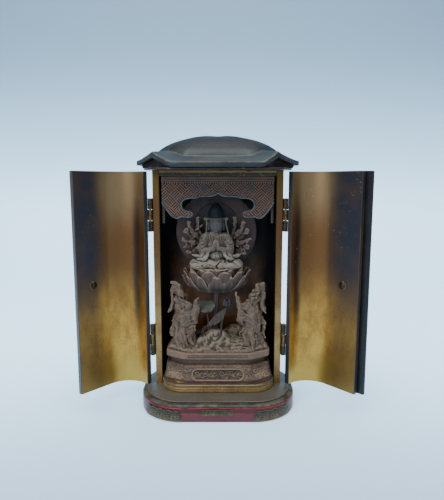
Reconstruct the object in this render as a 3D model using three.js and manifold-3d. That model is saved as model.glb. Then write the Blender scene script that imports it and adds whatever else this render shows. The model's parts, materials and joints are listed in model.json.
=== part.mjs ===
// A small household altar cabinet of lacquered wood. A rounded cabinet stands on a stepped plinth under a
// domed roof with peaked corners, and its two curved doors swing on knuckle hinges. Inside, a many-armed
// figure sits on a lotus that rises from a wave-carved stand, between two robed attendants.
// Millimetres and degrees. +X is right, +Y is the back, +Z is up, with the origin under the plinth's middle.
import * as THREE from "three";
import { mergeVertices } from "three/addons/utils/BufferGeometryUtils.js";
import Module from "manifold-3d";

const wasm = await Module();
wasm.setup();

// Cabinet body and doors, seen from above as one rounded rectangle that the doors complete.
const bodyHalfWidth = 43;
const bodyHalfDepth = 26;
const bodyCorner = 20;
const wallThickness = 4.5;
const doorThickness = 3.5;
const doorPlane = -3;
const doorOpenAngle = 132;
const cabinetHeight = 145.8;
const doorSideGap = 0.4;
const doorCentreGap = 0.4;
const doorBottomGap = 0.8;
const doorTopGap = 0.7;

// Plinth, step and dais.
const plinthMargin = 8.5;
const plinthBand = 9.5;
const plinthMoulding = 1.9;
const stepMargin = 5.3;
const stepHeight = 1.1;
const daisGap = 0.5;
const daisFront = 19;
const daisHeight = 5.6;
const daisCorner = 15;

// Roof.
const roofBoardMargin = 4.5;
const roofBoardThickness = 1.2;
const roofHalfWidth = 52.5;
const roofHalfDepth = 34;
const roofFrontStraight = 27.5;
const roofSideStraight = 5;
const rimThickness = 2.4;
const peakHeight = 6.6;
const creaseHeight = 7;
const creasePeak = 3.8;
const domeHeight = 13.6;

// Rail and carved canopy under the roof.
const railHeight = 3.8;
const railThickness = 2.6;
const canopyGap = 1.3;
const canopyHeight = 28;
const canopyThickness = 2.2;
const canopySetback = 0.6;
const canopySideDepth = 9;
const canopySideThickness = 1.8;
const canopySideDrop = 31;

// Hinges, studs and applied mounts.
const knuckleRadius = 1.6;
const pinRadius = 0.65;
const pinClearance = 0.1;
const hingeHeight = 22;
const knuckleGap = 0.3;
const upperHingeDrop = 18.1;
const lowerHingeRise = 20.4;
const leafThickness = 0.5;
const leafLength = 7;
const stripWidth = 8.8;
const stripThickness = 1.8;
const fitGap = 0.3;
const studRadius = 2.3;
const studRise = 71;
const studFromEdge = 12;
const mountThickness = 0.6;
const doorMountWidth = 15;
const endMountHeight = 24;
const middleMountHeight = 20;
const cornerMountSpan = 54;
const cornerMountHeight = 7.4;
const cornerMountRise = 0.8;
const centreMountWidth = 19;
const centreMountHeight = 3.9;
const centreMountRise = 4.8;

// Carved stand on the dais.
const standSideGap = 3.5;
const standFrontSetback = 2.5;
const standCornerWidth = 13;
const standCornerDepth = 8;
const footBoardThickness = 1.4;
const bandHeight = 11;
const bandFootFlare = 2;
const archHeight = 0.9;
const waistHeight = 3.6;
const waistInset = 2.3;
const topSlabThickness = 4.6;
const moundHeight = 13;

// Lotus, halo and seated figure. The figure's own forms are shares of its height.
const figureX = -1.2;
const seatY = 1;
const stemRadius = 2;
const stemLength = 26;
const stalkRadius = 0.55;
const lotusHalfWidth = 23;
const lotusHalfDepth = 18;
const lotusHeight = 16;
const figureHeight = 44.3;
const haloRadius = 28;
const haloThickness = 2;
const haloRise = 23.5;
const haloHollow = 0.6;
const haloHollowRadius = 14.3;
const haloTangHalfWidth = 6;
const leafRadius = 5.8;
const leafOffset = 7.3;
const leafForward = 1.5;
const leafRise = 27.5;
const foldedLeafLength = 18.5;
const foldedLeafForward = 6.5;
const foldedLeafRise = 22.3;
const budHeight = 7;
const budOffset = 7.2;
const budForward = 3;
const budRise = 28.6;

// Attendants, in shares of their height.
const attendantHeight = 45.5;
const attendantInset = 10;
const attendantForward = 5;

// Heights and places worked out from the sizes above.
const plinthTop = plinthBand + plinthMoulding;
const floorZ = plinthTop + stepHeight;
const shellTop = floorZ + cabinetHeight;
const roofZ = shellTop + roofBoardThickness;
const innerHalfWidth = bodyHalfWidth - wallThickness;
const innerBack = bodyHalfDepth - wallThickness;
const daisTop = floorZ + daisHeight;
const standHalfWidth = innerHalfWidth - standSideGap;
const standHalfDepth = daisFront - standFrontSetback;
const attendantX = standHalfWidth - attendantInset;
const footBoardTop = daisTop + footBoardThickness;
const bandTop = footBoardTop + bandHeight;
const waistTop = bandTop + waistHeight;
const slabTop = waistTop + topSlabThickness;
const lotusZ = slabTop + moundHeight + stemLength - 0.4;
const seatZ = lotusZ + lotusHeight;
const haloY = seatY + lotusHalfDepth * 0.6;
const hingeX = bodyHalfWidth + knuckleRadius + 0.05;
const hingeY = doorPlane - doorSideGap / 2;
const touchGap = 0.3;

const finishes = {
  blackLacquer: { color: 0x23262a, roughness: 0.42, metalness: 0.0 },
  redLacquer: { color: 0x5a2226, roughness: 0.4, metalness: 0.0 },
  agedGold: { color: 0x8a6a30, roughness: 0.5, metalness: 0.55 },
  darkBronze: { color: 0x3a3228, roughness: 0.5, metalness: 0.7 },
  carvedWood: { color: 0x5b4a40, roughness: 0.75, metalness: 0.0 },
  dustyWood: { color: 0x6a6156, roughness: 0.85, metalness: 0.0 },
  leafGreen: { color: 0x4c5450, roughness: 0.7, metalness: 0.0 },
};

const V = (x, y, z) => new THREE.Vector3(x, y, z);
const radians = THREE.MathUtils.degToRad;
const mix = THREE.MathUtils.lerp;

// A three.js geometry as a solid that can be joined and cut.
function solidOf(geometry) {
  const bare = new THREE.BufferGeometry();
  bare.setAttribute("position", geometry.getAttribute("position"));
  if (geometry.index) bare.setIndex(geometry.index);
  const merged = mergeVertices(bare, 1e-4);
  return new wasm.Manifold(
    new wasm.Mesh({
      numProp: 3,
      vertProperties: new Float32Array(merged.attributes.position.array),
      triVerts: new Uint32Array(merged.index.array),
    }),
  );
}

function geometryOf(solid) {
  const mesh = solid.getMesh();
  const geometry = new THREE.BufferGeometry();
  geometry.setAttribute("position", new THREE.BufferAttribute(mesh.vertProperties, 3));
  geometry.setIndex(new THREE.BufferAttribute(mesh.triVerts, 1));
  geometry.computeVertexNormals();
  return geometry;
}

const join = (solids) => solids.reduce((all, one) => all.add(one));

// A closed skin over rings of points. Each ring runs counter-clockwise seen from the end it leads to.
function skin(rings) {
  const count = rings[0].length;
  const positions = [];
  const triangles = [];
  const put = (p) => positions.push(p.x, p.y, p.z);
  const middle = (ring) => ring.reduce((sum, p) => sum.add(p), V(0, 0, 0)).divideScalar(count);
  rings.flat().forEach(put);
  put(middle(rings[0]));
  put(middle(rings.at(-1)));
  const firstMiddle = rings.length * count;
  const lastRing = firstMiddle - count;
  for (let i = 0; i < count; i++) {
    const j = (i + 1) % count;
    for (let start = 0; start < lastRing; start += count) {
      const next = start + count;
      triangles.push(start + i, start + j, next + j, start + i, next + j, next + i);
    }
    triangles.push(firstMiddle, j, i, firstMiddle + 1, lastRing + i, lastRing + j);
  }
  const geometry = new THREE.BufferGeometry();
  geometry.setAttribute("position", new THREE.Float32BufferAttribute(positions, 3));
  geometry.setIndex(triangles);
  return solidOf(geometry);
}

// A rounded rectangle seen from above, counter-clockwise.
function roundedPlan(halfWidth, halfDepth, corner) {
  const steps = 5;
  const r = Math.min(corner, halfWidth - 0.1, halfDepth - 0.1);
  const points = [];
  for (let quadrant = 0; quadrant < 4; quadrant++) {
    const cx = (quadrant % 3 === 0 ? 1 : -1) * (halfWidth - r);
    const cy = (quadrant < 2 ? 1 : -1) * (halfDepth - r);
    for (let k = 0; k <= steps; k++) {
      const angle = ((quadrant + k / steps) * Math.PI) / 2;
      points.push(new THREE.Vector2(cx + r * Math.cos(angle), cy + r * Math.sin(angle)));
    }
  }
  return points;
}

// A rectangle whose corners are cut by straight chamfers, counter-clockwise.
function chamferedPlan(halfWidth, halfDepth, cornerWidth, cornerDepth) {
  const x = halfWidth - cornerWidth;
  const y = halfDepth - cornerDepth;
  const middle = new THREE.Vector2(halfWidth - cornerWidth * 0.42, halfDepth - cornerDepth * 0.42);
  const quarter = [new THREE.Vector2(halfWidth, y), middle, new THREE.Vector2(x, halfDepth)];
  const turned = (p, sx, sy) => new THREE.Vector2(p.x * sx, p.y * sy);
  return [
    ...quarter,
    ...quarter.map((p) => turned(p, -1, 1)).reverse(),
    ...quarter.map((p) => turned(p, -1, -1)),
    ...quarter.map((p) => turned(p, 1, -1)).reverse(),
  ];
}

const lift = (plan, z, y = 0) => plan.map((p) => V(p.x, p.y + y, z));

// A rounded block whose edge follows a profile of [inset, height] pairs.
function mouldedBlock(halfWidth, halfDepth, corner, z, profile, y = 0) {
  return skin(
    profile.map(([inset, rise]) =>
      lift(roundedPlan(halfWidth - inset, halfDepth - inset, Math.max(corner - inset, 0.5)), z + rise, y),
    ),
  );
}

function extruded(points, height, z) {
  const shape = new THREE.Shape(points);
  const geometry = new THREE.ExtrudeGeometry(shape, { depth: height, bevelEnabled: false });
  return solidOf(geometry.translate(0, 0, z));
}

function box(x0, x1, y0, y1, z0, z1) {
  const geometry = new THREE.BoxGeometry(x1 - x0, y1 - y0, z1 - z0);
  return solidOf(geometry.translate((x0 + x1) / 2, (y0 + y1) / 2, (z0 + z1) / 2));
}

function ball(centre, rx, ry, rz, around = 6, down = 4) {
  const geometry = new THREE.SphereGeometry(1, around, down);
  geometry.rotateX(Math.PI / 2).scale(rx, ry, rz);
  return solidOf(geometry.translate(centre.x, centre.y, centre.z));
}

// A tapered limb of elliptical section along a path. Each size is [half width, half depth].
function limb(path, sizes, sides = 5) {
  const rings = path.map((point, i) => {
    const ahead = path[Math.min(i + 1, path.length - 1)].clone();
    const along = ahead.sub(path[Math.max(i - 1, 0)]).normalize();
    const reference = Math.abs(along.y) > 0.9 ? V(1, 0, 0) : V(0, 1, 0);
    const across = reference.clone().cross(along).normalize();
    const deep = along.clone().cross(across);
    const [a, b] = sizes[i];
    return Array.from({ length: sides }, (_, k) => {
      const angle = (2 * Math.PI * k) / sides;
      const out = across.clone().multiplyScalar(a * Math.cos(angle));
      return out.addScaledVector(deep, b * Math.sin(angle)).add(point);
    });
  });
  return skin(rings);
}

// A stack of level ellipses, each [half width, half depth, z, x, y].
function turnedBody(levels, sides = 12) {
  return skin(
    levels.map(([a, b, z, x = 0, y = 0]) =>
      Array.from({ length: sides }, (_, k) => {
        const angle = (2 * Math.PI * k) / sides;
        return V(x + a * Math.cos(angle), y + b * Math.sin(angle), z);
      }),
    ),
  );
}

const cabinet = new THREE.Group();

function place(name, solid, finish, group = cabinet) {
  const mesh = new THREE.Mesh(geometryOf(solid), new THREE.MeshStandardMaterial(finishes[finish]));
  mesh.name = name;
  group.add(mesh);
  return mesh;
}

// The plinth is a red band under a black half-round moulding, and a thin step lies on it.
function plinth() {
  return mouldedBlock(
    bodyHalfWidth + plinthMargin,
    bodyHalfDepth + plinthMargin,
    bodyCorner + plinthMargin,
    0,
    [
      [0, 0],
      [0, plinthBand],
      [0.5, plinthBand + plinthMoulding * 0.1],
      [0.3, plinthBand + plinthMoulding * 0.6],
      [1.9, plinthTop],
    ],
  );
}

function baseStep() {
  return mouldedBlock(
    bodyHalfWidth + stepMargin,
    bodyHalfDepth + stepMargin,
    bodyCorner + stepMargin,
    plinthTop,
    [
      [0.5, 0],
      [0, stepHeight * 0.4],
      [0.3, stepHeight * 0.8],
      [1.1, stepHeight],
    ],
  );
}

// The gilded dais fits between the side walls and stands forward of them.
function dais() {
  const halfDepth = (daisFront + innerBack - daisGap) / 2;
  return mouldedBlock(
    innerHalfWidth - daisGap,
    halfDepth,
    daisCorner,
    floorZ,
    [
      [0.2, 0],
      [0.2, daisHeight * 0.75],
      [0, daisHeight * 0.85],
      [1.2, daisHeight],
    ],
    halfDepth - daisFront,
  );
}

// Back and side walls bent as one shell, open at the front.
function cabinetShell() {
  const steps = 6;
  const arc = (radius, from, to) =>
    Array.from({ length: steps + 1 }, (_, k) => {
      const angle = radians(mix(from, to, k / steps));
      return [radius * Math.cos(angle), radius * Math.sin(angle)];
    });
  const cx = bodyHalfWidth - bodyCorner;
  const cy = bodyHalfDepth - bodyCorner;
  const innerRadius = bodyCorner - wallThickness;
  const points = [
    [bodyHalfWidth, doorPlane],
    ...arc(bodyCorner, 0, 90).map(([x, y]) => [cx + x, cy + y]),
    ...arc(bodyCorner, 90, 180).map(([x, y]) => [x - cx, cy + y]),
    [-bodyHalfWidth, doorPlane],
    [-innerHalfWidth, doorPlane],
    ...arc(innerRadius, 180, 90).map(([x, y]) => [x - cx, cy + y]),
    ...arc(innerRadius, 90, 0).map(([x, y]) => [cx + x, cy + y]),
    [innerHalfWidth, doorPlane],
  ];
  return extruded(points.map(([x, y]) => new THREE.Vector2(x, y)), cabinetHeight, floorZ);
}

function topRail() {
  const x = innerHalfWidth - 0.1;
  return box(-x, x, doorPlane, doorPlane + railThickness, shellTop - railHeight, shellTop);
}

function roofBoard() {
  return mouldedBlock(
    bodyHalfWidth + roofBoardMargin,
    bodyHalfDepth + roofBoardMargin,
    bodyCorner + roofBoardMargin,
    shellTop,
    [
      [0, 0],
      [0, roofBoardThickness],
    ],
  );
}

// The roof's rim runs level along each side and rises to a peak in the middle of each cut corner.
function roofRim() {
  const chamferSteps = 6;
  const samples = [];
  const corner = (sx, sy, forwards) => {
    for (let k = 0; k <= chamferSteps; k++) {
      const t = forwards ? k / chamferSteps : 1 - k / chamferSteps;
      samples.push({
        x: sx * mix(roofFrontStraight, roofHalfWidth, t),
        y: sy * mix(roofHalfDepth, roofSideStraight, t),
        peak: (1 - Math.abs(2 * t - 1)) ** 1.25,
      });
    }
  };
  const straight = (sy, direction) =>
    [-0.5, 0, 0.5].forEach((share) =>
      samples.push({ x: direction * share * roofFrontStraight, y: sy * roofHalfDepth, peak: 0 }),
    );
  corner(1, 1, false);
  straight(1, -1);
  corner(-1, 1, true);
  corner(-1, -1, false);
  straight(-1, 1);
  corner(1, -1, true);
  return samples;
}

function roof() {
  const rim = roofRim();
  const creaseX = (bodyHalfWidth - 5.5) / roofHalfWidth;
  const creaseY = (bodyHalfDepth - 3) / roofHalfDepth;
  const domeX = roofHalfWidth * creaseX;
  const domeY = roofHalfDepth * creaseY;
  const ring = (share, height, peakShare) =>
    rim.map((s) => V(s.x * share, s.y * share, roofZ + height + peakShare * s.peak));
  const rings = [
    ring(0.93, 0, 0),
    ring(0.94, 0.1, peakHeight * 0.86),
    ring(0.995, 0.1, peakHeight * 0.9),
    ring(1, rimThickness * 0.8, peakHeight),
    ring(0.985, rimThickness, peakHeight),
  ];
  for (const t of [0.35, 0.7, 1]) {
    rings.push(
      rim.map((s) =>
        V(
          s.x * mix(0.985, creaseX, t),
          s.y * mix(0.985, creaseY, t),
          roofZ + mix(rimThickness + peakHeight * s.peak, creaseHeight + creasePeak * s.peak, t ** 1.5),
        ),
      ),
    );
  }
  const startAngle = 22;
  for (const angle of [31, 44, 57, 70, 83]) {
    const share = Math.cos(radians(angle)) / Math.cos(radians(startAngle));
    const height =
      (Math.sin(radians(angle)) - Math.sin(radians(startAngle))) / (1 - Math.sin(radians(startAngle)));
    const round = (1 - share) ** 0.6;
    rings.push(
      rim.map((s) => {
        const turn = Math.atan2((s.y * creaseY) / domeY, (s.x * creaseX) / domeX);
        const x = mix(s.x * creaseX, domeX * Math.cos(turn), round);
        const y = mix(s.y * creaseY, domeY * Math.sin(turn), round);
        const foot = creaseHeight + creasePeak * s.peak * (1 - round);
        return V(x * share, y * share, roofZ + foot + domeHeight * height);
      }),
    );
  }
  return skin(rings);
}

// The canopy's cusped lower edge, from the outer side to the middle: shares of half width and height.
const cuspedEdge = [
  [1, 0.31],
  [0.82, 0.04],
  [0.74, 0],
  [0.66, 0.036],
  [0.5, 0.036],
  [0.443, 0.11],
  [0.486, 0.18],
  [0.57, 0.205],
  [0.635, 0.31],
  [0.565, 0.445],
  [0.46, 0.45],
  [0.357, 0.496],
  [0.14, 0.536],
  [0, 0.596],
];

const canopyY = doorPlane + canopySetback + railThickness;
const canopyTop = shellTop - railHeight - touchGap;
const canopyHalfWidth = innerHalfWidth - canopyGap;

function canopyFront() {
  const bottom = canopyTop - canopyHeight;
  const edge = cuspedEdge.map(([across, up]) => [across * canopyHalfWidth, bottom + up * canopyHeight]);
  const mirrored = edge.slice(0, -1).map(([x, z]) => [-x, z]);
  const corners = [-1, 1].map((sign) => [sign * canopyHalfWidth, canopyTop]);
  const outline = [corners[1], ...edge, ...mirrored.reverse(), corners[0]];
  const shape = new THREE.Shape(outline.map(([x, z]) => new THREE.Vector2(x, z)));
  const geometry = new THREE.ExtrudeGeometry(shape, { depth: canopyThickness, bevelEnabled: false });
  geometry.rotateX(Math.PI / 2).translate(0, canopyY, 0);
  return solidOf(geometry);
}

// A side cheek of the canopy runs back along the wall, with a scooped lower edge and a hanging tail.
function canopySide(sign) {
  const at = (back, up) => [back * canopySideDepth, canopyTop - canopySideDrop * (1 - up)];
  const outline = [at(0, 1), at(0, 0.03), at(0.17, 0), at(0.39, 0.08), at(0.61, 0.23), at(1, 0.39), at(1, 1)];
  const shape = new THREE.Shape(outline.map(([y, z]) => new THREE.Vector2(y, z)));
  const geometry = new THREE.ExtrudeGeometry(shape, { depth: canopySideThickness, bevelEnabled: false });
  geometry.rotateX(Math.PI / 2).rotateZ(Math.PI / 2);
  const x = sign > 0 ? canopyHalfWidth - canopySideThickness : -canopyHalfWidth;
  return solidOf(geometry.translate(x, canopyY + touchGap, 0));
}

// One door as it stands closed, right of the middle for a sign of 1.
function doorPlan(sign) {
  const steps = 8;
  const cx = bodyHalfWidth - bodyCorner;
  const cy = bodyCorner - bodyHalfDepth;
  const arc = (radius, from, to) =>
    Array.from({ length: steps + 1 }, (_, k) => {
      const angle = radians(mix(from, to, k / steps));
      return [cx + radius * Math.cos(angle), cy + radius * Math.sin(angle)];
    });
  const back = doorPlane - doorSideGap;
  const points = [
    [bodyHalfWidth, back],
    ...arc(bodyCorner, 0, -90),
    [doorCentreGap / 2, -bodyHalfDepth],
    [doorCentreGap / 2, doorThickness - bodyHalfDepth],
    ...arc(bodyCorner - doorThickness, -90, 0),
    [bodyHalfWidth - doorThickness, back],
  ];
  return points.map(([x, y]) => new THREE.Vector2(sign * x, y));
}

const doorBottom = floorZ + doorBottomGap;
const doorHeight = cabinetHeight - doorBottomGap - doorTopGap;

function door(sign) {
  return extruded(doorPlan(sign), doorHeight, doorBottom);
}

// The strip on the right door covers the joint between the doors.
function meetingStrip() {
  const y = -bodyHalfDepth - fitGap;
  return box(-stripWidth / 2, stripWidth / 2, y - stripThickness, y, doorBottom, doorBottom + doorHeight);
}

function stud(sign) {
  const profile = [
    [0, 0],
    [studRadius, 0],
    [studRadius * 0.9, 0.6],
    [studRadius * 0.6, 1.1],
    [0, 1.3],
  ];
  const geometry = new THREE.LatheGeometry(profile.map(([r, h]) => new THREE.Vector2(r, h)), 8);
  const y = doorThickness - bodyHalfDepth + 0.1;
  return solidOf(geometry.translate(sign * studFromEdge, y, doorBottom + studRise));
}

// A flat metal mount near a door's meeting edge, with one end drawn to a cusp.
function doorMount(sign, z, height, taperUp, taperDown) {
  const inner = sign > 0 ? stripWidth / 2 + 0.4 : stripWidth / 2 + 0.8;
  const outer = inner + doorMountWidth;
  const y = -bodyHalfDepth - 0.1;
  const low = z + (taperDown ? height * 0.3 : 0);
  const high = z + height - (taperUp ? height * 0.3 : 0);
  const points = [
    [inner, z],
    [mix(inner, outer, 0.3), taperDown ? z : low],
    [mix(inner, outer, 0.6), low],
    [outer, low],
    [outer, high],
    [mix(inner, outer, 0.6), high],
    [mix(inner, outer, 0.3), taperUp ? z + height : high],
    [inner, z + height],
  ];
  const shape = new THREE.Shape(points.map(([x, h]) => new THREE.Vector2(sign * x, h)));
  const geometry = new THREE.ExtrudeGeometry(shape, { depth: mountThickness, bevelEnabled: false });
  return solidOf(geometry.rotateX(Math.PI / 2).translate(0, y, 0));
}

// A knuckle is a short tube round the hinge line, bored for the pin.
function knuckle(sign, z0, z1) {
  const shape = new THREE.Shape().absarc(0, 0, knuckleRadius, 0, 2 * Math.PI);
  shape.holes.push(new THREE.Path().absarc(0, 0, pinRadius + pinClearance, 0, 2 * Math.PI));
  const options = { depth: z1 - z0, bevelEnabled: false, curveSegments: 4 };
  return solidOf(new THREE.ExtrudeGeometry(shape, options).translate(sign * hingeX, hingeY, z0));
}

// The cabinet's leaf carries the outer two knuckles, and the door's leaf the middle one.
function hingeLeaf(sign, z, onDoor) {
  const third = hingeHeight / 3;
  const spans = onDoor
    ? [[third + knuckleGap / 2, 2 * third - knuckleGap / 2]]
    : [
        [0, third - knuckleGap / 2],
        [2 * third + knuckleGap / 2, hingeHeight],
      ];
  const inner = bodyHalfWidth + 0.1;
  const outer = inner + leafThickness;
  const back = hingeY + knuckleRadius + 0.2;
  const front = hingeY - knuckleRadius - 0.2;
  const [y0, y1] = onDoor ? [hingeY - leafLength * 0.55, front] : [back, hingeY + leafLength];
  const plateX = sign > 0 ? [inner, outer] : [-outer, -inner];
  const plate = box(...plateX, y0, y1, z + (onDoor ? 0.4 : 0), z + hingeHeight - (onDoor ? 0.4 : 0));
  const tabs = spans.map(([low, high]) => {
    const clear = pinRadius + 0.25;
    const [near, far] = onDoor ? [y1 - 0.1, hingeY - clear] : [hingeY + clear, y0 + 0.1];
    return box(...plateX, near, far, z + low, z + high);
  });
  const tubes = spans.map(([low, high]) => knuckle(sign, z + low, z + high));
  return join([plate, ...tabs, ...tubes]);
}

function hingePin(sign, z) {
  const geometry = new THREE.CylinderGeometry(pinRadius, pinRadius, hingeHeight - 0.2, 10);
  geometry.rotateX(Math.PI / 2).translate(sign * hingeX, hingeY, z + hingeHeight / 2);
  return solidOf(geometry);
}

// A metal corner mount wraps one rounded corner of the plinth's red band.
function cornerMount(sx, sy) {
  const cx = bodyHalfWidth - bodyCorner;
  const cy = bodyHalfDepth - bodyCorner;
  const radius = bodyCorner + plinthMargin + 0.1;
  const steps = 8;
  const arc = (r, backwards) =>
    Array.from({ length: steps + 1 }, (_, k) => {
      const t = backwards ? 1 - k / steps : k / steps;
      const angle = radians(90 - cornerMountSpan * t);
      return new THREE.Vector2(sx * (cx + r * Math.cos(angle)), sy * (cy + r * Math.sin(angle)));
    });
  const points = [...arc(radius + mountThickness, false), ...arc(radius, true)];
  return extruded(points, cornerMountHeight, cornerMountRise);
}

function centreMount() {
  const y = -bodyHalfDepth - plinthMargin - 0.1;
  const half = centreMountWidth / 2;
  const top = centreMountRise + centreMountHeight;
  return box(-half, half, y - mountThickness, y, centreMountRise, top);
}

const standPlan = (inset) =>
  chamferedPlan(standHalfWidth - inset, standHalfDepth - inset, standCornerWidth, standCornerDepth);

function standFootBoard() {
  return skin([lift(standPlan(-1.4), daisTop), lift(standPlan(-1.4), footBoardTop)]);
}

// The carved band flares to feet at its cut corners, with two shallow arches under its front and back.
function standCarvedBand() {
  const inset = (share) => standPlan(-bandFootFlare * share);
  const block = skin([
    lift(inset(0.9), footBoardTop),
    lift(inset(1), footBoardTop + bandHeight * 0.15),
    lift(inset(0.35), footBoardTop + bandHeight * 0.45),
    lift(inset(0.2), footBoardTop + bandHeight * 0.8),
    lift(inset(-0.4), bandTop),
  ]);
  const depth = 2 * (standHalfDepth + bandFootFlare + 2);
  const arch = (x) => {
    const geometry = new THREE.CylinderGeometry(1, 1, depth, 12);
    geometry.scale(5.2, 1, archHeight);
    return solidOf(geometry.translate(x, 0, footBoardTop));
  };
  return block.subtract(arch(-14)).subtract(arch(14));
}

function standWaist() {
  return skin([lift(standPlan(waistInset), bandTop), lift(standPlan(waistInset), waistTop)]);
}

function standTopSlab() {
  return skin([
    lift(standPlan(0.6), waistTop),
    lift(standPlan(0), waistTop + topSlabThickness * 0.2),
    lift(standPlan(0), waistTop + topSlabThickness * 0.85),
    lift(standPlan(0.6), slabTop),
  ]);
}

// Height of the wave-carved ground above the slab: rolling crests that rise to the middle.
function moundRise(x, y) {
  const [u, v] = [x / standHalfWidth, y / standHalfDepth];
  const hump = (cu, cv, wide, deep) => Math.exp(-(((u - cu) / wide) ** 2) - ((v - cv) / deep) ** 2);
  const behind = 0.95 * hump(-0.2, 0.55, 0.23, 0.36) + hump(0.34, 0.48, 0.29, 0.42);
  const crest = hump(-0.03, -0.18, 0.26, 0.3) + behind;
  const ripple = 0.07 * Math.cos(19 * u + 5 * v) * Math.cos(8 * v);
  return moundHeight * Math.min(0.1 + 0.85 * crest + ripple, 1);
}

function waveMound() {
  const plan = chamferedPlan(standHalfWidth - 1, standHalfDepth - 1, standCornerWidth, standCornerDepth);
  const fine = plan.flatMap((p, i) => {
    const next = plan[(i + 1) % plan.length];
    const steps = Math.max(1, Math.round(p.distanceTo(next) / 7));
    return Array.from({ length: steps }, (_, k) => p.clone().lerp(next, k / steps));
  });
  const shares = [1, 0.97, 0.82, 0.64, 0.46, 0.28, 0.1];
  const edge = fine.map((p) => V(p.x, p.y, slabTop));
  const rings = shares.map((share, i) =>
    fine.map((p) => {
      const [x, y] = [p.x * share, p.y * share];
      return V(x, y, slabTop + (i === 0 ? 0.5 : Math.max(0.6, moundRise(x, y))));
    }),
  );
  return skin([edge, ...rings]);
}

// Petals in two tiers swell the bowl of the lotus, and their tips stand above the seat.
function lotusSeat() {
  const sides = 32;
  const petals = 12;
  const petal = (angle, shift) => Math.abs(Math.cos(((angle + shift) * petals) / 2)) ** 0.6;
  const half = Math.PI / petals;
  const levels = [
    [0.2, 0, 0, 0],
    [0.5, 0.03, 0.06, half],
    [0.84, 0.2, 0.1, half],
    [0.93, 0.42, 0.07, half],
    [0.88, 0.5, 0.05, 0],
    [0.95, 0.72, 0.07, 0],
    [0.93, 0.98, 0.06, 0],
    [0.84, 1.02, 0.03, 0],
    [0.82, 0.9, 0, 0],
    [0.8, 1, 0, 0],
  ];
  const rings = levels.map(([share, rise, swell, shift], i) =>
    Array.from({ length: sides }, (_, k) => {
      const angle = (2 * Math.PI * k) / sides;
      const bulge = share * (1 + swell * (petal(angle, shift) - 0.5));
      const tip = i === 6 || i === 7 ? 0.09 * petal(angle, 0) : 0;
      return V(
        figureX + lotusHalfWidth * bulge * Math.cos(angle),
        seatY + lotusHalfDepth * bulge * Math.sin(angle),
        lotusZ + lotusHeight * Math.min(rise + tip, 1.08),
      );
    }),
  );
  return skin(rings);
}

function lotusStem() {
  const r = stemRadius;
  const foot = V(figureX, seatY + 1.5 * r, slabTop + r);
  const top = V(figureX, seatY, lotusZ - touchGap);
  const bend = V(figureX - 0.25 * r, seatY + 1.25 * r, mix(foot.z, top.z, 0.5));
  return limb([foot, bend, top], [[r * 1.15, r * 1.15], [r, r], [r, r]], 8);
}

const stalkSizes = [1.25, 1.1, 1].map((share) => [share * stalkRadius, share * stalkRadius]);

// A round lotus leaf, dished towards the viewer, on its own stalk.
function lotusLeaf(ground) {
  const centre = V(figureX - leafOffset, -leafForward, slabTop + leafRise);
  const dish = new THREE.LatheGeometry(
    [
      [0, -0.7],
      [0.55, -0.45],
      [1, 0.35],
      [0.97, 0.5],
      [0.5, -0.2],
      [0, -0.4],
    ].map(([r, h]) => new THREE.Vector2(r * leafRadius, h * 2)),
    10,
  );
  dish.rotateX(radians(50)).rotateY(radians(-14)).translate(centre.x, centre.y, centre.z);
  const foot = V(figureX - 0.7 * leafOffset, -0.3 * leafForward, slabTop + 0.1 * leafRise);
  const bend = V(figureX - 0.77 * leafOffset, -0.5 * leafForward, slabTop + 0.6 * leafRise);
  const stalk = limb([foot, bend, V(centre.x, centre.y + stalkRadius, centre.z)], stalkSizes);
  return solidOf(dish).add(stalk).subtract(ground);
}

// A leaf seen from its edge, half folded, leaning across the stem.
function foldedLeaf(ground) {
  const half = foldedLeafLength / 2;
  const centre = V(figureX + 0.03 * foldedLeafLength, -foldedLeafForward, slabTop + foldedLeafRise);
  const sheet = new THREE.SphereGeometry(1, 9, 6);
  sheet.scale(half, 0.54 * half, 0.18 * half).rotateX(radians(-24)).rotateY(radians(-40));
  sheet.translate(centre.x, centre.y, centre.z);
  const foot = V(figureX + 0.27 * half, -0.7 * foldedLeafForward, slabTop + 0.27 * foldedLeafRise);
  const top = V(centre.x + 0.1 * half, centre.y + stalkRadius, centre.z - 0.1 * half);
  const stalk = limb([foot, top], stalkSizes);
  return solidOf(sheet).add(stalk).subtract(ground);
}

function lotusBud(ground) {
  const x = figureX + budOffset;
  const y = -budForward;
  const z = slabTop + budRise;
  const h = budHeight;
  const bulb = turnedBody(
    [
      [0.1 * h, 0.1 * h, z, x, y],
      [0.4 * h, 0.38 * h, z + 0.25 * h, x, y],
      [0.38 * h, 0.36 * h, z + 0.55 * h, x, y],
      [0.05 * h, 0.05 * h, z + h, x - 0.04 * h, y],
    ],
    10,
  );
  const foot = V(figureX + 0.7 * budOffset, 0.5 * y, slabTop + 0.28 * budRise);
  const bend = V(x - 0.22 * budOffset, 0.8 * y, mix(slabTop, z, 0.65));
  const stalk = limb([foot, bend, V(x, y, z + 0.11 * h)], stalkSizes);
  const petal = ball(V(x + 0.42 * h, y, z + 0.52 * h), 0.13 * h, 0.25 * h, 0.36 * h);
  return join([bulb, stalk, petal]).subtract(ground);
}

// The halo is a round board with a shallow round hollow behind the head, standing on the seat.
function halo() {
  const h = figureHeight;
  const disc = (radius, thickness, y, z, sides) => {
    const geometry = new THREE.CylinderGeometry(radius, radius, thickness, sides);
    return solidOf(geometry.translate(figureX, y + thickness / 2, z));
  };
  const y = haloY;
  const board = disc(haloRadius, haloThickness, y, seatZ + haloRise, 32);
  const hollow = disc(haloHollowRadius, haloHollow + 1, y - 1, seatZ + 0.66 * h, 16);
  const half = haloTangHalfWidth;
  const cutZ = seatZ + 0.07 * h;
  const below = box(figureX - h, figureX + h, y - 1, y + haloThickness + 1, seatZ - h, cutZ);
  const tang = box(figureX - half, figureX + half, y, y + haloThickness, seatZ, cutZ + haloThickness);
  return board.subtract(below).add(tang).subtract(hollow);
}

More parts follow.
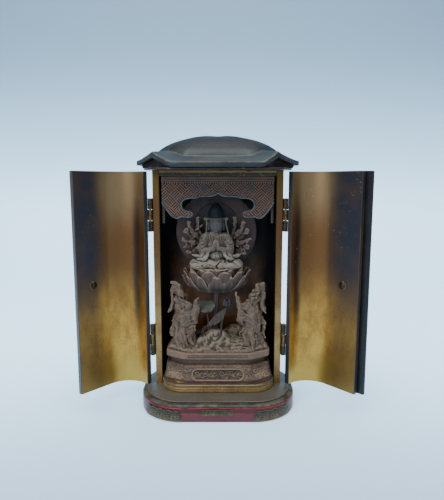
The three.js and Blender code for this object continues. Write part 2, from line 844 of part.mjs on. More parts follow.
// The seated figure. Every length is a share of its height, from the seat to the top of the hair.
function seatedFigure() {
  const h = figureHeight;
  const at = (x, y, z) => V(figureX + x * h, y * h, seatZ + z * h);
  const level = (a, b, z, y = 0) => [a * h, b * h, seatZ + z * h, figureX, y * h];
  const lap = turnedBody(
    [
      level(0.38, 0.25, 0, -0.03),
      level(0.41, 0.28, 0.04, -0.03),
      level(0.38, 0.26, 0.11, -0.03),
      level(0.28, 0.2, 0.165, -0.02),
      level(0.2, 0.15, 0.2, 0),
    ],
    12,
  );
  const torso = turnedBody(
    [
      level(0.2, 0.15, 0.15),
      level(0.23, 0.14, 0.34),
      level(0.25, 0.13, 0.42),
      level(0.16, 0.11, 0.475),
      level(0.07, 0.07, 0.5),
    ],
    10,
  );
  const head = join([
    turnedBody([level(0.06, 0.06, 0.46), level(0.055, 0.055, 0.53)], 10),
    ball(at(0, -0.01, 0.625), 0.107 * h, 0.115 * h, 0.145 * h, 8, 6),
    turnedBody(
      [
        level(0.104, 0.108, 0.7),
        level(0.118, 0.118, 0.765),
        level(0.112, 0.112, 0.83),
        level(0.09, 0.09, 0.9),
        level(0.05, 0.05, 0.965),
        level(0.01, 0.01, 1),
      ],
      8,
    ),
  ]);
  const arms = [-1, 1].flatMap((s) => [
    limb(
      [at(s * 0.22, -0.02, 0.41), at(s * 0.27, -0.1, 0.24), at(s * 0.005, -0.2, 0.34)],
      [
        [0.06 * h, 0.06 * h],
        [0.07 * h, 0.07 * h],
        [0.035 * h, 0.035 * h],
      ],
    ),
    limb(
      [at(s * 0.2, -0.06, 0.26), at(s * 0.24, -0.16, 0.17), at(0, -0.25, 0.19)],
      [
        [0.05 * h, 0.05 * h],
        [0.06 * h, 0.05 * h],
        [0.04 * h, 0.035 * h],
      ],
    ),
  ]);
  const palms = ball(at(0, -0.215, 0.375), 0.035 * h, 0.028 * h, 0.08 * h);
  const behind = box(figureX - h, figureX + h, 0.125 * h, h, seatZ + 0.13 * h, seatZ + 0.54 * h);
  const below = box(figureX - h, figureX + h, -h, h, seatZ - h, seatZ);
  const board = box(figureX - h, figureX + h, haloY - touchGap, h, seatZ, seatZ + 0.2 * h);
  return join([lap, torso, head, ...arms, palms]).subtract(behind).subtract(below).subtract(board);
}

// One fan of side arms behind the shoulders. Each hand is [out, up] in shares of the figure's height.
function sideArms(sign) {
  const h = figureHeight;
  const hands = [
    [0.29, 0.75, 0.3, 0.48],
    [0.42, 0.66, 0.3, 0.46],
    [0.5, 0.55, 0.34, 0.42],
    [0.52, 0.43, 0.34, 0.36],
    [0.5, 0.335, 0.34, 0.31],
    [0.44, 0.23, 0.31, 0.23],
  ];
  const at = (x, y, z) => V(figureX + sign * x * h, y * h, seatZ + z * h);
  const hub = ball(at(0.12, 0.2, 0.36), 0.1 * h, 0.05 * h, 0.14 * h, 8, 5);
  const arms = hands.map(([out, up, elbowOut, elbowUp], i) => {
    const depth = i % 2 ? 0.13 : 0.18;
    const hand = at(out, depth - 0.06, up);
    const palm = at(mix(elbowOut, out, 0.9), depth - 0.05, mix(elbowUp, up, 0.9));
    const wrist = at(mix(elbowOut, out, 0.68), depth - 0.04, mix(elbowUp, up, 0.68));
    return limb(
      [at(0.12, 0.19, 0.36), at(elbowOut, depth, elbowUp), wrist, palm, hand],
      [
        [0.035 * h, 0.035 * h],
        [0.032 * h, 0.032 * h],
        [0.02 * h, 0.02 * h],
        [0.036 * h, 0.026 * h],
        [0.02 * h, 0.016 * h],
      ],
    );
  });
  const front = box(-h, h, -h, 0.125 * h + touchGap, seatZ, seatZ + 0.54 * h);
  const torsoSide = box(figureX - 0.26 * h, figureX + 0.26 * h, -h, 0.125 * h + touchGap, seatZ, seatZ + h);
  const middle = figureX + (sign * touchGap) / 2;
  const [left, right] = sign > 0 ? [-h, middle] : [middle, h];
  const other = box(left, right, -h, h, seatZ, seatZ + h);
  const behind = box(-2 * h, 2 * h, haloY - touchGap, h, seatZ - h, seatZ + 2 * h);
  const inner = front.intersect(torsoSide);
  return join([hub, ...arms]).subtract(inner).subtract(other).subtract(behind);
}

// A metal crown band round the hair, with side ornaments from which ribbons hang to the shoulders.
function crown() {
  const h = figureHeight;
  const z = seatZ + 0.765 * h;
  const shape = new THREE.Shape().absarc(0, 0, 0.142 * h, 0, 2 * Math.PI);
  shape.holes.push(new THREE.Path().absarc(0, 0, 0.127 * h, 0, 2 * Math.PI));
  const ring = new THREE.ExtrudeGeometry(shape, { depth: 0.03 * h, bevelEnabled: false, curveSegments: 6 });
  const band = solidOf(ring.translate(figureX, 0, z - 0.015 * h));
  const sides = [-1, 1].flatMap((s) => {
    const at = (x, y, up) => V(figureX + s * x * h, y * h, seatZ + up * h);
    return [
      ball(at(0.185, -0.01, 0.765), 0.055 * h, 0.016 * h, 0.03 * h),
      limb(
        [at(0.19, -0.02, 0.76), at(0.195, -0.05, 0.62), at(0.185, -0.15, 0.47)],
        [
          [0.014 * h, 0.008 * h],
          [0.016 * h, 0.008 * h],
          [0.02 * h, 0.008 * h],
        ],
        4,
      ),
    ];
  });
  return join([band, ...sides]);
}

// A robed attendant with one raised arm and a dragon rearing behind the head.
function attendant(sign, ground) {
  const h = attendantHeight;
  const foot = slabTop + 0.022 * h;
  const at = (x, y, z) => V(sign * (attendantX + x * h), y * h - attendantForward, foot + z * h);
  const level = (a, b, z, x = 0, y = 0) => {
    const middle = at(x, y, z);
    return [a * h, b * h, middle.z, middle.x, middle.y];
  };
  const robe = turnedBody(
    [
      level(0.19, 0.16, -0.03),
      level(0.18, 0.15, 0.1),
      level(0.14, 0.12, 0.32),
      level(0.155, 0.12, 0.46, -0.01),
      level(0.15, 0.115, 0.55, -0.03),
      level(0.1, 0.09, 0.62, -0.05),
      level(0.05, 0.05, 0.66, -0.07),
    ],
    9,
  );
  const head = ball(at(-0.1, -0.06, 0.66), 0.075 * h, 0.08 * h, 0.085 * h, 7, 5);
  const raised = limb(
    [at(-0.11, -0.03, 0.56), at(-0.23, -0.06, 0.47), at(-0.25, -0.06, 0.64), at(-0.25, -0.04, 0.77)],
    [
      [0.055 * h, 0.055 * h],
      [0.045 * h, 0.05 * h],
      [0.04 * h, 0.04 * h],
      [0.028 * h, 0.028 * h],
    ],
  );
  const sleeve = limb(
    [at(0.08, 0, 0.56), at(0.15, 0, 0.6), at(0.22, -0.02, 0.55)],
    [
      [0.06 * h, 0.06 * h],
      [0.05 * h, 0.05 * h],
      [0.025 * h, 0.03 * h],
    ],
  );
  const dragonBody = limb(
    [at(0.0, 0.1, 0.5), at(0.08, 0.12, 0.66), at(0.14, 0.08, 0.8), at(0.11, 0.02, 0.92)],
    [
      [0.09 * h, 0.08 * h],
      [0.085 * h, 0.07 * h],
      [0.06 * h, 0.06 * h],
      [0.05 * h, 0.06 * h],
    ],
    6,
  );
  const dragonHead = limb(
    [at(0.15, 0.05, 0.93), at(0.07, 0, 0.93), at(-0.03, -0.04, 0.83)],
    [
      [0.05 * h, 0.05 * h],
      [0.085 * h, 0.07 * h],
      [0.03 * h, 0.035 * h],
    ],
    6,
  );
  const sash = limb(
    [at(0.13, 0.02, 0.42), at(0.18, 0.02, 0.3), at(0.16, 0, 0.15), at(0.13, 0, 0.02)],
    [
      [0.04 * h, 0.03 * h],
      [0.035 * h, 0.025 * h],
      [0.04 * h, 0.03 * h],
      [0.05 * h, 0.04 * h],
    ],
  );
  return join([robe, head, raised, sleeve, dragonBody, dragonHead, sash]).subtract(ground);
}

place("plinth", plinth(), "redLacquer");
place("base_step", baseStep(), "blackLacquer");
place("dais", dais(), "agedGold");
place("cabinet_shell", cabinetShell(), "blackLacquer");
place("top_rail", topRail(), "blackLacquer");
place("roof_board", roofBoard(), "blackLacquer");
place("roof", roof(), "blackLacquer");
place("canopy_front", canopyFront(), "carvedWood");
place("canopy_left_side", canopySide(-1), "carvedWood");
place("canopy_right_side", canopySide(1), "carvedWood");

place("stand_foot_board", standFootBoard(), "carvedWood");
place("stand_carved_band", standCarvedBand(), "carvedWood");
place("stand_waist", standWaist(), "carvedWood");
place("stand_top_slab", standTopSlab(), "carvedWood");

// What grows or stands on the carved ground is cut by a copy of it raised by the contact gap.
const mound = waveMound();
const groundTop = slabTop + touchGap + 0.1;
const ground = box(-standHalfWidth, standHalfWidth, -standHalfDepth, standHalfDepth, waistTop, groundTop);
const underfoot = mound.translate([0, 0, touchGap]).add(ground);
place("wave_mound", mound, "dustyWood");
place("lotus_stem", lotusStem().subtract(underfoot), "carvedWood");
place("lotus_leaf", lotusLeaf(underfoot), "leafGreen");
place("folded_leaf", foldedLeaf(underfoot), "dustyWood");
place("lotus_bud", lotusBud(underfoot), "carvedWood");
place("left_attendant", attendant(-1, underfoot), "carvedWood");
place("right_attendant", attendant(1, underfoot), "carvedWood");
place("lotus_seat", lotusSeat(), "carvedWood");
place("seated_figure", seatedFigure(), "dustyWood");
place("left_side_arms", sideArms(-1), "dustyWood");
place("right_side_arms", sideArms(1), "dustyWood");
place("crown", crown(), "darkBronze");
place("halo", halo(), "carvedWood");

for (const [side, sx] of [["left", -1], ["right", 1]]) {
  for (const [end, sy] of [["front", -1], ["back", 1]]) {
    place(`plinth_mount_${end}_${side}`, cornerMount(sx, sy), "darkBronze");
  }
}
place("plinth_mount_centre", centreMount(), "darkBronze");

// Each door and what is fixed to it turn together about the hinge line, by the angle they stand open.
for (const [side, sign] of [["left", -1], ["right", 1]]) {
  const pivot = new THREE.Group();
  pivot.position.set(sign * hingeX, hingeY, 0);
  pivot.rotation.z = sign * radians(doorOpenAngle);
  const leaf = new THREE.Group();
  leaf.position.set(-sign * hingeX, -hingeY, 0);
  pivot.add(leaf);
  cabinet.add(pivot);
  const endRise = doorBottom + doorHeight - endMountHeight;
  const middleRise = doorBottom + studRise - middleMountHeight / 2;
  place(`${side}_door`, door(sign), "agedGold", leaf);
  place(`${side}_door_stud`, stud(sign), "darkBronze", leaf);
  const doorMounts = [
    ["top", doorMount(sign, endRise, endMountHeight, false, true)],
    ["middle", doorMount(sign, middleRise, middleMountHeight, true, true)],
    ["bottom", doorMount(sign, doorBottom, endMountHeight, true, false)],
  ];
  for (const [part, mount] of doorMounts) place(`${side}_door_mount_${part}`, mount, "darkBronze", leaf);
  if (sign > 0) place("meeting_strip", meetingStrip(), "blackLacquer", leaf);
  const hingePlaces = [
    ["upper", shellTop - upperHingeDrop - hingeHeight],
    ["lower", floorZ + lowerHingeRise],
  ];
  for (const [level, z] of hingePlaces) {
    place(`${side}_${level}_hinge_cabinet_leaf`, hingeLeaf(sign, z, false), "darkBronze");
    place(`${side}_${level}_hinge_pin`, hingePin(sign, z), "darkBronze");
    place(`${side}_${level}_hinge_door_leaf`, hingeLeaf(sign, z, true), "agedGold", leaf);
  }
}

export default cabinet;
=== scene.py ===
# %% [markdown]
# A small household altar cabinet of lacquered and gilded wood stands with its curved doors open. Inside it
# a carved figure with many arms sits on a lotus, between two attendants. The construction comes packed as a
# fixed frame, at real size. This lesson dresses that frame: each cell makes one kind of surface with numpy,
# gives it a finish and lets it ride on the body that carries it.

# %% Load the frame
import json
import math

import bpy
import numpy as np
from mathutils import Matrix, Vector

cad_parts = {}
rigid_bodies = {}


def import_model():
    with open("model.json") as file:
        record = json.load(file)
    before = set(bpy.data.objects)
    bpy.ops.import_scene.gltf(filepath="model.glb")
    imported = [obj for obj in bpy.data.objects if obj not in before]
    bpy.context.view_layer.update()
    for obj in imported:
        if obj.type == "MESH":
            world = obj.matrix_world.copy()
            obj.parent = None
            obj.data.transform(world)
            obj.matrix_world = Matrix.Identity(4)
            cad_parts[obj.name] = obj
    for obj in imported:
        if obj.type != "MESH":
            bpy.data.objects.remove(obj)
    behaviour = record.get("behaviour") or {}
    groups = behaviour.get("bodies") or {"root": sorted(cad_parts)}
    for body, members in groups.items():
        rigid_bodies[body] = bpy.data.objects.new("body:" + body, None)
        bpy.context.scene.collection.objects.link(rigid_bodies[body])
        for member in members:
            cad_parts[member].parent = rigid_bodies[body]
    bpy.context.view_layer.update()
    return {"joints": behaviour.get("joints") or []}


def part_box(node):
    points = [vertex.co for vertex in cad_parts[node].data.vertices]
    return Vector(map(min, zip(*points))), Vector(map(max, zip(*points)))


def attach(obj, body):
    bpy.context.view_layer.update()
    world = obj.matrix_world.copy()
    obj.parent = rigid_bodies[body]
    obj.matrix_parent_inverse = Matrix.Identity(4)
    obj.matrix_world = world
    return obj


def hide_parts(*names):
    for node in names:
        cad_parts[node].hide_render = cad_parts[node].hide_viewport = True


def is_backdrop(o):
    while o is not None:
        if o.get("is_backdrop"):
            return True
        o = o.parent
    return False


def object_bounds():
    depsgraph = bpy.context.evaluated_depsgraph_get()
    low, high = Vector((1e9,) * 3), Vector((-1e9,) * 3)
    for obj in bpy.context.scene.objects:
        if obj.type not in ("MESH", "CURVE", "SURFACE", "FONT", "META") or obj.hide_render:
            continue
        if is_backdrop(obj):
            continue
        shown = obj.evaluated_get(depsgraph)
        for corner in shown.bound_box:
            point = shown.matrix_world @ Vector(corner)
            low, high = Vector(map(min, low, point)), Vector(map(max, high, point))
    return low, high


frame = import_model()
MM = 0.001

# %% [markdown]
# All work below is in millimetres and becomes metres when a mesh is made. Sizes are read from the frame's
# boxes wherever the frame knows them, so a piece can't drift away from the part that it dresses.

# %% Sizes from the frame


def node_box(name):
    """Lowest and highest corner of a frame node, in millimetres."""
    low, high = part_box(name)
    return np.array(low) / MM, np.array(high) / MM


plinth_low, plinth_high = node_box("plinth")
step_low, step_high = node_box("base_step")
dais_low, dais_high = node_box("dais")
shell_low, shell_high = node_box("cabinet_shell")
rail_low, rail_high = node_box("top_rail")
board_low, board_high = node_box("roof_board")
roof_low, roof_high = node_box("roof")
door_hinge = {j["child"]: np.array(j["pos_m"]) / MM for j in frame["joints"]}
open_angle = {j["child"]: (j["range_deg"][1] if "left" in j["child"] else j["range_deg"][0])
              for j in frame["joints"]}
BODY_CORNER = 20.0
WALL = 4.5
DOOR_WALL = 3.5
body_half_width = shell_high[0]
body_half_depth = shell_high[1]
door_plane = shell_low[1]
print("cabinet body:", body_half_width * 2, "by", body_half_depth * 2, "mm, open angles:", open_angle)

# %% [markdown]
# The camera stands where the photographer stood: a third of a metre away, a little above the lotus, looking
# down by eight degrees. It comes first, so that every later render is framed the same way.

# %% Camera
FRAME_LONG_SIDE = 500
FOCAL_PIXELS = 470
CAMERA_PLACE = (2.7, -313.5, 150.6)
CAMERA_DOWN = 8.2
SENSOR = 36.0

camera_data = bpy.data.cameras.new("camera")
camera_data.sensor_width = SENSOR
camera_data.lens = SENSOR * FOCAL_PIXELS / FRAME_LONG_SIDE
camera_data.clip_start, camera_data.clip_end = 0.01, 20
camera = bpy.data.objects.new("camera", camera_data)
camera.location = [v * MM for v in CAMERA_PLACE]
camera.rotation_euler = (math.radians(90 - CAMERA_DOWN), 0, 0)
bpy.context.scene.collection.objects.link(camera)
bpy.context.scene.camera = camera
print("lens:", round(camera_data.lens, 2), "mm")

# %% [markdown]
# Every mesh is a set of points and quads computed as whole arrays. A grid of points needs only its row and
# column count to know its quads, and a ring that closes on itself wraps its last column to the first.

# %% Points and quads into a mesh


def grid_quads(rows, cols, wrap_cols=False, wrap_rows=False):
    """Quads of a rows by cols grid: corners (i, j), (i, j+1), (i+1, j+1), (i+1, j)."""
    i, j = np.meshgrid(
        np.arange(rows if wrap_rows else rows - 1), np.arange(cols if wrap_cols else cols - 1), indexing="ij"
    )
    below, beside = (i + 1) % rows, (j + 1) % cols
    return np.stack([i * cols + j, i * cols + beside, below * cols + beside, below * cols + j],
                    -1).reshape(-1, 4)


def fan(centre, ring):
    """Triangles from one centre point to each edge of a ring, counter-clockwise as the ring runs."""
    return np.stack([np.full(len(ring), centre), ring, np.roll(ring, -1)], -1)


def make_piece(name, points, quads, finish, body="cabinet", triangles=(), stands_for=(), slot=None,
               attributes=None, sharp=38, finish_numbers=None):
    """Puts arrays of points (mm), quads and triangles into a mesh, and hangs it on its body."""
    points = np.asarray(points, float).reshape(-1, 3) * MM
    quads = np.asarray(quads, int).reshape(-1, 4)
    triangles = np.asarray(triangles, int).reshape(-1, 3)
    mesh = bpy.data.meshes.new(name)
    mesh.vertices.add(len(points))
    mesh.vertices.foreach_set("co", points.ravel())
    corners = np.concatenate([quads.ravel(), triangles.ravel()])
    sizes = np.concatenate([np.full(len(quads), 4), np.full(len(triangles), 3)])
    mesh.loops.add(len(corners))
    mesh.loops.foreach_set("vertex_index", corners)
    mesh.polygons.add(len(sizes))
    mesh.polygons.foreach_set("loop_start", np.cumsum(sizes) - sizes)
    mesh.polygons.foreach_set("loop_total", sizes)
    mesh.update(calc_edges=True)
    mesh.validate()
    mesh.polygons.foreach_set("use_smooth", np.ones(len(mesh.polygons), bool))
    mesh.set_sharp_from_angle(angle=math.radians(sharp))
    for key, values in (attributes or {}).items():
        layer = mesh.attributes.new(key, "FLOAT", "POINT")
        layer.data.foreach_set("value", np.asarray(values, np.float32).ravel())
    for one in finish if isinstance(finish, (list, tuple)) else [finish]:
        mesh.materials.append(one)
    if finish_numbers is not None:
        mesh.polygons.foreach_set("material_index", np.asarray(finish_numbers, np.int32))
    piece = bpy.data.objects.new(name, mesh)
    bpy.context.scene.collection.objects.link(piece)
    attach(piece, body)
    if stands_for:
        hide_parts(*stands_for)
    print(f"{name}: {len(points)} points, {len(quads) * 2 + len(triangles)} triangles")
    return piece


print("quads of a 3 by 4 grid of points:", len(grid_quads(3, 4)))

# %% [markdown]
# A finish is a node tree around one Principled shader. The helper below adds nodes by short calls, and
# reads Object coordinates, so that a pattern stays fixed to the wood. Sizes of noise are given in
# millimetres.

# %% A helper for finishes


class Finish:
    """A material whose pattern nodes are added one call at a time."""

    def __init__(self, name, roughness=0.5, metallic=0.0, specular=0.5):
        self.material = bpy.data.materials.new(name)
        self.material.use_nodes = True
        self.tree = self.material.node_tree
        self.shader = self.tree.nodes["Principled BSDF"]
        self.shader.inputs["Roughness"].default_value = roughness
        self.shader.inputs["Metallic"].default_value = metallic
        self.shader.inputs["Specular IOR Level"].default_value = specular
        self.place = self.add("ShaderNodeTexCoord").outputs["Object"]
        self.split = None

    def add(self, kind, **settings):
        node = self.tree.nodes.new(kind)
        for key, value in settings.items():
            setattr(node, key, value)
        return node

    def plug(self, socket, value):
        if isinstance(value, bpy.types.NodeSocket):
            self.tree.links.new(value, socket)
        elif hasattr(socket.default_value, "__len__"):
            socket.default_value = (*value, 1.0)[: len(socket.default_value)]
        else:
            socket.default_value = value

    def axis(self, letter):
        """The X, Y or Z Object coordinate, in millimetres."""
        if self.split is None:
            self.split = self.add("ShaderNodeSeparateXYZ")
            self.plug(self.split.inputs[0], self.place)
        return self.times(self.split.outputs[letter], 1 / MM)

    def attribute(self, name):
        return self.add("ShaderNodeAttribute", attribute_name=name).outputs["Fac"]

    def math(self, operation, a, b=0.0, clamp=False):
        node = self.add("ShaderNodeMath", operation=operation, use_clamp=clamp)
        self.plug(node.inputs[0], a)
        self.plug(node.inputs[1], b)
        return node.outputs[0]

    def times(self, a, b, clamp=False):
        return self.math("MULTIPLY", a, b, clamp)

    def plus(self, a, b, clamp=False):
        return self.math("ADD", a, b, clamp)

    def minus(self, a, b):
        return self.math("SUBTRACT", a, b)

    def length(self, a, b):
        """How far (a, b) is from (0, 0): the square root of a^2 + b^2."""
        return self.math("SQRT", self.plus(self.times(a, a), self.times(b, b)))

    def upward(self):
        """The Z share of the surface's direction: 1 where it faces up."""
        split = self.add("ShaderNodeSeparateXYZ")
        self.plug(split.inputs[0], self.add("ShaderNodeNewGeometry").outputs["Normal"])
        return split.outputs["Z"]

    def noise(self, size, detail=3.0, rough=0.55, stretch=(1, 1, 1), shift=0.0):
        """Fractal noise from 0 to 1 whose blobs are about size mm, longer along an axis stretched over 1."""
        node = self.add("ShaderNodeTexNoise")
        vector = self.place
        if stretch != (1, 1, 1) or shift:
            mapping = self.add("ShaderNodeMapping")
            mapping.inputs["Scale"].default_value = [1 / s for s in stretch]
            mapping.inputs["Location"].default_value = (shift, shift, shift)
            self.plug(mapping.inputs["Vector"], vector)
            vector = mapping.outputs[0]
        self.plug(node.inputs["Vector"], vector)
        node.inputs["Scale"].default_value = 1 / (size * MM)
        node.inputs["Detail"].default_value = detail
        node.inputs["Roughness"].default_value = rough
        return node.outputs["Fac"]

    def ramp(self, value, low, high, to_low=0.0, to_high=1.0):
        """A smooth step: to_low where value is below low, to_high where it is above high."""
        node = self.add("ShaderNodeMapRange", interpolation_type="SMOOTHSTEP")
        self.plug(node.inputs["Value"], value)
        node.inputs["From Min"].default_value = low
        node.inputs["From Max"].default_value = high
        node.inputs["To Min"].default_value = to_low
        node.inputs["To Max"].default_value = to_high
        return node.outputs["Result"]

    def mix(self, share, a, b):
        node = self.add("ShaderNodeMix", data_type="RGBA")
        self.plug(node.inputs["Factor"], share)
        self.plug(node.inputs["A"], a)
        self.plug(node.inputs["B"], b)
        return node.outputs["Result"]

    def colour(self, value):
        self.plug(self.shader.inputs["Base Color"], value)

    def rough(self, value):
        self.plug(self.shader.inputs["Roughness"], value)

    def bump(self, height, depth):
        """Fine relief: height from 0 to 1 becomes a rise of depth mm."""
        node = self.add("ShaderNodeBump")
        node.inputs["Strength"].default_value = 1.0
        node.inputs["Distance"].default_value = depth * MM
        self.plug(node.inputs["Height"], height)
        self.plug(self.shader.inputs["Normal"], node.outputs[0])


print("calls for finishes:", ", ".join(name for name in vars(Finish) if name[0] != "_"))

# %% [markdown]
# Colours are easiest to judge as they look on a screen, from 0 to 255, but a shader works with amounts of
# light. So each colour is written as it looks, and one function turns it into light.

# %% Colours


def tone(red, green, blue):
    """A colour as the eye reads it, 0 to 255 a channel, as the linear values that a shader needs."""
    share = np.array([red, green, blue]) / 255
    return tuple(np.where(share <= 0.04045, share / 12.92, ((share + 0.055) / 1.055) ** 2.4))


print("middle grey as light:", [round(v, 3) for v in tone(128, 128, 128)])

# %% [markdown]
# Black lacquer is nearly a mirror when new. This one has gone grey-green and satin, with dust in the pores,
# ochre chips where the ground shows through and long soft wear. It covers the outside of walls and doors,
# where nobody dusts.

# %% Black lacquer


def black_lacquer(name, base, dusty, dust_share, chip_share, roughness):
    """Lacquer: base darkened and lightened by slow noise, dust on upward faces, ochre chips by high noise."""
    f = Finish(name, roughness=roughness, specular=0.35)
    cloud = f.noise(9, detail=4)
    ground = f.mix(f.ramp(cloud, 0.3, 0.75), base, tuple(c * 1.7 for c in base))
    up = f.ramp(f.upward(), 0.2, 0.95)
    grain = f.ramp(f.noise(0.8, detail=5), 0.35, 0.75)
    dust = f.times(f.times(up, dust_share), f.plus(grain, 0.35), clamp=True)
    dusted = f.mix(dust, ground, dusty)
    edge = f.attribute("edge")
    speck = f.ramp(f.noise(1.3, detail=2, shift=3.0), 0.72 - chip_share, 0.76 - chip_share)
    chip = f.times(speck, f.ramp(edge, 0.3, 0.8))
    mote = f.ramp(f.noise(0.55, detail=0, shift=7.0), 0.79, 0.82)
    chipped = f.mix(chip, dusted, tone(150, 122, 78))
    f.colour(f.mix(f.times(mote, 0.2), chipped, tone(140, 134, 118)))
    f.rough(f.plus(f.times(f.plus(dust, f.times(cloud, 0.25)), 0.5), roughness))
    f.bump(f.noise(1.6, detail=4, shift=1.0), 0.03)
    return f.material


outer_lacquer = black_lacquer("outer_lacquer", tone(18, 17, 18), tone(92, 88, 80), 0.3, 0.0, 0.3)
print("lacquer:", outer_lacquer.name)

# %% [markdown]
# The plinth, its step and the dais share one kind of form: a rounded rectangle whose edge follows a
# moulding. Any rounded rectangle is a skeleton of corner centres plus outward directions, so one formula
# gives every ring: skeleton + (corner - inset) * direction.

# %% Rounded plans and moulded blocks


def rounded_plan(half_width, half_depth, corner, arc_steps=18, side_steps=10):
    """Skeleton points and unit outward directions round a rounded rectangle, counter-clockwise."""
    cx, cy = half_width - corner, half_depth - corner
    turn = np.linspace(0, np.pi / 2, arc_steps)
    skeletons, outwards = [], []
    for quadrant, (sx, sy) in enumerate([(1, 1), (-1, 1), (-1, -1), (1, -1)]):
        angle = turn + quadrant * np.pi / 2
        skeletons.append(np.tile([sx * cx, sy * cy], (arc_steps, 1)))
        outwards.append(np.stack([np.cos(angle), np.sin(angle)], -1))
        along = np.linspace(0, 1, side_steps + 2)[1:-1, None]
        here = np.array([sx * cx, sy * cy])
        there = np.array([[-cx, cy], [-cx, -cy], [cx, -cy], [cx, cy]][quadrant])
        skeletons.append(here + (there - here) * along)
        outwards.append(np.tile(outwards[-1][-1], (side_steps, 1)))
    return np.concatenate(skeletons), np.concatenate(outwards)


def rings_from_profile(plan, corner, profile, shift_y=0.0):
    """Rings (level, point, xyz): skeleton + (corner - inset) * direction, at each level's height."""
    skeleton, outward = plan
    inset, height = np.array(profile, float).T
    flat = skeleton[None] + (corner - inset)[:, None, None] * outward[None]
    flat[..., 1] += shift_y
    return np.concatenate([flat, np.broadcast_to(height[:, None, None], flat.shape[:2] + (1,))], -1)


def capped(rings):
    """Points, quads and end triangles of a skin over rings, closed by a fan at each end."""
    rows, cols = rings.shape[:2]
    points = np.concatenate([rings.reshape(-1, 3), rings[[0, -1]].mean(1)])
    first, last = rows * cols, rows * cols + 1
    low_ring, high_ring = np.arange(cols), np.arange(cols) + (rows - 1) * cols
    ends = np.concatenate([fan(first, low_ring[::-1]), fan(last, high_ring)])
    return points, grid_quads(rows, cols, wrap_cols=True), ends


print("plan points:", len(rounded_plan(1, 1, 0.5)[0]))

# %% [markdown]
# A moulding's corners are never quite sharp, and they are where lacquer wears first. So a profile is
# softened before it is carried round, and its bends become the attribute "edge", which finishes read.

# %% Softened mouldings


def soften(profile, steps=4, reach=0.25):
    """Rounds each corner of a profile: a quadratic curve replaces the last and first share of its sides."""
    p = np.array(profile, float)
    before = p[1:-1] + (p[:-2] - p[1:-1]) * reach
    after = p[1:-1] + (p[2:] - p[1:-1]) * reach
    t = np.linspace(0, 1, steps)[None, :, None]
    curve = (1 - t) ** 2 * before[:, None] + 2 * t * (1 - t) * p[1:-1][:, None] + t**2 * after[:, None]
    return np.concatenate([p[:1], curve.reshape(-1, 2), p[-1:]])


def edge_wear(rings, profile):
    """0 on flat stretches of a profile and 1 at its corners, for finishes that chip at edges."""
    p = np.array(profile, float)
    way = np.diff(p, axis=0)
    way /= np.linalg.norm(way, axis=1)[:, None] + 1e-9
    bend = np.zeros(len(p))
    bend[1:-1] = np.clip(1.5 * np.linalg.norm(np.diff(way, axis=0), axis=1), 0, 1)
    return np.concatenate([np.repeat(bend, rings.shape[1]), [0, 0]])


def moulded_block(name, low, high, corner, profile, finish, stands_for, **more):
    """A rounded block: profile is a list of (inset, height) from the node's own underside."""
    half_width, half_depth = (high - low)[:2] / 2
    profile = soften([(inset, low[2] + rise) for inset, rise in profile])
    plan = rounded_plan(half_width, half_depth, corner)
    rings = rings_from_profile(plan, corner, profile, shift_y=(low[1] + high[1]) / 2)
    points, quads, triangles = capped(rings)
    wear = edge_wear(rings, profile)
    return make_piece(name, points, quads, finish, triangles=triangles, stands_for=stands_for,
                      attributes={"edge": wear}, **more)


print("a corner softened to", len(soften([(0, 0), (1, 0), (1, 1)])) - 2, "points")

# %% [markdown]
# The plinth's band is dark red lacquer over a brighter red, which shows as fine lines along its edges. The
# moulding above it is black under olive dust. One finish changes with height, because on the real plinth
# the colours change at heights too.

# %% The plinth's finish


def red_band_finish():
    """Red below the moulding, black and dusty above; bright red lines where the height is near an edge."""
    f = Finish("plinth_red_lacquer", roughness=0.3, specular=0.3)
    z = f.axis("Z")
    cloud = f.ramp(f.noise(14, detail=4, stretch=(3, 3, 1)), 0.3, 0.7)
    red = f.mix(cloud, tone(58, 18, 20), tone(78, 32, 33))
    lower = f.mix(f.ramp(z, 5.2, 5.9), tone(96, 42, 46), red)
    line_noise = f.times(f.ramp(f.noise(7, detail=3), 0.35, 0.55), 0.8)
    mid_line = f.times(f.ramp(z, 5.3, 5.6), f.ramp(z, 5.75, 6.0, 1, 0))
    lined = f.mix(f.times(mid_line, line_noise), lower, tone(150, 62, 62))
    top_line = f.times(f.ramp(z, 8.9, 9.15), f.ramp(z, 9.6, 9.8, 1, 0))
    lined = f.mix(f.times(top_line, f.plus(line_noise, 0.25, clamp=True)), lined, tone(150, 50, 44))
    grain = f.ramp(f.noise(0.7, detail=5), 0.3, 0.8)
    dusty = f.mix(grain, tone(62, 60, 52), tone(98, 94, 80))
    shade = f.mix(f.ramp(f.noise(5, detail=2), 0.4, 0.6), tone(50, 48, 42), dusty)
    f.colour(f.mix(f.ramp(z, 9.55, 9.75), lined, shade))
    f.rough(f.ramp(z, 9.5, 9.8, 0.3, 0.55))
    f.bump(f.noise(1.2, detail=4), 0.04)
    return f.material


def step_finish():
    """Dusty black on top, with a broken red line along the riser."""
    f = Finish("step_red_edge", roughness=0.5)
    z = f.axis("Z")
    low = float(step_low[2])
    grain = f.ramp(f.noise(0.9, detail=5), 0.3, 0.8)
    blotch = f.ramp(f.noise(11, detail=3, stretch=(2, 1, 1)), 0.3, 0.7)
    dusty = f.mix(grain, f.mix(blotch, tone(54, 50, 45), tone(70, 65, 57)), tone(94, 88, 77))
    broken = f.times(f.ramp(f.noise(12, detail=3), 0.42, 0.55), f.ramp(z, low + 0.75, low + 0.4, 0, 1))
    f.colour(f.mix(broken, dusty, tone(150, 60, 54)))
    f.bump(f.noise(0.8, detail=5), 0.05)
    return f.material


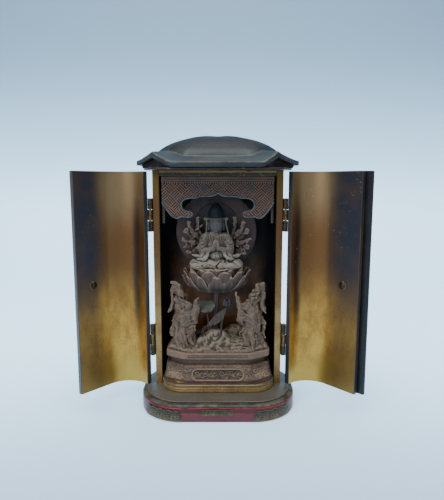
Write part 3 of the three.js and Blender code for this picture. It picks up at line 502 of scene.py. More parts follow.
moulded_block(
    "plinth_block", plinth_low, plinth_high, BODY_CORNER + 8.5,
    [(0.5, 0), (0, 0.4), (0, 5.3), (0.16, 5.5), (0.16, 5.75), (0.04, 5.95), (0.04, 8.9), (0.2, 9.2),
     (0.2, 9.45), (0.7, 9.55), (0.15, 10.0), (0.1, 10.5), (0.9, 11.2), (2.2, 11.41), (3.6, 11.41)],
    red_band_finish(), ["plinth"], slot="red_lacquer",
)
moulded_block(
    "step_block", step_low, step_high, BODY_CORNER + 5.3,
    [(0.5, 0), (0.3, 0.45), (0.05, 0.6), (0, 0.75), (0.5, 1.0), (1.4, 1.1)],
    step_finish(), ["base_step"], slot="black_lacquer",
)

# %% [markdown]
# Gold leaf wears through at edges and tarnishes brown where smoke reached it. The leaf itself is a thin
# metal skin with a soft, brushed grain. The dais shows it with dark lines, where the layers of the block
# part.

# %% Gold leaf


def gold_leaf(name, bright, brown, roughness=0.36, metallic=0.55):
    """Returns a finish with its leaf colour worked out; a caller adds its own shading before the colour."""
    f = Finish(name, roughness=roughness, metallic=metallic, specular=0.25)
    grain = f.ramp(f.noise(0.5, detail=6, stretch=(1, 1, 3)), 0.25, 0.8)
    cloud = f.ramp(f.noise(6, detail=4, stretch=(1, 1, 2)), 0.3, 0.7)
    leaf = f.mix(cloud, brown, bright)
    f.leaf = f.mix(f.times(grain, 0.35), leaf, tuple(min(c * 1.9, 1) for c in bright))
    f.bump(f.noise(0.6, detail=5), 0.03)
    return f


def dais_finish():
    f = gold_leaf("dais_gold", tone(156, 128, 82), tone(114, 88, 52))
    z = f.minus(f.axis("Z"), float(dais_low[2]))
    wave = f.times(f.noise(16, detail=3, stretch=(1, 1, 1)), 1.3)
    height = f.plus(z, f.minus(wave, 0.65))
    line = f.math("ABSOLUTE", f.minus(f.math("FRACT", f.times(height, 0.62)), 0.5))
    dark = f.times(f.ramp(line, 0.11, 0.02), f.ramp(f.noise(3, detail=3), 0.3, 0.6))
    lined = f.mix(dark, f.leaf, tone(66, 48, 30))
    rim = f.ramp(z, 4.3, 4.7)
    f.colour(f.mix(rim, lined,
                   f.mix(f.ramp(f.noise(2, detail=4), 0.3, 0.7), tone(120, 104, 78), tone(98, 86, 70))))
    return f.material


moulded_block(
    "dais_block", dais_low, dais_high, 15.0,
    [(0.6, 0), (0.25, 0.3), (0.2, 1.3), (0.34, 1.45), (0.2, 1.6), (0.22, 2.9), (0.36, 3.05), (0.22, 3.2),
     (0.24, 4.1), (0.02, 4.35), (0.0, 5.0), (0.5, 5.5), (1.6, 5.6)],
    dais_finish(), ["dais"], slot="aged_gold",
)

# %% [markdown]
# The cabinet's wall is one bent board. Its plan is half of the same rounded rectangle, cut at the hinge
# line, with the inside offset by the wall's thickness. The plan is a closed loop carried straight up, and
# each stretch of the loop gets its own finish: black outside, gilded front edges, dark inside.

# %% Wall loops


def wall_path(half_width, half_depth, corner, start_y):
    """Points and outward directions from (half_width, start_y) back round to (-half_width, start_y)."""
    cx, cy = half_width - corner, half_depth - corner
    side = np.linspace(start_y, cy, 8)[:-1]
    angle = np.linspace(0, np.pi / 2, 26)
    back = np.linspace(cx, 0, 12)[1:]
    right = np.concatenate([
        np.stack([np.full_like(side, half_width), side], -1),
        np.stack([cx + corner * np.cos(angle), cy + corner * np.sin(angle)], -1),
        np.stack([back, np.full_like(back, half_depth)], -1),
    ])
    outward = np.concatenate([
        np.tile([1.0, 0.0], (len(side), 1)),
        np.stack([np.cos(angle), np.sin(angle)], -1),
        np.tile([0.0, 1.0], (len(back), 1)),
    ])
    flip = np.array([-1.0, 1.0])
    return np.concatenate([right, right[-2::-1] * flip]), np.concatenate([outward, outward[-2::-1] * flip])


def wall_loop(path, outward, thickness, ease=0.35):
    """A closed plan loop of a wall: outer face, eased end, inner face, eased end, and which is which."""
    inner = path - outward * thickness
    start, end = path[0] - path[1], path[-1] - path[-2]
    start, end = start / np.linalg.norm(start), end / np.linalg.norm(end)
    outer = path.copy()
    outer[0] -= start * ease
    outer[-1] -= end * ease
    inner[0] -= start * ease
    inner[-1] -= end * ease
    cap = lambda p, n: np.array([p - n * ease, p - n * thickness / 2, p - n * (thickness - ease)])
    far = cap(path[-1], outward[-1])
    near = cap(path[0], outward[0])[::-1]
    loop = np.concatenate([outer, far, inner[::-1], near])
    kind = np.concatenate([np.zeros(len(outer) - 1), np.full(4, 1), np.full(len(inner) - 1, 2),
                           np.full(4, 3)])
    return loop, kind.astype(int)


def upright(name, loop, heights, finish, kinds, **more):
    """A plan loop carried up through heights and closed by a strip at each end, where wall meets wall."""
    rows, cols = len(heights), len(loop)
    points = np.concatenate([np.tile(loop, (rows, 1)), np.repeat(heights, cols)[:, None]], -1)
    quads = grid_quads(rows, cols, wrap_cols=True)
    half = np.arange((cols - 1) // 2)
    strip = np.stack([half, (cols - half) % cols, (cols - half - 1) % cols, half + 1], -1)
    top = strip[:, ::-1] + (rows - 1) * cols
    number = np.concatenate([np.tile(kinds, rows - 1), np.zeros(2 * len(strip), int)])
    return make_piece(name, points, np.concatenate([quads, strip, top]), finish, finish_numbers=number,
                      **more)


print("wall path points:", len(wall_path(body_half_width, body_half_depth, BODY_CORNER, door_plane)[0]))

# %% [markdown]
# Inside, the walls are black. On the back panel, painted light makes the gold glow amber low down and in the
# middle, and painted shade turns it black above and at the sides. The finish fades between the two with
# smooth steps on the X and Z coordinates.

# %% Posts and interior


def post_finish():
    """Gold leaf on the front edges: ochre near the floor, red-brown above, black specks throughout."""
    f = gold_leaf("post_gold", tone(152, 120, 74), tone(116, 84, 52), metallic=0.75)
    z = f.axis("Z")
    aged = f.mix(f.ramp(z, 60, 105), f.leaf,
                 f.mix(f.ramp(f.noise(9, stretch=(1, 1, 3)), 0.3, 0.7), tone(96, 66, 46), tone(114, 82, 50)))
    top = f.mix(f.ramp(z, 128, 150), aged, tone(112, 86, 46))
    specks = f.ramp(f.noise(0.9, detail=4, stretch=(1, 1, 2)), 0.62, 0.7)
    f.colour(f.mix(f.times(specks, 0.75), top, tone(58, 46, 38)))
    return f.material


def interior_finish():
    """Black with a blue cast on the sides; on the back, a painted amber glow in the middle that fades upward
    into painted shade.
    """
    f = Finish("interior_gold_and_painted_shade", roughness=0.45, metallic=0.0)
    x = f.math("ABSOLUTE", f.axis("X"))
    z = f.axis("Z")
    y = f.axis("Y")
    wobble = f.times(f.minus(f.noise(22, detail=3), 0.5), 22)
    # Painted light and shade: the back's gold shows only low down and in the middle, and is black elsewhere.
    middle = f.ramp(f.plus(x, wobble), 22, 35, 1, 0)
    low = f.ramp(f.plus(z, wobble), 62, 118, 1, 0)
    deep = f.ramp(y, 12, 20)
    share = f.times(f.times(middle, low), deep)
    amber = f.mix(f.ramp(f.noise(7, detail=4), 0.3, 0.7), tone(80, 46, 13), tone(116, 72, 20))
    black = f.mix(f.ramp(f.noise(12), 0.4, 0.7), tone(7, 8, 12), tone(15, 14, 16))
    f.colour(f.mix(share, black, amber))
    f.bump(f.noise(1.5, detail=3), 0.04)
    return f.material


post_gold = post_finish()
interior = interior_finish()
path, outward = wall_path(body_half_width, body_half_depth, BODY_CORNER, door_plane)
loop, kinds = wall_loop(path, outward, WALL)
heights = np.array([shell_low[2], shell_low[2] + 0.2, 60, 110, shell_high[2] - 0.2, shell_high[2]])
upright("cabinet_wall", loop, heights, [outer_lacquer, post_gold, interior, post_gold], kinds,
        stands_for=["cabinet_shell"], slot="black_lacquer")

# %% [markdown]
# The two doors finish the rounded rectangle. Each is the same kind of loop, made closed and then turned
# about its hinge line to where it stands open. Its gilding is partly tarnished by incense smoke and partly
# painted with a reflection of dark surroundings: bright at the foot, brown in the middle and nearly black at
# the upper outer side, with a dark band beside the hinge.

# %% The doors' finish


def door_gold(name, dark_from, dark_top, band_at, fleck_share):
    """Leaf over brown, with tarnish and painted reflection laid by 'across' (mm from the hinge edge) and
    height, in smooth steps and noise.
    """
    f = gold_leaf(name, tone(186, 142, 66), tone(142, 98, 46), roughness=0.36, metallic=0.8)
    across = f.attribute("across")
    z = f.axis("Z")
    wobble = f.times(f.minus(f.noise(18, detail=3, stretch=(1, 1, 3)), 0.5), 9)
    place = f.plus(across, wobble)
    rise = f.plus(z, f.times(wobble, 2.5))
    # Painted reflection with tarnish: bright at the foot, browner up the middle, by height.
    foot = f.mix(f.ramp(rise, 12, 44), tone(176, 140, 66), f.leaf)
    middle = f.mix(f.ramp(rise, 50, 100), foot, tone(118, 82, 48))
    middle = f.mix(f.ramp(rise, 112, 150), middle, tone(146, 120, 86))
    # Painted reflection over tarnish: the upper outer side turns nearly black and cool grey, as dark
    # surroundings mirrored in the leaf.
    edge = f.ramp(place, dark_from, dark_from + 13)
    climb = f.ramp(rise, 52, dark_top)
    smoke_and_painted_reflection = f.times(edge, f.times(climb, 0.97))
    brown_edge = f.times(edge, 0.62)
    tarnish_and_reflection = f.mix(brown_edge, middle, tone(82, 56, 38))
    tarnish_and_reflection = f.mix(smoke_and_painted_reflection, tarnish_and_reflection, f.mix(f.ramp(f.noise(13), 0.35, 0.65), tone(56, 56, 63), tone(74, 63, 60)))
    # The dark band beside the hinge is likewise partly tarnish and partly painted reflection.
    band = f.times(f.ramp(place, band_at - 5, band_at), f.ramp(place, band_at + 1, band_at + 6, 1, 0))
    band = f.times(f.times(band, f.ramp(z, 34, 74)), f.ramp(z, 150, 118))
    banded = f.mix(f.times(band, 0.85), tarnish_and_reflection, tone(62, 50, 44))
    fleck = f.times(f.ramp(f.noise(1.5, detail=3, shift=2.0), 0.655, 0.68), f.ramp(z, 70, 120))
    fleck = f.times(f.times(fleck, f.ramp(f.noise(17, shift=5.0), 0.47, 0.6)), fleck_share)
    flecked = f.mix(fleck, banded, tone(176, 142, 74))
    pit = f.ramp(f.noise(1.1, detail=1, shift=4.0), 0.76, 0.79)
    f.colour(f.mix(pit, flecked, tone(60, 42, 26)))
    f.rough(f.ramp(smoke_and_painted_reflection, 0, 1, 0.34, 0.42))
    return f.material


def door_edge_finish():
    """The doors' narrow ends: dark lacquer with a worn gold arris."""
    f = Finish("door_edge_lacquer", roughness=0.35)
    worn = f.ramp(f.noise(8, detail=4, stretch=(1, 1, 4)), 0.4, 0.6)
    f.colour(f.mix(worn, tone(38, 40, 40), tone(66, 52, 40)))
    f.bump(f.noise(1.0, detail=4), 0.03)
    return f.material


print("door finish ready, edges of lacquer")

# %% [markdown]
# A door could be modelled open, but it is simpler to draw it closed, where it completes the body's outline,
# and then to turn its points about the hinge line. The same turn serves everything that rides on the door.

# %% The doors


def turned(points, body, angle):
    """Turns points about a door's hinge line by an angle in degrees, counter-clockwise from above."""
    pivot = door_hinge[body][:2]
    c, s = math.cos(math.radians(angle)), math.sin(math.radians(angle))
    moved = np.array(points, float)
    rel = moved[..., :2] - pivot
    moved[..., 0] = pivot[0] + c * rel[..., 0] - s * rel[..., 1]
    moved[..., 1] = pivot[1] + s * rel[..., 0] + c * rel[..., 1]
    return moved


DOOR_SIDE_GAP = 0.4
DOOR_CENTRE_GAP = 0.2
door_low_z, door_high_z = node_box("left_door")[0][2], node_box("left_door")[1][2]


def door_path(sign):
    """Outer face of a closed door from its hinge edge to its free edge, with outward directions."""
    cx, cy = body_half_width - BODY_CORNER, BODY_CORNER - body_half_depth
    side = np.array([door_plane - DOOR_SIDE_GAP, (door_plane + cy) / 2])
    angle = np.linspace(0, -np.pi / 2, 34)
    front = np.linspace(cx, DOOR_CENTRE_GAP, 18)[1:]
    points = np.concatenate([
        np.stack([np.full_like(side, body_half_width), side], -1),
        np.stack([cx + BODY_CORNER * np.cos(angle), cy + BODY_CORNER * np.sin(angle)], -1),
        np.stack([front, np.full_like(front, -body_half_depth)], -1),
    ])
    out = np.concatenate([
        np.tile([1.0, 0.0], (len(side), 1)),
        np.stack([np.cos(angle), np.sin(angle)], -1),
        np.tile([0.0, -1.0], (len(front), 1)),
    ])
    return points * [sign, 1], out * [sign, 1]


door_edge = door_edge_finish()
for side, sign, gold in [
    ("left", -1, door_gold("left_door_gold", 33, 108, 8, 0.25)),
    ("right", 1, door_gold("right_door_gold", 30, 112, 6, 1.0)),
]:
    body = f"{side}_door"
    path, outward = door_path(sign)
    loop, kinds = wall_loop(path, outward, DOOR_WALL)
    steps = np.concatenate([[0], np.cumsum(np.linalg.norm(np.diff(path, axis=0), axis=1))])
    across = np.concatenate([steps, np.full(3, steps[-1]), steps[::-1], np.zeros(3)])
    if sign > 0:
        loop, kinds, across = loop[::-1], np.roll(kinds[::-1], -1), across[::-1]
    heights = np.array([door_low_z, door_low_z + 0.25, 50, 90, 130, door_high_z - 0.25, door_high_z])
    piece = upright(f"{side}_door_panel", turned(loop, body, -open_angle[body]), heights,
                    [outer_lacquer, door_edge, gold, door_edge], kinds, body=body, stands_for=[body],
                    slot="aged_gold", attributes={"across": np.tile(across, len(heights))})

# %% [markdown]
# The floor and the backdrop are one pale sheet that sweeps up behind the cabinet. Its colour carries painted
# light: blue grey and darker at the top and nearly white behind the plinth, as a paper sweep looks under one
# large soft light, with a painted glow where the sheet starts to climb.

# %% Floor and light


def sweep_finish():
    """Pale blue-grey with painted light: nearly white behind the plinth, darker at the top, and a painted
    glow where the sheet starts to climb.
    """
    f = Finish("paper_sweep", roughness=0.7)
    up = f.plus(f.axis("Y"), f.times(f.axis("Z"), 0.6))
    # Painted light: bluer in front, nearly white behind the plinth, darker where the sheet climbs to the top.
    low = f.mix(f.ramp(up, -140, 60), tone(174, 200, 226), tone(214, 238, 255))
    f.colour(f.mix(f.ramp(up, 640, 960), low, tone(132, 156, 178)))
    # A painted glow: the sheet emits light where it starts to climb.
    f.plug(f.shader.inputs["Emission Color"], (0.42, 0.76, 1.0))
    painted_glow = f.times(f.ramp(up, -220, 160), f.ramp(up, 700, 1020, 1, 0))
    f.plug(f.shader.inputs["Emission Strength"], f.times(painted_glow, 1.2))
    return f.material


def paper_sweep():
    """A profile in Y and Z (flat, quarter circle, upright) carried straight along X."""
    turn = np.linspace(-np.pi / 2, 0, 20)
    y = np.concatenate([[-500], 450 + 250 * np.cos(turn), [700]])
    z = np.concatenate([[0], 250 + 250 * np.sin(turn), [1200]])
    x = np.linspace(-1500, 1500, 5)
    points = np.stack([np.tile(x, len(y)), np.repeat(y, len(x)), np.repeat(z, len(x))], -1)
    mesh = bpy.data.meshes.new("paper_sweep")
    mesh.from_pydata((points * MM).tolist(), [], grid_quads(len(y), len(x)).tolist())
    mesh.polygons.foreach_set("use_smooth", np.ones(len(mesh.polygons), bool))
    mesh.materials.append(sweep_finish())
    sheet = bpy.data.objects.new("paper_sweep", mesh)
    bpy.context.scene.collection.objects.link(sheet)
    sheet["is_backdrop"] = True


def soft_light(name, place, aim, width, height, watts, colour=(1, 1, 1)):
    """A rectangular light at place (m) that faces the point aim."""
    data = bpy.data.lights.new(name, "AREA")
    data.shape, data.size, data.size_y = "RECTANGLE", width, height
    data.energy, data.color = watts, colour
    light = bpy.data.objects.new(name, data)
    light.location = place
    way = np.array(aim, float) - place
    pitch = math.atan2(math.hypot(way[0], way[1]), -way[2])
    light.rotation_euler = (pitch, 0, math.atan2(-way[0], way[1]))
    bpy.context.scene.collection.objects.link(light)


paper_sweep()
soft_light("ceiling_light", (0.0, -0.1, 1.1), (0, 0.05, 0), 1.0, 0.8, 16.5, (0.96, 0.985, 1.0))
soft_light("window_light", (-0.5, -0.9, 0.7), (0, 0, 0.1), 0.7, 0.7, 8, (0.95, 0.98, 1.0))
world = bpy.data.worlds.new("pale_room")
world.use_nodes = True
world.node_tree.nodes["Background"].inputs["Color"].default_value = (0.72, 0.82, 0.92, 1)
world.node_tree.nodes["Background"].inputs["Strength"].default_value = 0.62
bpy.context.scene.world = world

# %% [markdown]
# The roof is carved from one block. Its rim is a rectangle with long cut corners, and each cut corner rises
# to a peak like a small gable. The skirt climbs from the rim to a crease, and the dome swells above it.
# Rings of points carry all of this: a ring is a share of the rim's plan, and the peaks fade from ring to
# ring.

# %% The roof's rim
ROOF_FRONT_STRAIGHT = 27.5
ROOF_SIDE_STRAIGHT = 5.0
RIM_THICKNESS = 3.2
PEAK = 6.6
CREASE_HEIGHT = 7.0
CREASE_PEAK = 3.8
CREASE_SIDE = 2.6
SIDE_RISE = 1.7
DOME_HEIGHT = 13.6
roof_half = (roof_high - roof_low)[:2] / 2


def cut_corner(peak_at, steps=36):
    """One cut corner, t from 0 in front to 1 at the side: its peak share climbs to 1 at peak_at and falls."""
    t = np.linspace(0, 1, steps + 1)
    climb = np.minimum(t / peak_at, (1 - t) / (1 - peak_at)) ** 1.25
    plan = np.array([ROOF_FRONT_STRAIGHT, roof_half[1]]) + t[:, None] * np.array(
        [roof_half[0] - ROOF_FRONT_STRAIGHT, ROOF_SIDE_STRAIGHT - roof_half[1]])
    return np.column_stack([plan + 0.45 * np.sin(np.pi * t)[:, None], climb])


def roof_rim(front_steps=14, side_steps=6):
    """Plan points with a peak share, 0 on the straights. The right front peak was set nearer the front."""
    corner = cut_corner(0.5)
    front = np.linspace(-ROOF_FRONT_STRAIGHT, ROOF_FRONT_STRAIGHT, front_steps + 2)[1:-1]
    front = np.stack([front, np.full_like(front, roof_half[1]), np.zeros_like(front)], -1)
    side = np.linspace(ROOF_SIDE_STRAIGHT, -ROOF_SIDE_STRAIGHT, side_steps + 2)[1:-1]
    side = np.stack([np.full_like(side, roof_half[0]), side, np.zeros_like(side)], -1)
    east = np.concatenate([corner, side, cut_corner(0.36)[::-1] * [1, -1, 1], front[::-1] * [1, -1, 1]])
    west = np.concatenate([corner, side, corner[::-1] * [1, -1, 1], front[::-1] * [1, -1, 1]])
    return np.concatenate([east, west * [-1, -1, 1]])[::-1]


rim = roof_rim()
print("rim points:", len(rim), "highest peak share:", rim[:, 2].max())

# %% [markdown]
# Each ring of the roof is the rim's plan, drawn in by a share and lifted. Eleven rings make the soffit and
# the thick rim, fourteen the concave skirt up to the crease, and the rest follow an arc of 20 to 88
# degrees, while the plan eases from the cut-corner outline into an oval.

# %% Roof rings from the rim to the dome's crown


def roof_rings(rim):
    """Rings (level, point, xyz), with a wear value for each level."""
    creased = np.array([body_half_width - 3.2, body_half_depth - 3.0]) / roof_half
    base = roof_low[2]
    side_rise = SIDE_RISE * np.clip((np.abs(rim[:, 0]) - 40) / (roof_half[0] - 40), 0, 1)
    side_lift = CREASE_SIDE * np.abs(rim[:, 0] / roof_half[0]) ** 5 * (1 - rim[:, 2])
    rows, wear = [], []

    def ring(share, height, peak_share, worn):
        rise = height + peak_share * rim[:, 2] + side_rise * min(1, max(0, share - 0.925) / 0.02)
        rows.append(np.column_stack([rim[:, :2] * share, base + rise]))
        wear.append(worn)

    for share, height, lift, worn in [
        (0.80, 0.0, 0.0, -1), (0.925, 0.0, 0.0, -1), (0.932, 0.15, PEAK * 0.7, -1),
        (0.945, 0.12, PEAK * 0.86, -1),
        (0.985, 0.05, PEAK * 0.88, -1), (0.994, 0.12, PEAK * 0.895, -0.4), (0.999, 0.5, PEAK * 0.92, 0.2),
        (1.0, RIM_THICKNESS * 0.5, PEAK * 0.96, 0), (0.999, RIM_THICKNESS * 0.82, PEAK * 0.99, 0.7),
        (0.993, RIM_THICKNESS * 0.97, PEAK, 1), (0.983, RIM_THICKNESS, PEAK, 0.5),
    ]:
        ring(share, height, lift, worn)
    for t in np.linspace(0.06, 1, 14):
        plan = rim[:, :2] * (0.983 + (creased - 0.983) * t)
        foot = RIM_THICKNESS + PEAK * rim[:, 2] + side_rise
        crest = CREASE_HEIGHT + CREASE_PEAK * rim[:, 2] ** 0.8 + side_lift
        rows.append(np.column_stack([plan, base + foot + (crest - foot) * t**1.5]))
        wear.append(1 if t == 1 else 0)
    start = math.radians(20)
    turn = np.arctan2(rim[:, 1] / roof_half[1], rim[:, 0] / roof_half[0])
    oval = np.stack([np.cos(turn), np.sin(turn)], -1) * roof_half * creased
    for angle in np.radians(np.concatenate([[20.6, 22, 24.5], np.linspace(28, 88, 20)])):
        share = math.cos(angle) / math.cos(start)
        height = (math.sin(angle) - math.sin(start)) / (1 - math.sin(start))
        round_off = max(1 - share, 0) ** 0.6
        plan = (rim[:, :2] * creased + (oval - rim[:, :2] * creased) * round_off) * share
        foot = CREASE_HEIGHT + (CREASE_PEAK * rim[:, 2] ** 0.8 + side_lift) * (1 - round_off)
        rows.append(np.column_stack([plan, base + foot + DOME_HEIGHT * height]))
        wear.append(0)
    return np.array(rows), np.array(wear, float)


rings, wear = roof_rings(rim)
print("roof rings:", len(rings), "of", rings.shape[1], "points")

# %% [markdown]
# The roof's lacquer has its own story. The dome is dusty grey-green with a dark soft band, which is black
# lacquer painted with the dark band of its reflection; the crease is worn to the tan ground, and the soffit
# underneath is brown with red scratches. The attribute "edge" tells the finish where it is: 1 on worn
# arrises, 0 on the field, below 0 underneath.

# %% The roof's finish and mesh


def roof_finish():
    """Dark lacquer in two tones, the darker a painted reflection band on the dome, dusty on the dome, worn
    along its arrises and scratched underneath.
    """
    f = Finish("roof_lacquer", roughness=0.4, specular=0.18)
    z = f.minus(f.axis("Z"), float(roof_low[2]))
    edge = f.attribute("edge")
    cloud = f.ramp(f.noise(13, detail=4, stretch=(2, 1, 1)), 0.32, 0.7)
    field = f.mix(cloud, tone(38, 42, 42), tone(56, 60, 59))
    # Painted reflection: the dome's near-black tone stands for the dark band mirrored in its gloss, over
    # black lacquer.
    dome = f.mix(f.ramp(f.noise(30, stretch=(3, 1, 1)), 0.35, 0.65), tone(5, 9, 12), tone(11, 16, 18))
    field = f.mix(f.ramp(z, 8.5, 12.5), field, dome)
    dust = f.times(f.ramp(f.noise(0.6, detail=6), 0.42, 0.8), f.ramp(z, 14, 20, 0.18, 0.3))
    field = f.mix(dust, field, tone(96, 106, 106))
    line = f.times(f.ramp(edge, 0.55, 0.95), f.ramp(f.noise(2.5, detail=4), 0.3, 0.62))
    worn = f.mix(line, field, f.mix(f.ramp(f.noise(4), 0.4, 0.6), tone(112, 104, 86), tone(92, 94, 90)))
    chip = f.times(f.ramp(f.noise(1.0, detail=2, shift=3.0), 0.66, 0.7), f.ramp(edge, 0.25, 0.8))
    worn = f.mix(chip, worn, tone(178, 140, 84))
    scratch = f.ramp(f.noise(1.5, detail=4, stretch=(3, 3, 1), shift=6.0), 0.62, 0.67)
    under = f.mix(scratch, tone(40, 30, 33), tone(128, 64, 62))
    f.colour(f.mix(f.ramp(edge, -0.15, -0.6), worn, under))
    f.rough(f.plus(f.times(dust, 0.6), f.ramp(z, 9, 13, 0.3, 0.5)))
    f.bump(f.noise(2.2, detail=4, shift=1.0), 0.05)
    return f.material


points, quads, triangles = capped(rings)
edge = np.repeat(wear, rings.shape[1])
make_piece("roof_dome", points, quads, roof_finish(), triangles=triangles, stands_for=["roof"],
           slot="black_lacquer", attributes={"edge": np.concatenate([edge, [-1, 0]])}, sharp=50)

# %% [markdown]
# Between roof and wall lies a thin board. Only its edge shows: a bright gold line, chipped here and there.

# %% Roof board and rail


def board_finish():
    """Dark maroon lacquer with a few glimpses of gold."""
    f = Finish("board_edge_lacquer", roughness=0.4)
    worn = f.ramp(f.noise(3.0, detail=4, stretch=(3, 3, 1)), 0.58, 0.66)
    f.colour(f.mix(worn, tone(42, 34, 36), tone(128, 96, 56)))
    return f.material


def rail_finish():
    """Dark lacquer with ochre specks, under a worn gold line along the top."""
    f = Finish("rail_lacquer", roughness=0.35)
    z = f.minus(f.axis("Z"), float(rail_high[2]))
    specks = f.ramp(f.noise(0.8, detail=3, stretch=(2, 1, 1)), 0.6, 0.66)
    face = f.mix(specks, tone(44, 34, 28), tone(140, 106, 58))
    line = f.times(f.ramp(z, -1.7, -1.3), f.ramp(f.noise(2.5, detail=4, stretch=(4, 1, 1)), 0.34, 0.5))
    f.colour(f.mix(f.times(line, 0.85), face, tone(160, 122, 62)))
    f.bump(f.noise(1.0), 0.03)
    return f.material


moulded_block("roof_board_edge", board_low, board_high, BODY_CORNER + 4.5,
              [(1.0, 0), (0.15, 0.05), (0, 0.3), (0, 0.9), (0.15, 1.15), (1.0, 1.2)],
              board_finish(), ["roof_board"], slot="black_lacquer")


def beaded_bar(name, low, high, ease, finish, stands_for, **more):
    """A bar along X whose section in Y and Z is a rectangle with rounded edges."""
    turn = np.linspace(0, np.pi / 2, 5)
    middle, half = (low + high)[1:] / 2, (high - low)[1:] / 2
    section = np.concatenate([
        np.stack([s[0] * (half[0] - ease) + ease * np.cos(turn + a),
                  s[1] * (half[1] - ease) + ease * np.sin(turn + a)], -1)
        for a, s in zip(np.arange(4) * np.pi / 2, [(1, 1), (-1, 1), (-1, -1), (1, -1)])
    ]) + middle
    x = np.array([low[0], low[0] + 0.01, *np.linspace(low[0] + ease, high[0] - ease, 12), high[0] - 0.01,
                  high[0]])
    shrink = np.ones(len(x))
    shrink[[0, -1]] = 1 - ease / half.max()
    rings = np.stack([
        np.repeat(x[:, None], len(section), 1),
        middle[0] + (section[None, :, 0] - middle[0]) * shrink[:, None],
        middle[1] + (section[None, :, 1] - middle[1]) * shrink[:, None],
    ], -1)
    points, quads, triangles = capped(rings)
    return make_piece(name, points, quads, finish, triangles=triangles, stands_for=stands_for, **more)


beaded_bar("rail_bar", rail_low, rail_high, 0.3, rail_finish(), ["top_rail"], slot="black_lacquer")

# %% [markdown]
# Bronze mounts, studs and hinges are small, dark and rubbed bright at their edges. They are turned or cut
# from plate. One patina serves all of them: near black in the field, warm brown where hands reach.

# %% Dark bronze


def bronze(name, dark, warm, rub=0.5):
    """Patina between dark and warm, rubbed to yellow by the share rub where the attribute "edge" is high."""
    f = Finish(name, roughness=0.38, metallic=0.75)
    patina = f.ramp(f.noise(2.2, detail=5), 0.32, 0.7)
    worn = f.times(f.ramp(f.attribute("edge"), 0.3, 0.95), f.ramp(f.noise(1.2, detail=3), 0.3, 0.6))
    f.colour(f.mix(f.times(worn, rub), f.mix(patina, dark, warm), tone(186, 158, 104)))
    f.rough(f.plus(f.times(patina, 0.2), 0.3))
    f.bump(f.noise(0.7, detail=4), 0.03)
    return f.material


dark_bronze = bronze("dark_bronze", tone(38, 32, 26), tone(76, 60, 42), rub=0.35)
rubbed_bronze = bronze("rubbed_bronze", tone(52, 42, 30), tone(104, 80, 48), rub=0.6)
print("bronzes:", dark_bronze.name, rubbed_bronze.name)

# %% [markdown]
# A stud is a small turned knob. Any turned form is a profile of radius and height spun about an axis, so a
# short list of points gives its flange, its groove and its dome.

# %% Studs on the doors' inner faces


def spun(profile, centre, axis, steps=32):
    """Rings of a turned form: profile (radius, height) spun about an axis through centre."""
    axis = np.array(axis, float) / np.linalg.norm(axis)
    across = np.cross(axis, [0, 0, 1.0] if abs(axis[2]) < 0.9 else [1.0, 0, 0])
    across /= np.linalg.norm(across)
    other = np.cross(axis, across)
    turn = np.linspace(0, 2 * np.pi, steps, endpoint=False)
    circle = np.cos(turn)[:, None] * across + np.sin(turn)[:, None] * other
    radius, height = np.array(profile, float).T
    return np.array(centre) + radius[:, None, None] * circle[None] + height[:, None, None] * axis


STUD_FROM_EDGE = 12.0
stud_profile = [(2.7, 0), (2.85, 0.05), (2.85, 0.22), (2.7, 0.36), (2.5, 0.34), (2.4, 0.4), (2.1, 0.75),
                (1.5, 1.05), (0.7, 1.22), (0.3, 1.29), (0.05, 1.3)]
for side, sign in [("left", -1), ("right", 1)]:
    body = f"{side}_door"
    low, high = node_box(f"{body}_stud")
    centre = [sign * STUD_FROM_EDGE, DOOR_WALL - body_half_depth + 0.1, (low[2] + high[2]) / 2]
    rings = turned(spun(stud_profile, centre, (0, 1, 0)), body, -open_angle[body])
    points, quads, triangles = capped(rings)
    ring_wear = np.repeat([0.2, 1, 1, 1, 0.4, 0, 0, 0, 0, 0, 0.3], rings.shape[1])
    make_piece(f"{body}_stud_knob", points, quads, dark_bronze, body=body, triangles=triangles,
               stands_for=[f"{body}_stud"], slot="dark_bronze",
               attributes={"edge": np.append(ring_wear, [0, 0])})

# %% [markdown]
# Carved figures have no profile that can be turned or swept. They are modelled like clay instead: a block
# of small cells, each of which knows its distance to the surface. Adding a form takes the smaller of two
# distances, with a soft join, and cutting takes the larger. The tool marks of the real carving come last.

# %% A block of clay


def soft_min(a, b, blend):
    """The smaller of two distances, with the join filled over blend mm: min - h^2 blend / 4."""
    if not blend:
        return np.minimum(a, b)
    h = np.clip(1 - np.abs(a - b) / blend, 0, None)
    return np.minimum(a, b) - h * h * blend / 4


def swell(x, y, z, length, seed):
    """Smooth unevenness of a hand's work: the mean of six sines with random directions and phases."""
    rng = np.random.default_rng(seed)
    total = 0
    for _ in range(6):
        way = rng.normal(size=3)
        way *= 2 * np.pi / (length * rng.uniform(0.7, 1.4) * np.linalg.norm(way))
        total = total + np.sin(way[0] * x + way[1] * y + way[2] * z + rng.uniform(0, 6.3)).astype(np.float32)
    return total / 2.4


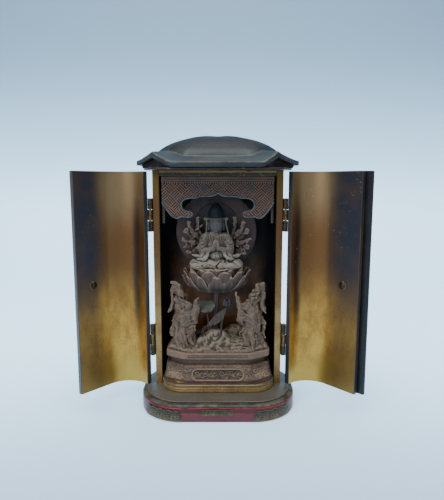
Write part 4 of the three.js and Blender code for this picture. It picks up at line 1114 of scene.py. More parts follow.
class Clay:
    """Cells of one size from low to high (mm). depth holds each cell's distance, below zero inside.

    Forms are looked up at places that sway by up to sway mm, so that nothing comes out ruled or turned."""

    def __init__(self, low, high, cell, sway=0.0):
        self.low, self.cell, self.sway = np.array(low, np.float32), cell, sway
        self.count = np.ceil((np.array(high) - low) / cell).astype(int) + 1
        self.depth = np.full(self.count, 4.0, np.float32)

    def window(self, low, high):
        """The slices of cells between two corners, and their coordinates as an open grid."""
        first = np.clip(np.floor((low - self.low) / self.cell).astype(int), 0, self.count)
        last = np.clip(np.ceil((high - self.low) / self.cell).astype(int) + 1, first, self.count)
        axes = [self.low[k] + self.cell * np.arange(first[k], last[k], dtype=np.float32) for k in range(3)]
        x, y, z = np.ix_(*axes)
        if self.sway:
            x, z = x + self.sway * swell(x, y, z, 5.5, 3), z + self.sway * swell(x, y, z, 4.5, 8)
        return tuple(slice(a, b) for a, b in zip(first, last)), (x, y, z)

    def add(self, form, blend=0.6):
        distance, low, high = form
        part, grid = self.window(low - 1.5 - blend, high + 1.5 + blend)
        self.depth[part] = soft_min(self.depth[part], distance(*grid), blend)

    def cut(self, form, blend=0.3):
        distance, low, high = form
        part, grid = self.window(low - 1.5 - blend, high + 1.5 + blend)
        self.depth[part] = -soft_min(-self.depth[part], distance(*grid), blend)


ball = Clay([-3, -3, -3], [3, 3, 3], 0.25)
print("cells of a small block:", ball.count)

# %% [markdown]
# Three forms are enough to carve with: an egg, a tapered rope along a curve, and a box. Each one is a
# distance from any place to its surface, together with the corners of the block that it can touch.

# %% Forms that clay is built from


def egg(centre, radii):
    """An ellipsoid. Distance is about k0 (k0 - 1) / k1, where k0 = |p / r| and k1 = |p / r^2|."""
    centre, radii = np.array(centre, float), np.array(radii, float) * np.ones(3)

    def distance(x, y, z):
        square = [((v - c) / r) ** 2 for v, c, r in zip((x, y, z), centre, radii)]
        k0 = np.sqrt(square[0] + square[1] + square[2])
        k1 = np.sqrt(square[0] / radii[0] ** 2 + square[1] / radii[1] ** 2 + square[2] / radii[2] ** 2) + 1e-6
        return k0 * (k0 - 1) / k1

    return distance, centre - radii, centre + radii


def curve(points, steps):
    """A smooth curve through points (Catmull-Rom): steps samples between each pair of points."""
    p = np.array(points, float)
    p = np.concatenate([2 * p[:1] - p[1:2], p, 2 * p[-1:] - p[-2:-1]])
    t = np.linspace(0, 1, steps, endpoint=False)[None, :, None]
    a, b, c, d = p[:-3, None], p[1:-2, None], p[2:-1, None], p[3:, None]
    out = 0.5 * (2 * b + (c - a) * t + (2 * a - 5 * b + 4 * c - d) * t**2 + (3 * b - a - 3 * c + d) * t**3)
    return np.concatenate([out.reshape(-1, p.shape[1]), p[-2:-1]])


def rope(points, radii, flat=1.0, across=(0, 1, 0), steps=4):
    """Tapered capsules along a smooth curve, squashed to the share flat along the direction across."""
    radii = np.broadcast_to(radii, len(points)) if np.ndim(radii) == 0 else np.array(radii)
    way = np.column_stack([points, radii])
    way = curve(way, steps) if len(points) > 2 and steps > 1 else way
    path, size = way[:, :3], np.abs(way[:, 3])
    across = np.array(across, float) / np.linalg.norm(across)

    def distance(x, y, z):
        best = None
        for a, b, ra, rb in zip(path[:-1], path[1:], size[:-1], size[1:]):
            rel = [x - a[0], y - a[1], z - a[2]]
            way = b - a
            if flat != 1:
                off = (rel[0] * across[0] + rel[1] * across[1] + rel[2] * across[2]) * (1 / flat - 1)
                rel = [r + off * c for r, c in zip(rel, across)]
                way = way + across * (way @ across) * (1 / flat - 1)
            t = np.clip((rel[0] * way[0] + rel[1] * way[1] + rel[2] * way[2]) / (way @ way + 1e-9), 0, 1)
            gap = np.sqrt((rel[0] - t * way[0]) ** 2 + (rel[1] - t * way[1]) ** 2
                          + (rel[2] - t * way[2]) ** 2)
            gap = (gap - (ra + (rb - ra) * t)) * (0.8 if flat != 1 else 1)
            best = gap if best is None else np.minimum(best, gap)
        return best

    reach = size.max()
    return distance, path.min(0) - reach, path.max(0) + reach


def slab(low, high):
    """A box: the largest of the distances past its six faces."""
    low, high = np.array(low, float), np.array(high, float)

    def distance(x, y, z):
        gaps = [np.maximum(a - v, v - b) for v, a, b in zip((x, y, z), low, high)]
        return np.maximum(np.maximum(gaps[0], gaps[1]), gaps[2])

    return distance, low, high


ball.add(egg((0, 0, 0), (2, 2, 2)), 0)
print("deepest place inside a 2 mm ball:", round(float(ball.depth.min()), 2), "mm")

# %% [markdown]
# The clay becomes a mesh by surface nets: every cell that the surface crosses gets one point, the mean of
# the crossings on its twelve edges, and every crossed edge between cells gets one quad. A blurred copy of
# the distances tells ridges from hollows, which the wood finish uses for pale ridges and dark grooves:
# partly wear and grime, partly painted highlight and painted shade.

# %% From clay to a surface


def blurred(values, reach):
    """Mean over a cube of 2 * reach + 1 cells, one axis after the other, from running sums."""
    for axis in range(3):
        pad = [(reach + 1, reach) if k == axis else (0, 0) for k in range(3)]
        total = np.cumsum(np.pad(values, pad, mode="edge"), axis=axis, dtype=np.float64)
        n = values.shape[axis]
        ahead = np.take(total, np.arange(2 * reach + 1, n + 2 * reach + 1), axis=axis)
        values = ((ahead - np.take(total, np.arange(n), axis=axis)) / (2 * reach + 1)).astype(np.float32)
    return values


def surface(clay, reach=1.0):
    """Points (mm), quads, and relief: above zero on ridges and below zero in hollows."""
    corner = np.array([(i, j, k) for i in (0, 1) for j in (0, 1) for k in (0, 1)])
    solid = clay.depth < 0
    n = np.array(clay.depth.shape) - 1
    inside = sum(solid[i : n[0] + i, j : n[1] + j, k : n[2] + k].astype(np.int8) for i, j, k in corner)
    active = (inside > 0) & (inside < 8)
    cells = np.argwhere(active)
    number = np.full(active.shape, -1, np.int64)
    number[active] = np.arange(len(cells))
    values = np.stack([clay.depth[tuple((cells + c).T)] for c in corner], -1)
    total, hits = np.zeros((len(cells), 3)), np.zeros(len(cells))
    for a in range(8):
        for b in range(a + 1, 8):
            if np.abs(corner[a] - corner[b]).sum() != 1:
                continue
            crossed = (values[:, a] < 0) != (values[:, b] < 0)
            t = np.where(crossed, values[:, a] / np.where(crossed, values[:, a] - values[:, b], 1), 0)
            total += np.where(crossed[:, None], corner[a] + t[:, None] * (corner[b] - corner[a]), 0)
            hits += crossed
    points = clay.low + (cells + total / hits[:, None]) * clay.cell
    quads = []
    for axis in range(3):
        u, v = (axis + 1) % 3, (axis + 2) % 3
        near = [slice(1, -1)] * 3
        far = [slice(1, -1)] * 3
        near[axis], far[axis] = slice(0, -1), slice(1, None)
        start, end = solid[tuple(near)], solid[tuple(far)]
        where = np.argwhere(start != end)
        rising = start[tuple(where.T)]
        where[:, u] += 1
        where[:, v] += 1
        step_u, step_v = np.eye(3, dtype=int)[u], np.eye(3, dtype=int)[v]
        ring = np.stack([number[tuple((where - s).T)] for s in (step_u + step_v, step_v, 0 * step_u, step_u)],
                        -1)
        quads.append(np.where(rising[:, None], ring, ring[:, ::-1]))
    soft = blurred(np.clip(clay.depth, -reach, reach), max(1, round(reach / clay.cell)))
    relief = np.mean([soft[tuple((cells + c).T)] for c in corner], axis=0) / reach
    return points, np.concatenate(quads), relief


def clay_piece(name, clay, finish, **more):
    """Meshes a block of clay and hangs it on its body with its relief as an attribute."""
    points, quads, relief = surface(clay)
    return make_piece(name, points, quads, finish, attributes={"relief": relief}, sharp=75, **more)


print("the ball meshes to", len(surface(ball)[0]), "points")

# %% [markdown]
# Folds must hug the cloth below them, or they look like laid-on string. So the next tool reads where the
# clay's front face is, along a path of (x, z), and lays a rope there that is sunk by half.

# %% Folds that hug the clay


def front_of(clay, x, z):
    """The y of the foremost surface at each (x, z): the first solid cell of its column, from the front."""
    i = np.clip(np.rint((x - clay.low[0]) / clay.cell).astype(int), 0, clay.count[0] - 1)
    k = np.clip(np.rint((z - clay.low[2]) / clay.cell).astype(int), 0, clay.count[2] - 1)
    column = clay.depth[i, :, k] < 0
    y = clay.low[1] + clay.cell * column.argmax(1)
    met = column.any(1)
    return np.interp(np.arange(len(y)), np.flatnonzero(met), y[met]) if met.any() else y * 0


def pleat(clay, path, radii, proud=0.5, blend=0.25, carve=False):
    """A rope along (x, z) on the front face, proud of it by the share proud, or a groove if carve is set."""
    path = np.array(path, float)
    radii = np.broadcast_to(np.asarray(radii, float), (len(path),))
    way = curve(np.column_stack([path, radii]), 5)
    y = front_of(clay, way[:, 0], way[:, 1])
    y = np.convolve(np.pad(y, 2, mode="edge"), np.full(5, 0.2), "valid") + way[:, 2] * (1 - 2 * proud)
    form = rope(np.column_stack([way[:, 0], y, way[:, 1]]), np.clip(way[:, 2], 0.12, None), steps=1)
    (clay.cut if carve else clay.add)(form, blend)


print("front of the ball in its middle: y =", front_of(ball, np.zeros(1), np.zeros(1)).round(2))

# %% [markdown]
# Old carved wood reads by its hollows and ridges. Smoke has blackened the grooves and hands and dusting have
# rubbed the ridges to a pale tan, and the same colours also paint the shade in the grooves and the highlights
# on the ridges. Grey dust lies on whatever faces up. One recipe makes all the woods.

# %% Carved wood


def carved_wood(name, groove, body, ridge, dusty, dust_share, stain=None, stain_share=0.3, gain=1.0,
                pale_below=None):
    f = Finish(name, roughness=0.62, specular=0.35)
    relief = f.times(f.attribute("relief"), gain)
    grain = f.noise(1.4, detail=5, stretch=(1, 1, 3))
    height = f.plus(relief, f.times(f.minus(grain, 0.5), 0.12))
    tint = f.mix(f.ramp(f.noise(5, detail=3), 0.35, 0.65), body, tuple(c * 1.25 for c in body))
    if stain:
        tint = f.mix(f.times(f.ramp(f.noise(3.2, detail=3, shift=9.0), 0.52, 0.66), stain_share), tint, stain)
    # Painted shade and highlight, together with grime and wear: grooves darker, ridges paler, by relief.
    wood = f.mix(f.ramp(height, -0.2, 0.04), groove, tint)
    wood = f.mix(f.ramp(height, 0.1, 0.34), wood, ridge)
    # Painted sheen with dust: below pale_below, the raised parts of the lap turn toward the dusty colour.
    if pale_below:
        low = f.ramp(f.axis("Z"), pale_below, pale_below - 3, 0.0, 0.55)
        wood = f.mix(f.times(low, f.ramp(height, -0.15, 0.05)), wood, dusty)
    lying = f.times(f.ramp(f.upward(), 0.0, 0.9), f.ramp(f.noise(0.9, detail=4), 0.3, 0.65))
    dust = f.times(f.times(lying, f.ramp(height, -0.12, 0.08)), dust_share)
    f.colour(f.mix(dust, wood, dusty))
    f.bump(f.noise(0.45, detail=4), 0.03)
    return f.material


carving = carved_wood(
    "carving_brown", tone(40, 31, 25), tone(90, 74, 61), tone(136, 114, 90), tone(124, 112, 97), 0.5,
    stain=tone(128, 84, 52), stain_share=0.3, gain=0.6)
dusty_carving = carved_wood(
    "carving_dusty", tone(44, 37, 32), tone(86, 76, 67), tone(126, 114, 100), tone(158, 148, 132), 0.7,
    stain=tone(140, 102, 76), gain=0.7, pale_below=float(node_box("seated_figure")[0][2]) + 12.0)
petal_wood = carved_wood(
    "petal_wood", tone(26, 18, 15), tone(76, 58, 48), tone(136, 118, 98), tone(112, 100, 88), 0.4,
    stain=tone(100, 66, 64), stain_share=0.6)
print("woods:", carving.name, dusty_carving.name, petal_wood.name)

# %% [markdown]
# The seated figure is built up as a carver blocks it out: lap, trunk, shoulders, arms, then folds laid on
# as thin ropes. Every place is a share of the figure's height, so the figure stays whole if its size
# changes.

# %% The seated figure's body
figure_low, figure_high = node_box("seated_figure")
halo_low, halo_high = node_box("halo")
H = figure_high[2] - figure_low[2]
SEAT_Z = figure_low[2]
FIGURE_X = (figure_low[0] + figure_high[0]) / 2
print("figure height:", round(H, 2), "mm, middle at x =", round(FIGURE_X, 2))


def at(x, y, z):
    """A place in the figure: shares of its height from the middle of the seat."""
    return np.array([FIGURE_X + x * H, y * H, SEAT_Z + z * H])


def lay(clay, path, radii, blend=0.4, mirror=False, **more):
    """Lays a rope of clay along shares of the figure's height, on both sides if mirror is set."""
    for s in (1, -1) if mirror else (1,):
        clay.add(rope([at(s * x, y, z) for x, y, z in path], np.array(radii) * H, **more), blend)


def figure_body():
    """Lap, two crossed legs, belly, chest, shoulders, upper arms, and forearms that meet in front."""
    clay = Clay(at(-0.46, -0.33, -0.02), at(0.46, 0.28, 0.64), 0.26, sway=0.3)
    clay.add(egg(at(0, -0.02, 0.055), np.array([0.375, 0.235, 0.11]) * H), 0)
    clay.add(egg(at(-0.17, -0.13, 0.06), np.array([0.225, 0.14, 0.092]) * H), 0.5)
    clay.add(egg(at(0.2, -0.12, 0.06), np.array([0.185, 0.14, 0.086]) * H), 0.2)
    lay(clay, [(0.335, -0.05, 0.07), (0.31, -0.1, 0.065)], [0.07, 0.066], 1.0, mirror=True)
    clay.add(egg(at(0, 0.0, 0.3), np.array([0.185, 0.125, 0.2]) * H), 2.0)
    clay.add(egg(at(0, -0.07, 0.22), np.array([0.125, 0.1, 0.1]) * H), 1.0)
    lay(clay, [(-0.135, 0.0, 0.46), (0, 0.0, 0.485), (0.135, 0.0, 0.46)], [0.08, 0.075, 0.08], 1.5)
    lay(clay, [(0, 0.0, 0.5), (0, -0.01, 0.6)], [0.066, 0.058], 0.8)
    lay(clay, [(0.155, -0.01, 0.455), (0.185, -0.04, 0.38), (0.195, -0.09, 0.3), (0.17, -0.12, 0.26)],
        [0.07, 0.074, 0.074, 0.055], 1.0, mirror=True)
    lay(clay, [(0.18, -0.11, 0.3), (0.12, -0.16, 0.295), (0.045, -0.19, 0.33)], [0.05, 0.042, 0.03], 0.8,
        mirror=True)
    lay(clay, [(0.19, -0.11, 0.28), (0.2, -0.14, 0.21), (0.22, -0.15, 0.16)], [0.05, 0.046, 0.04], 1.0,
        mirror=True)
    lay(clay, [(0.034, -0.185, 0.31), (0.02, -0.195, 0.39), (0.003, -0.185, 0.45)], [0.028, 0.026, 0.012],
        0.6, mirror=True)
    return clay


# %% [markdown]
# Drapery makes the figure. Grooves cross the chest in a V and fall down the belly, others ring the sleeves,
# a pale scarf loops out over each thigh, and the skirt wraps the crossed legs in slanting swags.

# %% The figure's drapery


def fold(clay, path, radius, mirror=False, **more):
    """A fold on the figure's front, along (x, z) shares of its height, on both sides if mirror is set."""
    for s in (1, -1) if mirror else (1,):
        places = [at(s * x, 0, z)[[0, 2]] for x, z in path]
        pleat(clay, places, np.array(radius) * H, **more)


def drape_trunk(clay):
    """Grooves down the chest, the sleeves and the belly, and a collar that stands proud."""
    for k in range(4):
        out = 0.05 + 0.034 * k
        path = [(out, 0.535 - 0.014 * k), (out * 0.95, 0.45), (out * 0.7, 0.39)]
        fold(clay, path, [0.004, 0.008, 0.005], mirror=True, carve=True, proud=0.7)
    for k in range(3):
        z = 0.42 - 0.05 * k
        fold(clay, [(0.17, z + 0.035), (0.2, z + 0.005), (0.25, z + 0.01)], [0.003, 0.006, 0.003],
             mirror=True, carve=True, proud=0.78)
    for x in (-0.06, 0.0, 0.055):
        fold(clay, [(x * 0.6, 0.285), (x, 0.23), (x * 1.2, 0.165)], [0.003, 0.006, 0.004], carve=True,
             proud=0.78)
    collar = [(0.075, 0.545), (0.045, 0.5), (0.0, 0.475), (-0.045, 0.5), (-0.075, 0.545)]
    fold(clay, collar, [0.008, 0.012, 0.012, 0.012, 0.008], proud=0.3)


def drape_lap(clay):
    """A scarf over each thigh, swags across the legs, rings round a knee, and the skirt's hem."""
    scarf = [(0.13, -0.17, 0.3), (0.13, -0.2, 0.24), (0.155, -0.215, 0.19), (0.21, -0.2, 0.165),
             (0.28, -0.17, 0.16)]
    lay(clay, scarf, [0.014, 0.024, 0.027, 0.024, 0.012], 0.5, mirror=True, flat=0.6, across=(0.3, 1, 0))
    lay(clay, [(0.24, -0.12, 0.2), (0.31, -0.08, 0.2), (0.36, -0.06, 0.215)], [0.03, 0.024, 0.012], 0.6,
        mirror=True)
    for k in range(5):
        a = k / 4
        fold(clay, [(-0.37 + 0.04 * a, 0.14 - 0.11 * a), (-0.24 + 0.05 * a, 0.135 - 0.1 * a),
                    (-0.08, 0.085 - 0.07 * a),
                    (0.05 - 0.06 * a, 0.05 - 0.035 * a)], [0.005, 0.01, 0.011, 0.005], carve=True, proud=0.72)
    for k in range(4):
        a = k / 3
        turn = np.linspace(2.9 - 0.3 * a, -0.9, 8)
        size = 0.045 + 0.045 * a
        fold(clay, np.stack([0.21 + 1.5 * size * np.cos(turn), 0.085 + 0.85 * size * np.sin(turn)], -1),
             [0.004] + [0.01] * 6 + [0.004], carve=True, proud=0.72)
    fold(clay, [(0.1, 0.155), (0.03, 0.1), (0.01, 0.05), (0.05, 0.01)], [0.006, 0.013, 0.013, 0.008],
         carve=True, proud=0.5)
    lay(clay, [(-0.385, -0.06, 0.022), (-0.26, -0.2, 0.012), (0, -0.275, 0.01), (0.26, -0.2, 0.012),
               (0.385, -0.06, 0.022)],
        [0.02, 0.022, 0.022, 0.022, 0.02], 0.3, flat=0.6, across=(0, 0, 1))


print("drapery ready: chest, sleeves, belly, collar, scarf, swags and hem")

# %% [markdown]
# A carved surface is never quite even. A slow swell of the distances leaves it as a short gouge would, all
# over. Then the back is cut flat, where the halo and the side arms meet it, and the underside is levelled.

# %% Tool marks and the flat back


def worked(clay, depth, length, seed):
    """Small hollows and rises all over, as a short gouge leaves them."""
    _, (x, y, z) = clay.window(clay.low, clay.low + 1000)
    clay.depth += depth * swell(x, y, z, length, seed)


def trimmed(clay):
    """The figure's back, cut flat where the halo and the side arms meet it, and its level underside."""
    clay.cut(slab(at(-1, 0.125, 0.13), at(1, 1, 0.68)), 0)
    clay.cut(slab(at(-1, -1, -1), at(1, 1, 0.0)), 0)
    clay.cut(slab([-100, halo_low[1] - 0.3, 0], [100, 100, SEAT_Z + 0.2 * H]), 0)


robe = figure_body()
drape_trunk(robe)
drape_lap(robe)
worked(robe, 0.07, 2.2, 4)
trimmed(robe)
clay_piece("figure_robe", robe, dusty_carving, stands_for=["seated_figure"], slot="dusty_wood")

# %% [markdown]
# The head is an egg with calm, even features: eyes at half height, lowered lids, a straight nose and a
# small mouth, on the proportions that any carver's handbook gives. It gets finer cells than the robe.

# %% The figure's head
HEAD_LOWER = 0.018


def figure_head():
    """Skull, jaw and neck, then brows, lids, nose, lips, chin and ears, each an egg or a short rope."""
    clay = Clay(at(-0.15, -0.15, 0.54), at(0.15, 0.13, 0.81), 0.15)

    def part(place, radii, blend=0.3):
        clay.add(egg(at(*place), np.array(radii) * H), blend)

    part((0, -0.005, 0.685), [0.108, 0.11, 0.125], 0)
    part((0, -0.03, 0.63), [0.084, 0.082, 0.07], 1.4)
    lay(clay, [(0, -0.0, 0.54), (0, -0.008, 0.61)], [0.06, 0.055], 0.4)
    lay(clay, [(0.012, -0.108, 0.697), (0.04, -0.105, 0.713), (0.072, -0.082, 0.702)], [0.006, 0.008, 0.006],
        0.5, mirror=True)
    for s in (-1, 1):
        part((s * 0.04, -0.096, 0.683), [0.025, 0.014, 0.012])
    lay(clay, [(0, -0.106, 0.697), (0, -0.12, 0.663), (0, -0.125, 0.647)], [0.007, 0.009, 0.012], 0.5)
    lay(clay, [(0.013, -0.113, 0.646), (0.014, -0.112, 0.648)], [0.008, 0.007], 0.3, mirror=True)
    lay(clay, [(-0.026, -0.102, 0.622), (0, -0.112, 0.624), (0.026, -0.102, 0.622)], [0.004, 0.007, 0.004],
        0.25)
    lay(clay, [(-0.018, -0.104, 0.612), (0, -0.11, 0.61), (0.018, -0.104, 0.612)], [0.004, 0.007, 0.004],
        0.25)
    part((0, -0.088, 0.585), [0.03, 0.026, 0.022], 0.8)
    lay(clay, [(0.106, 0.0, 0.717), (0.113, 0.0, 0.675), (0.112, 0.0, 0.607)], [0.012, 0.015, 0.01], 0.3,
        mirror=True)
    clay.low[2] -= HEAD_LOWER * H
    return clay


face_wood = carved_wood(
    "face_wood", tone(26, 23, 24), tone(70, 66, 66), tone(112, 104, 98), tone(104, 100, 98), 0.4,
    stain=tone(96, 76, 68), gain=0.6)
clay_piece("figure_head", figure_head(), face_wood, slot="dusty_wood")


# %% [markdown]
# The hair is dressed high, in upright strands under the crown. It is a turned form with a radius for each
# height, and a small cosine round it cuts the strands, so it needs no clay.

# %% The figure's hair


def tall_hair():
    """Rings from the hairline to the tip: radius r(z) * (1 + 0.03 cos(26 angle)), deeper where it is wide."""
    share = np.array([0.0, 0.02, 0.045, 0.06, 0.12, 0.2, 0.28, 0.36, 0.44, 0.55, 0.66, 0.76, 0.86, 0.94,
                      0.985, 1.0])
    radius = np.array([0.11, 0.12, 0.122, 0.113, 0.118, 0.121, 0.12, 0.117, 0.112, 0.105, 0.094, 0.078, 0.057,
                       0.034, 0.015, 0.003])
    z = np.linspace(0, 1, 64)
    r = np.interp(z, share, radius)
    turn = np.linspace(0, 2 * np.pi, 156, endpoint=False)
    groove = np.cos(26 * turn[None] + 5 * z[:, None]) * 0.012 * (0.3 + 0.7 * (z[:, None] > 0.1))
    wide = r[:, None] * (1 + groove)
    x = FIGURE_X + H * wide * np.cos(turn)
    y = H * (wide * np.sin(turn) + 0.01 * z[:, None])
    height = np.broadcast_to(SEAT_Z + H * (0.73 + 0.262 * z[:, None]), x.shape)
    return np.stack([x, y, height], -1), groove * 12


def hair_finish():
    """Blue-black on the strands and nearly black between them."""
    f = Finish("navy_hair", roughness=0.6, specular=0.2)
    grain = f.ramp(f.noise(2.0, detail=4, stretch=(1, 1, 2)), 0.3, 0.7)
    groove = f.ramp(f.attribute("relief"), -0.2, 0.25)
    f.colour(f.mix(groove, tone(10, 12, 18), f.mix(grain, tone(18, 24, 36), tone(32, 38, 50))))
    f.bump(f.noise(0.8), 0.03)
    return f.material


navy_hair = hair_finish()
rings, groove = tall_hair()
points, quads, triangles = capped(rings)
make_piece("figure_hair", points, quads, navy_hair, triangles=triangles, slot="dusty_wood",
           attributes={"relief": np.append(groove, [0, 0])})

# %% [markdown]
# A thin metal band crosses the hair, with a bow of metal petals at each side, and a ribbon hangs from each
# bow to the shoulder. It is one casting, so it is one block of fine clay.

# %% The crown


def figure_crown():
    """A wire band round the hair with small points, and at each side a knot of petals and a thin ribbon."""
    low, high = node_box("crown")
    clay = Clay(low - 0.6, high + 0.6, 0.17)
    turn = np.linspace(0, 2 * np.pi, 33)
    for height, size in [(0.735, 0.0045), (0.752, 0.0065)]:
        ring = [at(0.122 * math.cos(a), 0.122 * math.sin(a), height) for a in turn]
        clay.add(rope(ring, size * H, steps=1), 0.2)
    for a in np.linspace(-math.pi * 0.9, -math.pi * 0.1, 8):
        clay.add(egg(at(0.122 * math.cos(a), 0.122 * math.sin(a), 0.761),
                     np.array([0.007, 0.007, 0.009]) * H), 0.2)
    for s in (-1, 1):
        for angle in np.arange(5) * 2 * math.pi / 5 + 0.3:
            middle = at(s * 0.158 + 0.019 * math.cos(angle), -0.04, 0.752 + 0.016 * math.sin(angle))
            clay.add(egg(middle, np.array([0.011, 0.008, 0.009]) * H), 0.2)
        clay.add(rope([at(s * 0.115, -0.045, 0.752), at(s * 0.15, -0.04, 0.753)], 0.007 * H), 0.3)
    left = [(-0.148, -0.045, 0.74), (-0.142, -0.06, 0.68), (-0.145, -0.08, 0.59), (-0.143, -0.11, 0.52)]
    right = [(0.148, -0.045, 0.74), (0.15, -0.06, 0.68), (0.172, -0.08, 0.58), (0.195, -0.1, 0.5),
             (0.21, -0.11, 0.44), (0.225, -0.11, 0.47)]
    for path in (left, right):
        clay.add(rope([at(*p) for p in path], np.full(len(path), 0.0095) * H, flat=0.6, across=(0, 1, 0.1)),
                 0.3)
    return clay


crown_metal = carved_wood(
    "crown_metal", tone(18, 17, 17), tone(54, 51, 46), tone(100, 90, 72), tone(84, 80, 72), 0.3)
clay_piece("figure_crown", figure_crown(), crown_metal, stands_for=["crown"], slot="dark_bronze")

# %% [markdown]
# Twelve side arms fan out behind the shoulders, six a side. Each is an upper arm, a forearm with a bangle,
# a palm and four fingers, and each hand but the raised one holds something worn past reading: a stave, a
# ring, a bud, a jewel.

# %% The side arms

# each arm: how far out and up its hand is, then its elbow, then what it holds
HANDS = [
    (0.29, 0.755, 0.275, 0.52, "raised"), (0.43, 0.68, 0.33, 0.5, "bud"), (0.475, 0.56, 0.36, 0.44, "ring"),
    (0.51, 0.42, 0.35, 0.37, "stave"), (0.48, 0.31, 0.35, 0.31, "jewel"), (0.42, 0.22, 0.32, 0.235, "ring"),
]


def hand_holds(clay, hand, sign, thing):
    """Adds what a hand holds: a stave along up, a ring of rope, a bud with petals or a jewel."""
    side = np.array([sign, 0, 0.0])
    if thing == "stave":
        clay.add(rope([hand + [sign * -1.6, -0.6, -1.9], hand + [sign * 1.5, -0.6, 2.0]], 0.42), 0.2)
    if thing == "ring":
        turn = np.linspace(0, 2 * np.pi, 13)
        ring = [hand + side * 0.5 + [1.35 * math.cos(a), -0.5, 1.35 * math.sin(a) + 0.6] for a in turn]
        clay.add(rope(ring, 0.42, steps=1), 0.25)
    if thing == "bud":
        for lean in (-0.8, 0, 0.8):
            clay.add(rope([hand + [lean * 0.4, -0.3, 0.3], hand + [lean, -0.5, 2.5]], [0.75, 0.3]), 0.25)
    if thing == "jewel":
        clay.add(egg(hand + [sign * 0.7, -0.6, 0.9], (1.0, 0.9, 1.2)), 0.3)


print("each side holds:", ", ".join(hand[-1] for hand in HANDS))

# %% [markdown]
# An arm is three ropes: a limb that thins to the wrist, a sleeve over it and a bangle. The palm is an egg
# with four short ropes for fingers. Where arms cross, scraps of cloth fill the gaps, as in the dusty
# original, and the back is cut flat against the halo.

# %% The arms as clay


def side_arms(sign):
    """Six arms of one side with what they hold, and the scraps between them."""
    low, high = node_box("left_side_arms" if sign < 0 else "right_side_arms")
    clay = Clay(np.minimum(low, [low[0], 1, 97]) - 1.2, high + [1.2, 0.2, 2.0], 0.22, sway=0.45)
    clay.add(egg(at(sign * 0.12, 0.19, 0.36), np.array([0.1, 0.045, 0.14]) * H), 0)
    for i, (out, up, elbow_out, elbow_up, thing) in enumerate(HANDS):
        depth = 0.12 if i % 2 else 0.17
        shoulder, elbow = at(sign * 0.12, 0.19, 0.38 - 0.02 * i), at(sign * elbow_out, depth, elbow_up)
        hand = at(sign * out, depth - 0.06, up)
        wrist = elbow + (hand - elbow) * 0.68
        clay.add(rope([shoulder, elbow, wrist], [0.04 * H, 0.034 * H, 0.021 * H], steps=3), 0.5)
        clay.add(rope([elbow, elbow + (wrist - elbow) * 0.3], [0.046 * H, 0.036 * H]), 0.5)
        clay.add(rope([wrist, wrist + (hand - wrist) * 0.12], [0.029 * H, 0.029 * H]), 0.15)
        palm = wrist + (hand - wrist) * 0.55
        clay.add(egg(palm, (1.15, 0.8, 1.15)), 0.4)
        way = (hand - wrist) / np.linalg.norm(hand - wrist)
        beside = np.cross(way, [0, 1.0, 0])
        for k in (-1.5, -0.5, 0.5, 1.5):
            root = palm + beside * k * 0.5 + way * 0.5
            clay.add(rope([root, root + way * (1.7 - 0.2 * abs(k)) + [0, -0.4, 0]], [0.34, 0.24], steps=1),
                     0.12)
        if thing != "raised":
            hand_holds(clay, palm, sign, thing)
    rng = np.random.default_rng(11 if sign < 0 else 12)
    for k in range(12):
        turn, far = math.radians(-30 + 9.5 * k), rng.uniform(0.3, 0.44)
        place = at(sign * far * math.cos(turn), rng.uniform(0.08, 0.14), 0.4 + 0.95 * far * math.sin(turn))
        lean = rng.normal(size=3) * [1.3, 0.4, 1.3]
        clay.add(rope([place - lean, place, place + lean[::-1] * [1, 0.3, 1]],
                      [0.45, rng.uniform(0.7, 1.1), 0.35], steps=3), 0.3)
    clay.cut(slab(at(-0.27, -1, -1), at(0.27, 0.132, 1)), 0)
    worked(clay, 0.06, 1.8, 6)
    inner = slab([-100 if sign > 0 else FIGURE_X - 0.2, -100, 0],
                 [FIGURE_X + 0.2 if sign > 0 else 100, 100, 200])
    clay.cut(inner, 0)
    clay.cut(slab([-100, halo_low[1] - 0.3, 0], [100, 100, 200]), 0)
    return clay


arm_wood = carved_wood(
    "arm_wood", tone(22, 17, 16), tone(76, 64, 57), tone(121, 104, 91), tone(115, 106, 96), 0.45,
    stain=tone(136, 98, 80), stain_share=0.5, gain=0.8)
for name, sign in [("left_side_arms", -1), ("right_side_arms", 1)]:
    clay_piece(f"{name}_fan", side_arms(sign), arm_wood, stands_for=[name], slot="dusty_wood")

# %% [markdown]
# Petals and leaves are thin sheets. A sheet is worked out once, as a grid with normals; a second grid lies
# behind it by its thickness; and each row of both makes one closed loop, so the piece has no open edge.

# %% Sheets with two faces


def normals_of(grid):
    """Unit normals of a grid of points: the cross product of its two differences."""
    n = np.cross(np.gradient(grid, axis=-2), np.gradient(grid, axis=-3))
    return n / (np.linalg.norm(n, axis=-1, keepdims=True) + 1e-12)


def sheet_skin(grid, thickness):
    """Points, quads and end triangles of a sheet grid (row, column, xyz) given a thickness behind it."""
    behind = grid - normals_of(grid) * np.asarray(thickness)[..., None]
    loops = np.concatenate([grid, behind[:, ::-1]], axis=1)
    return capped(loops)


def both_faces(values):
    """A sheet's values for every point of its skin: in front, mirrored behind, 0 at the two end points."""
    return np.append(np.concatenate([values, values[:, ::-1]], 1).ravel(), [0, 0])


def outward_facing(points, quads, triangles):
    """Turns all faces round if the volume inside them comes out below zero."""
    a, b, c, d = (points[quads[:, k]] for k in range(4))
    volume = np.einsum("ij,ij->i", a, np.cross(b, c)).sum() + np.einsum("ij,ij->i", a, np.cross(c, d)).sum()
    e, f, g = (points[triangles[:, k]] for k in range(3))
    volume += np.einsum("ij,ij->i", e, np.cross(f, g)).sum()
    return (quads, triangles) if volume > 0 else (quads[:, ::-1], triangles[:, ::-1])


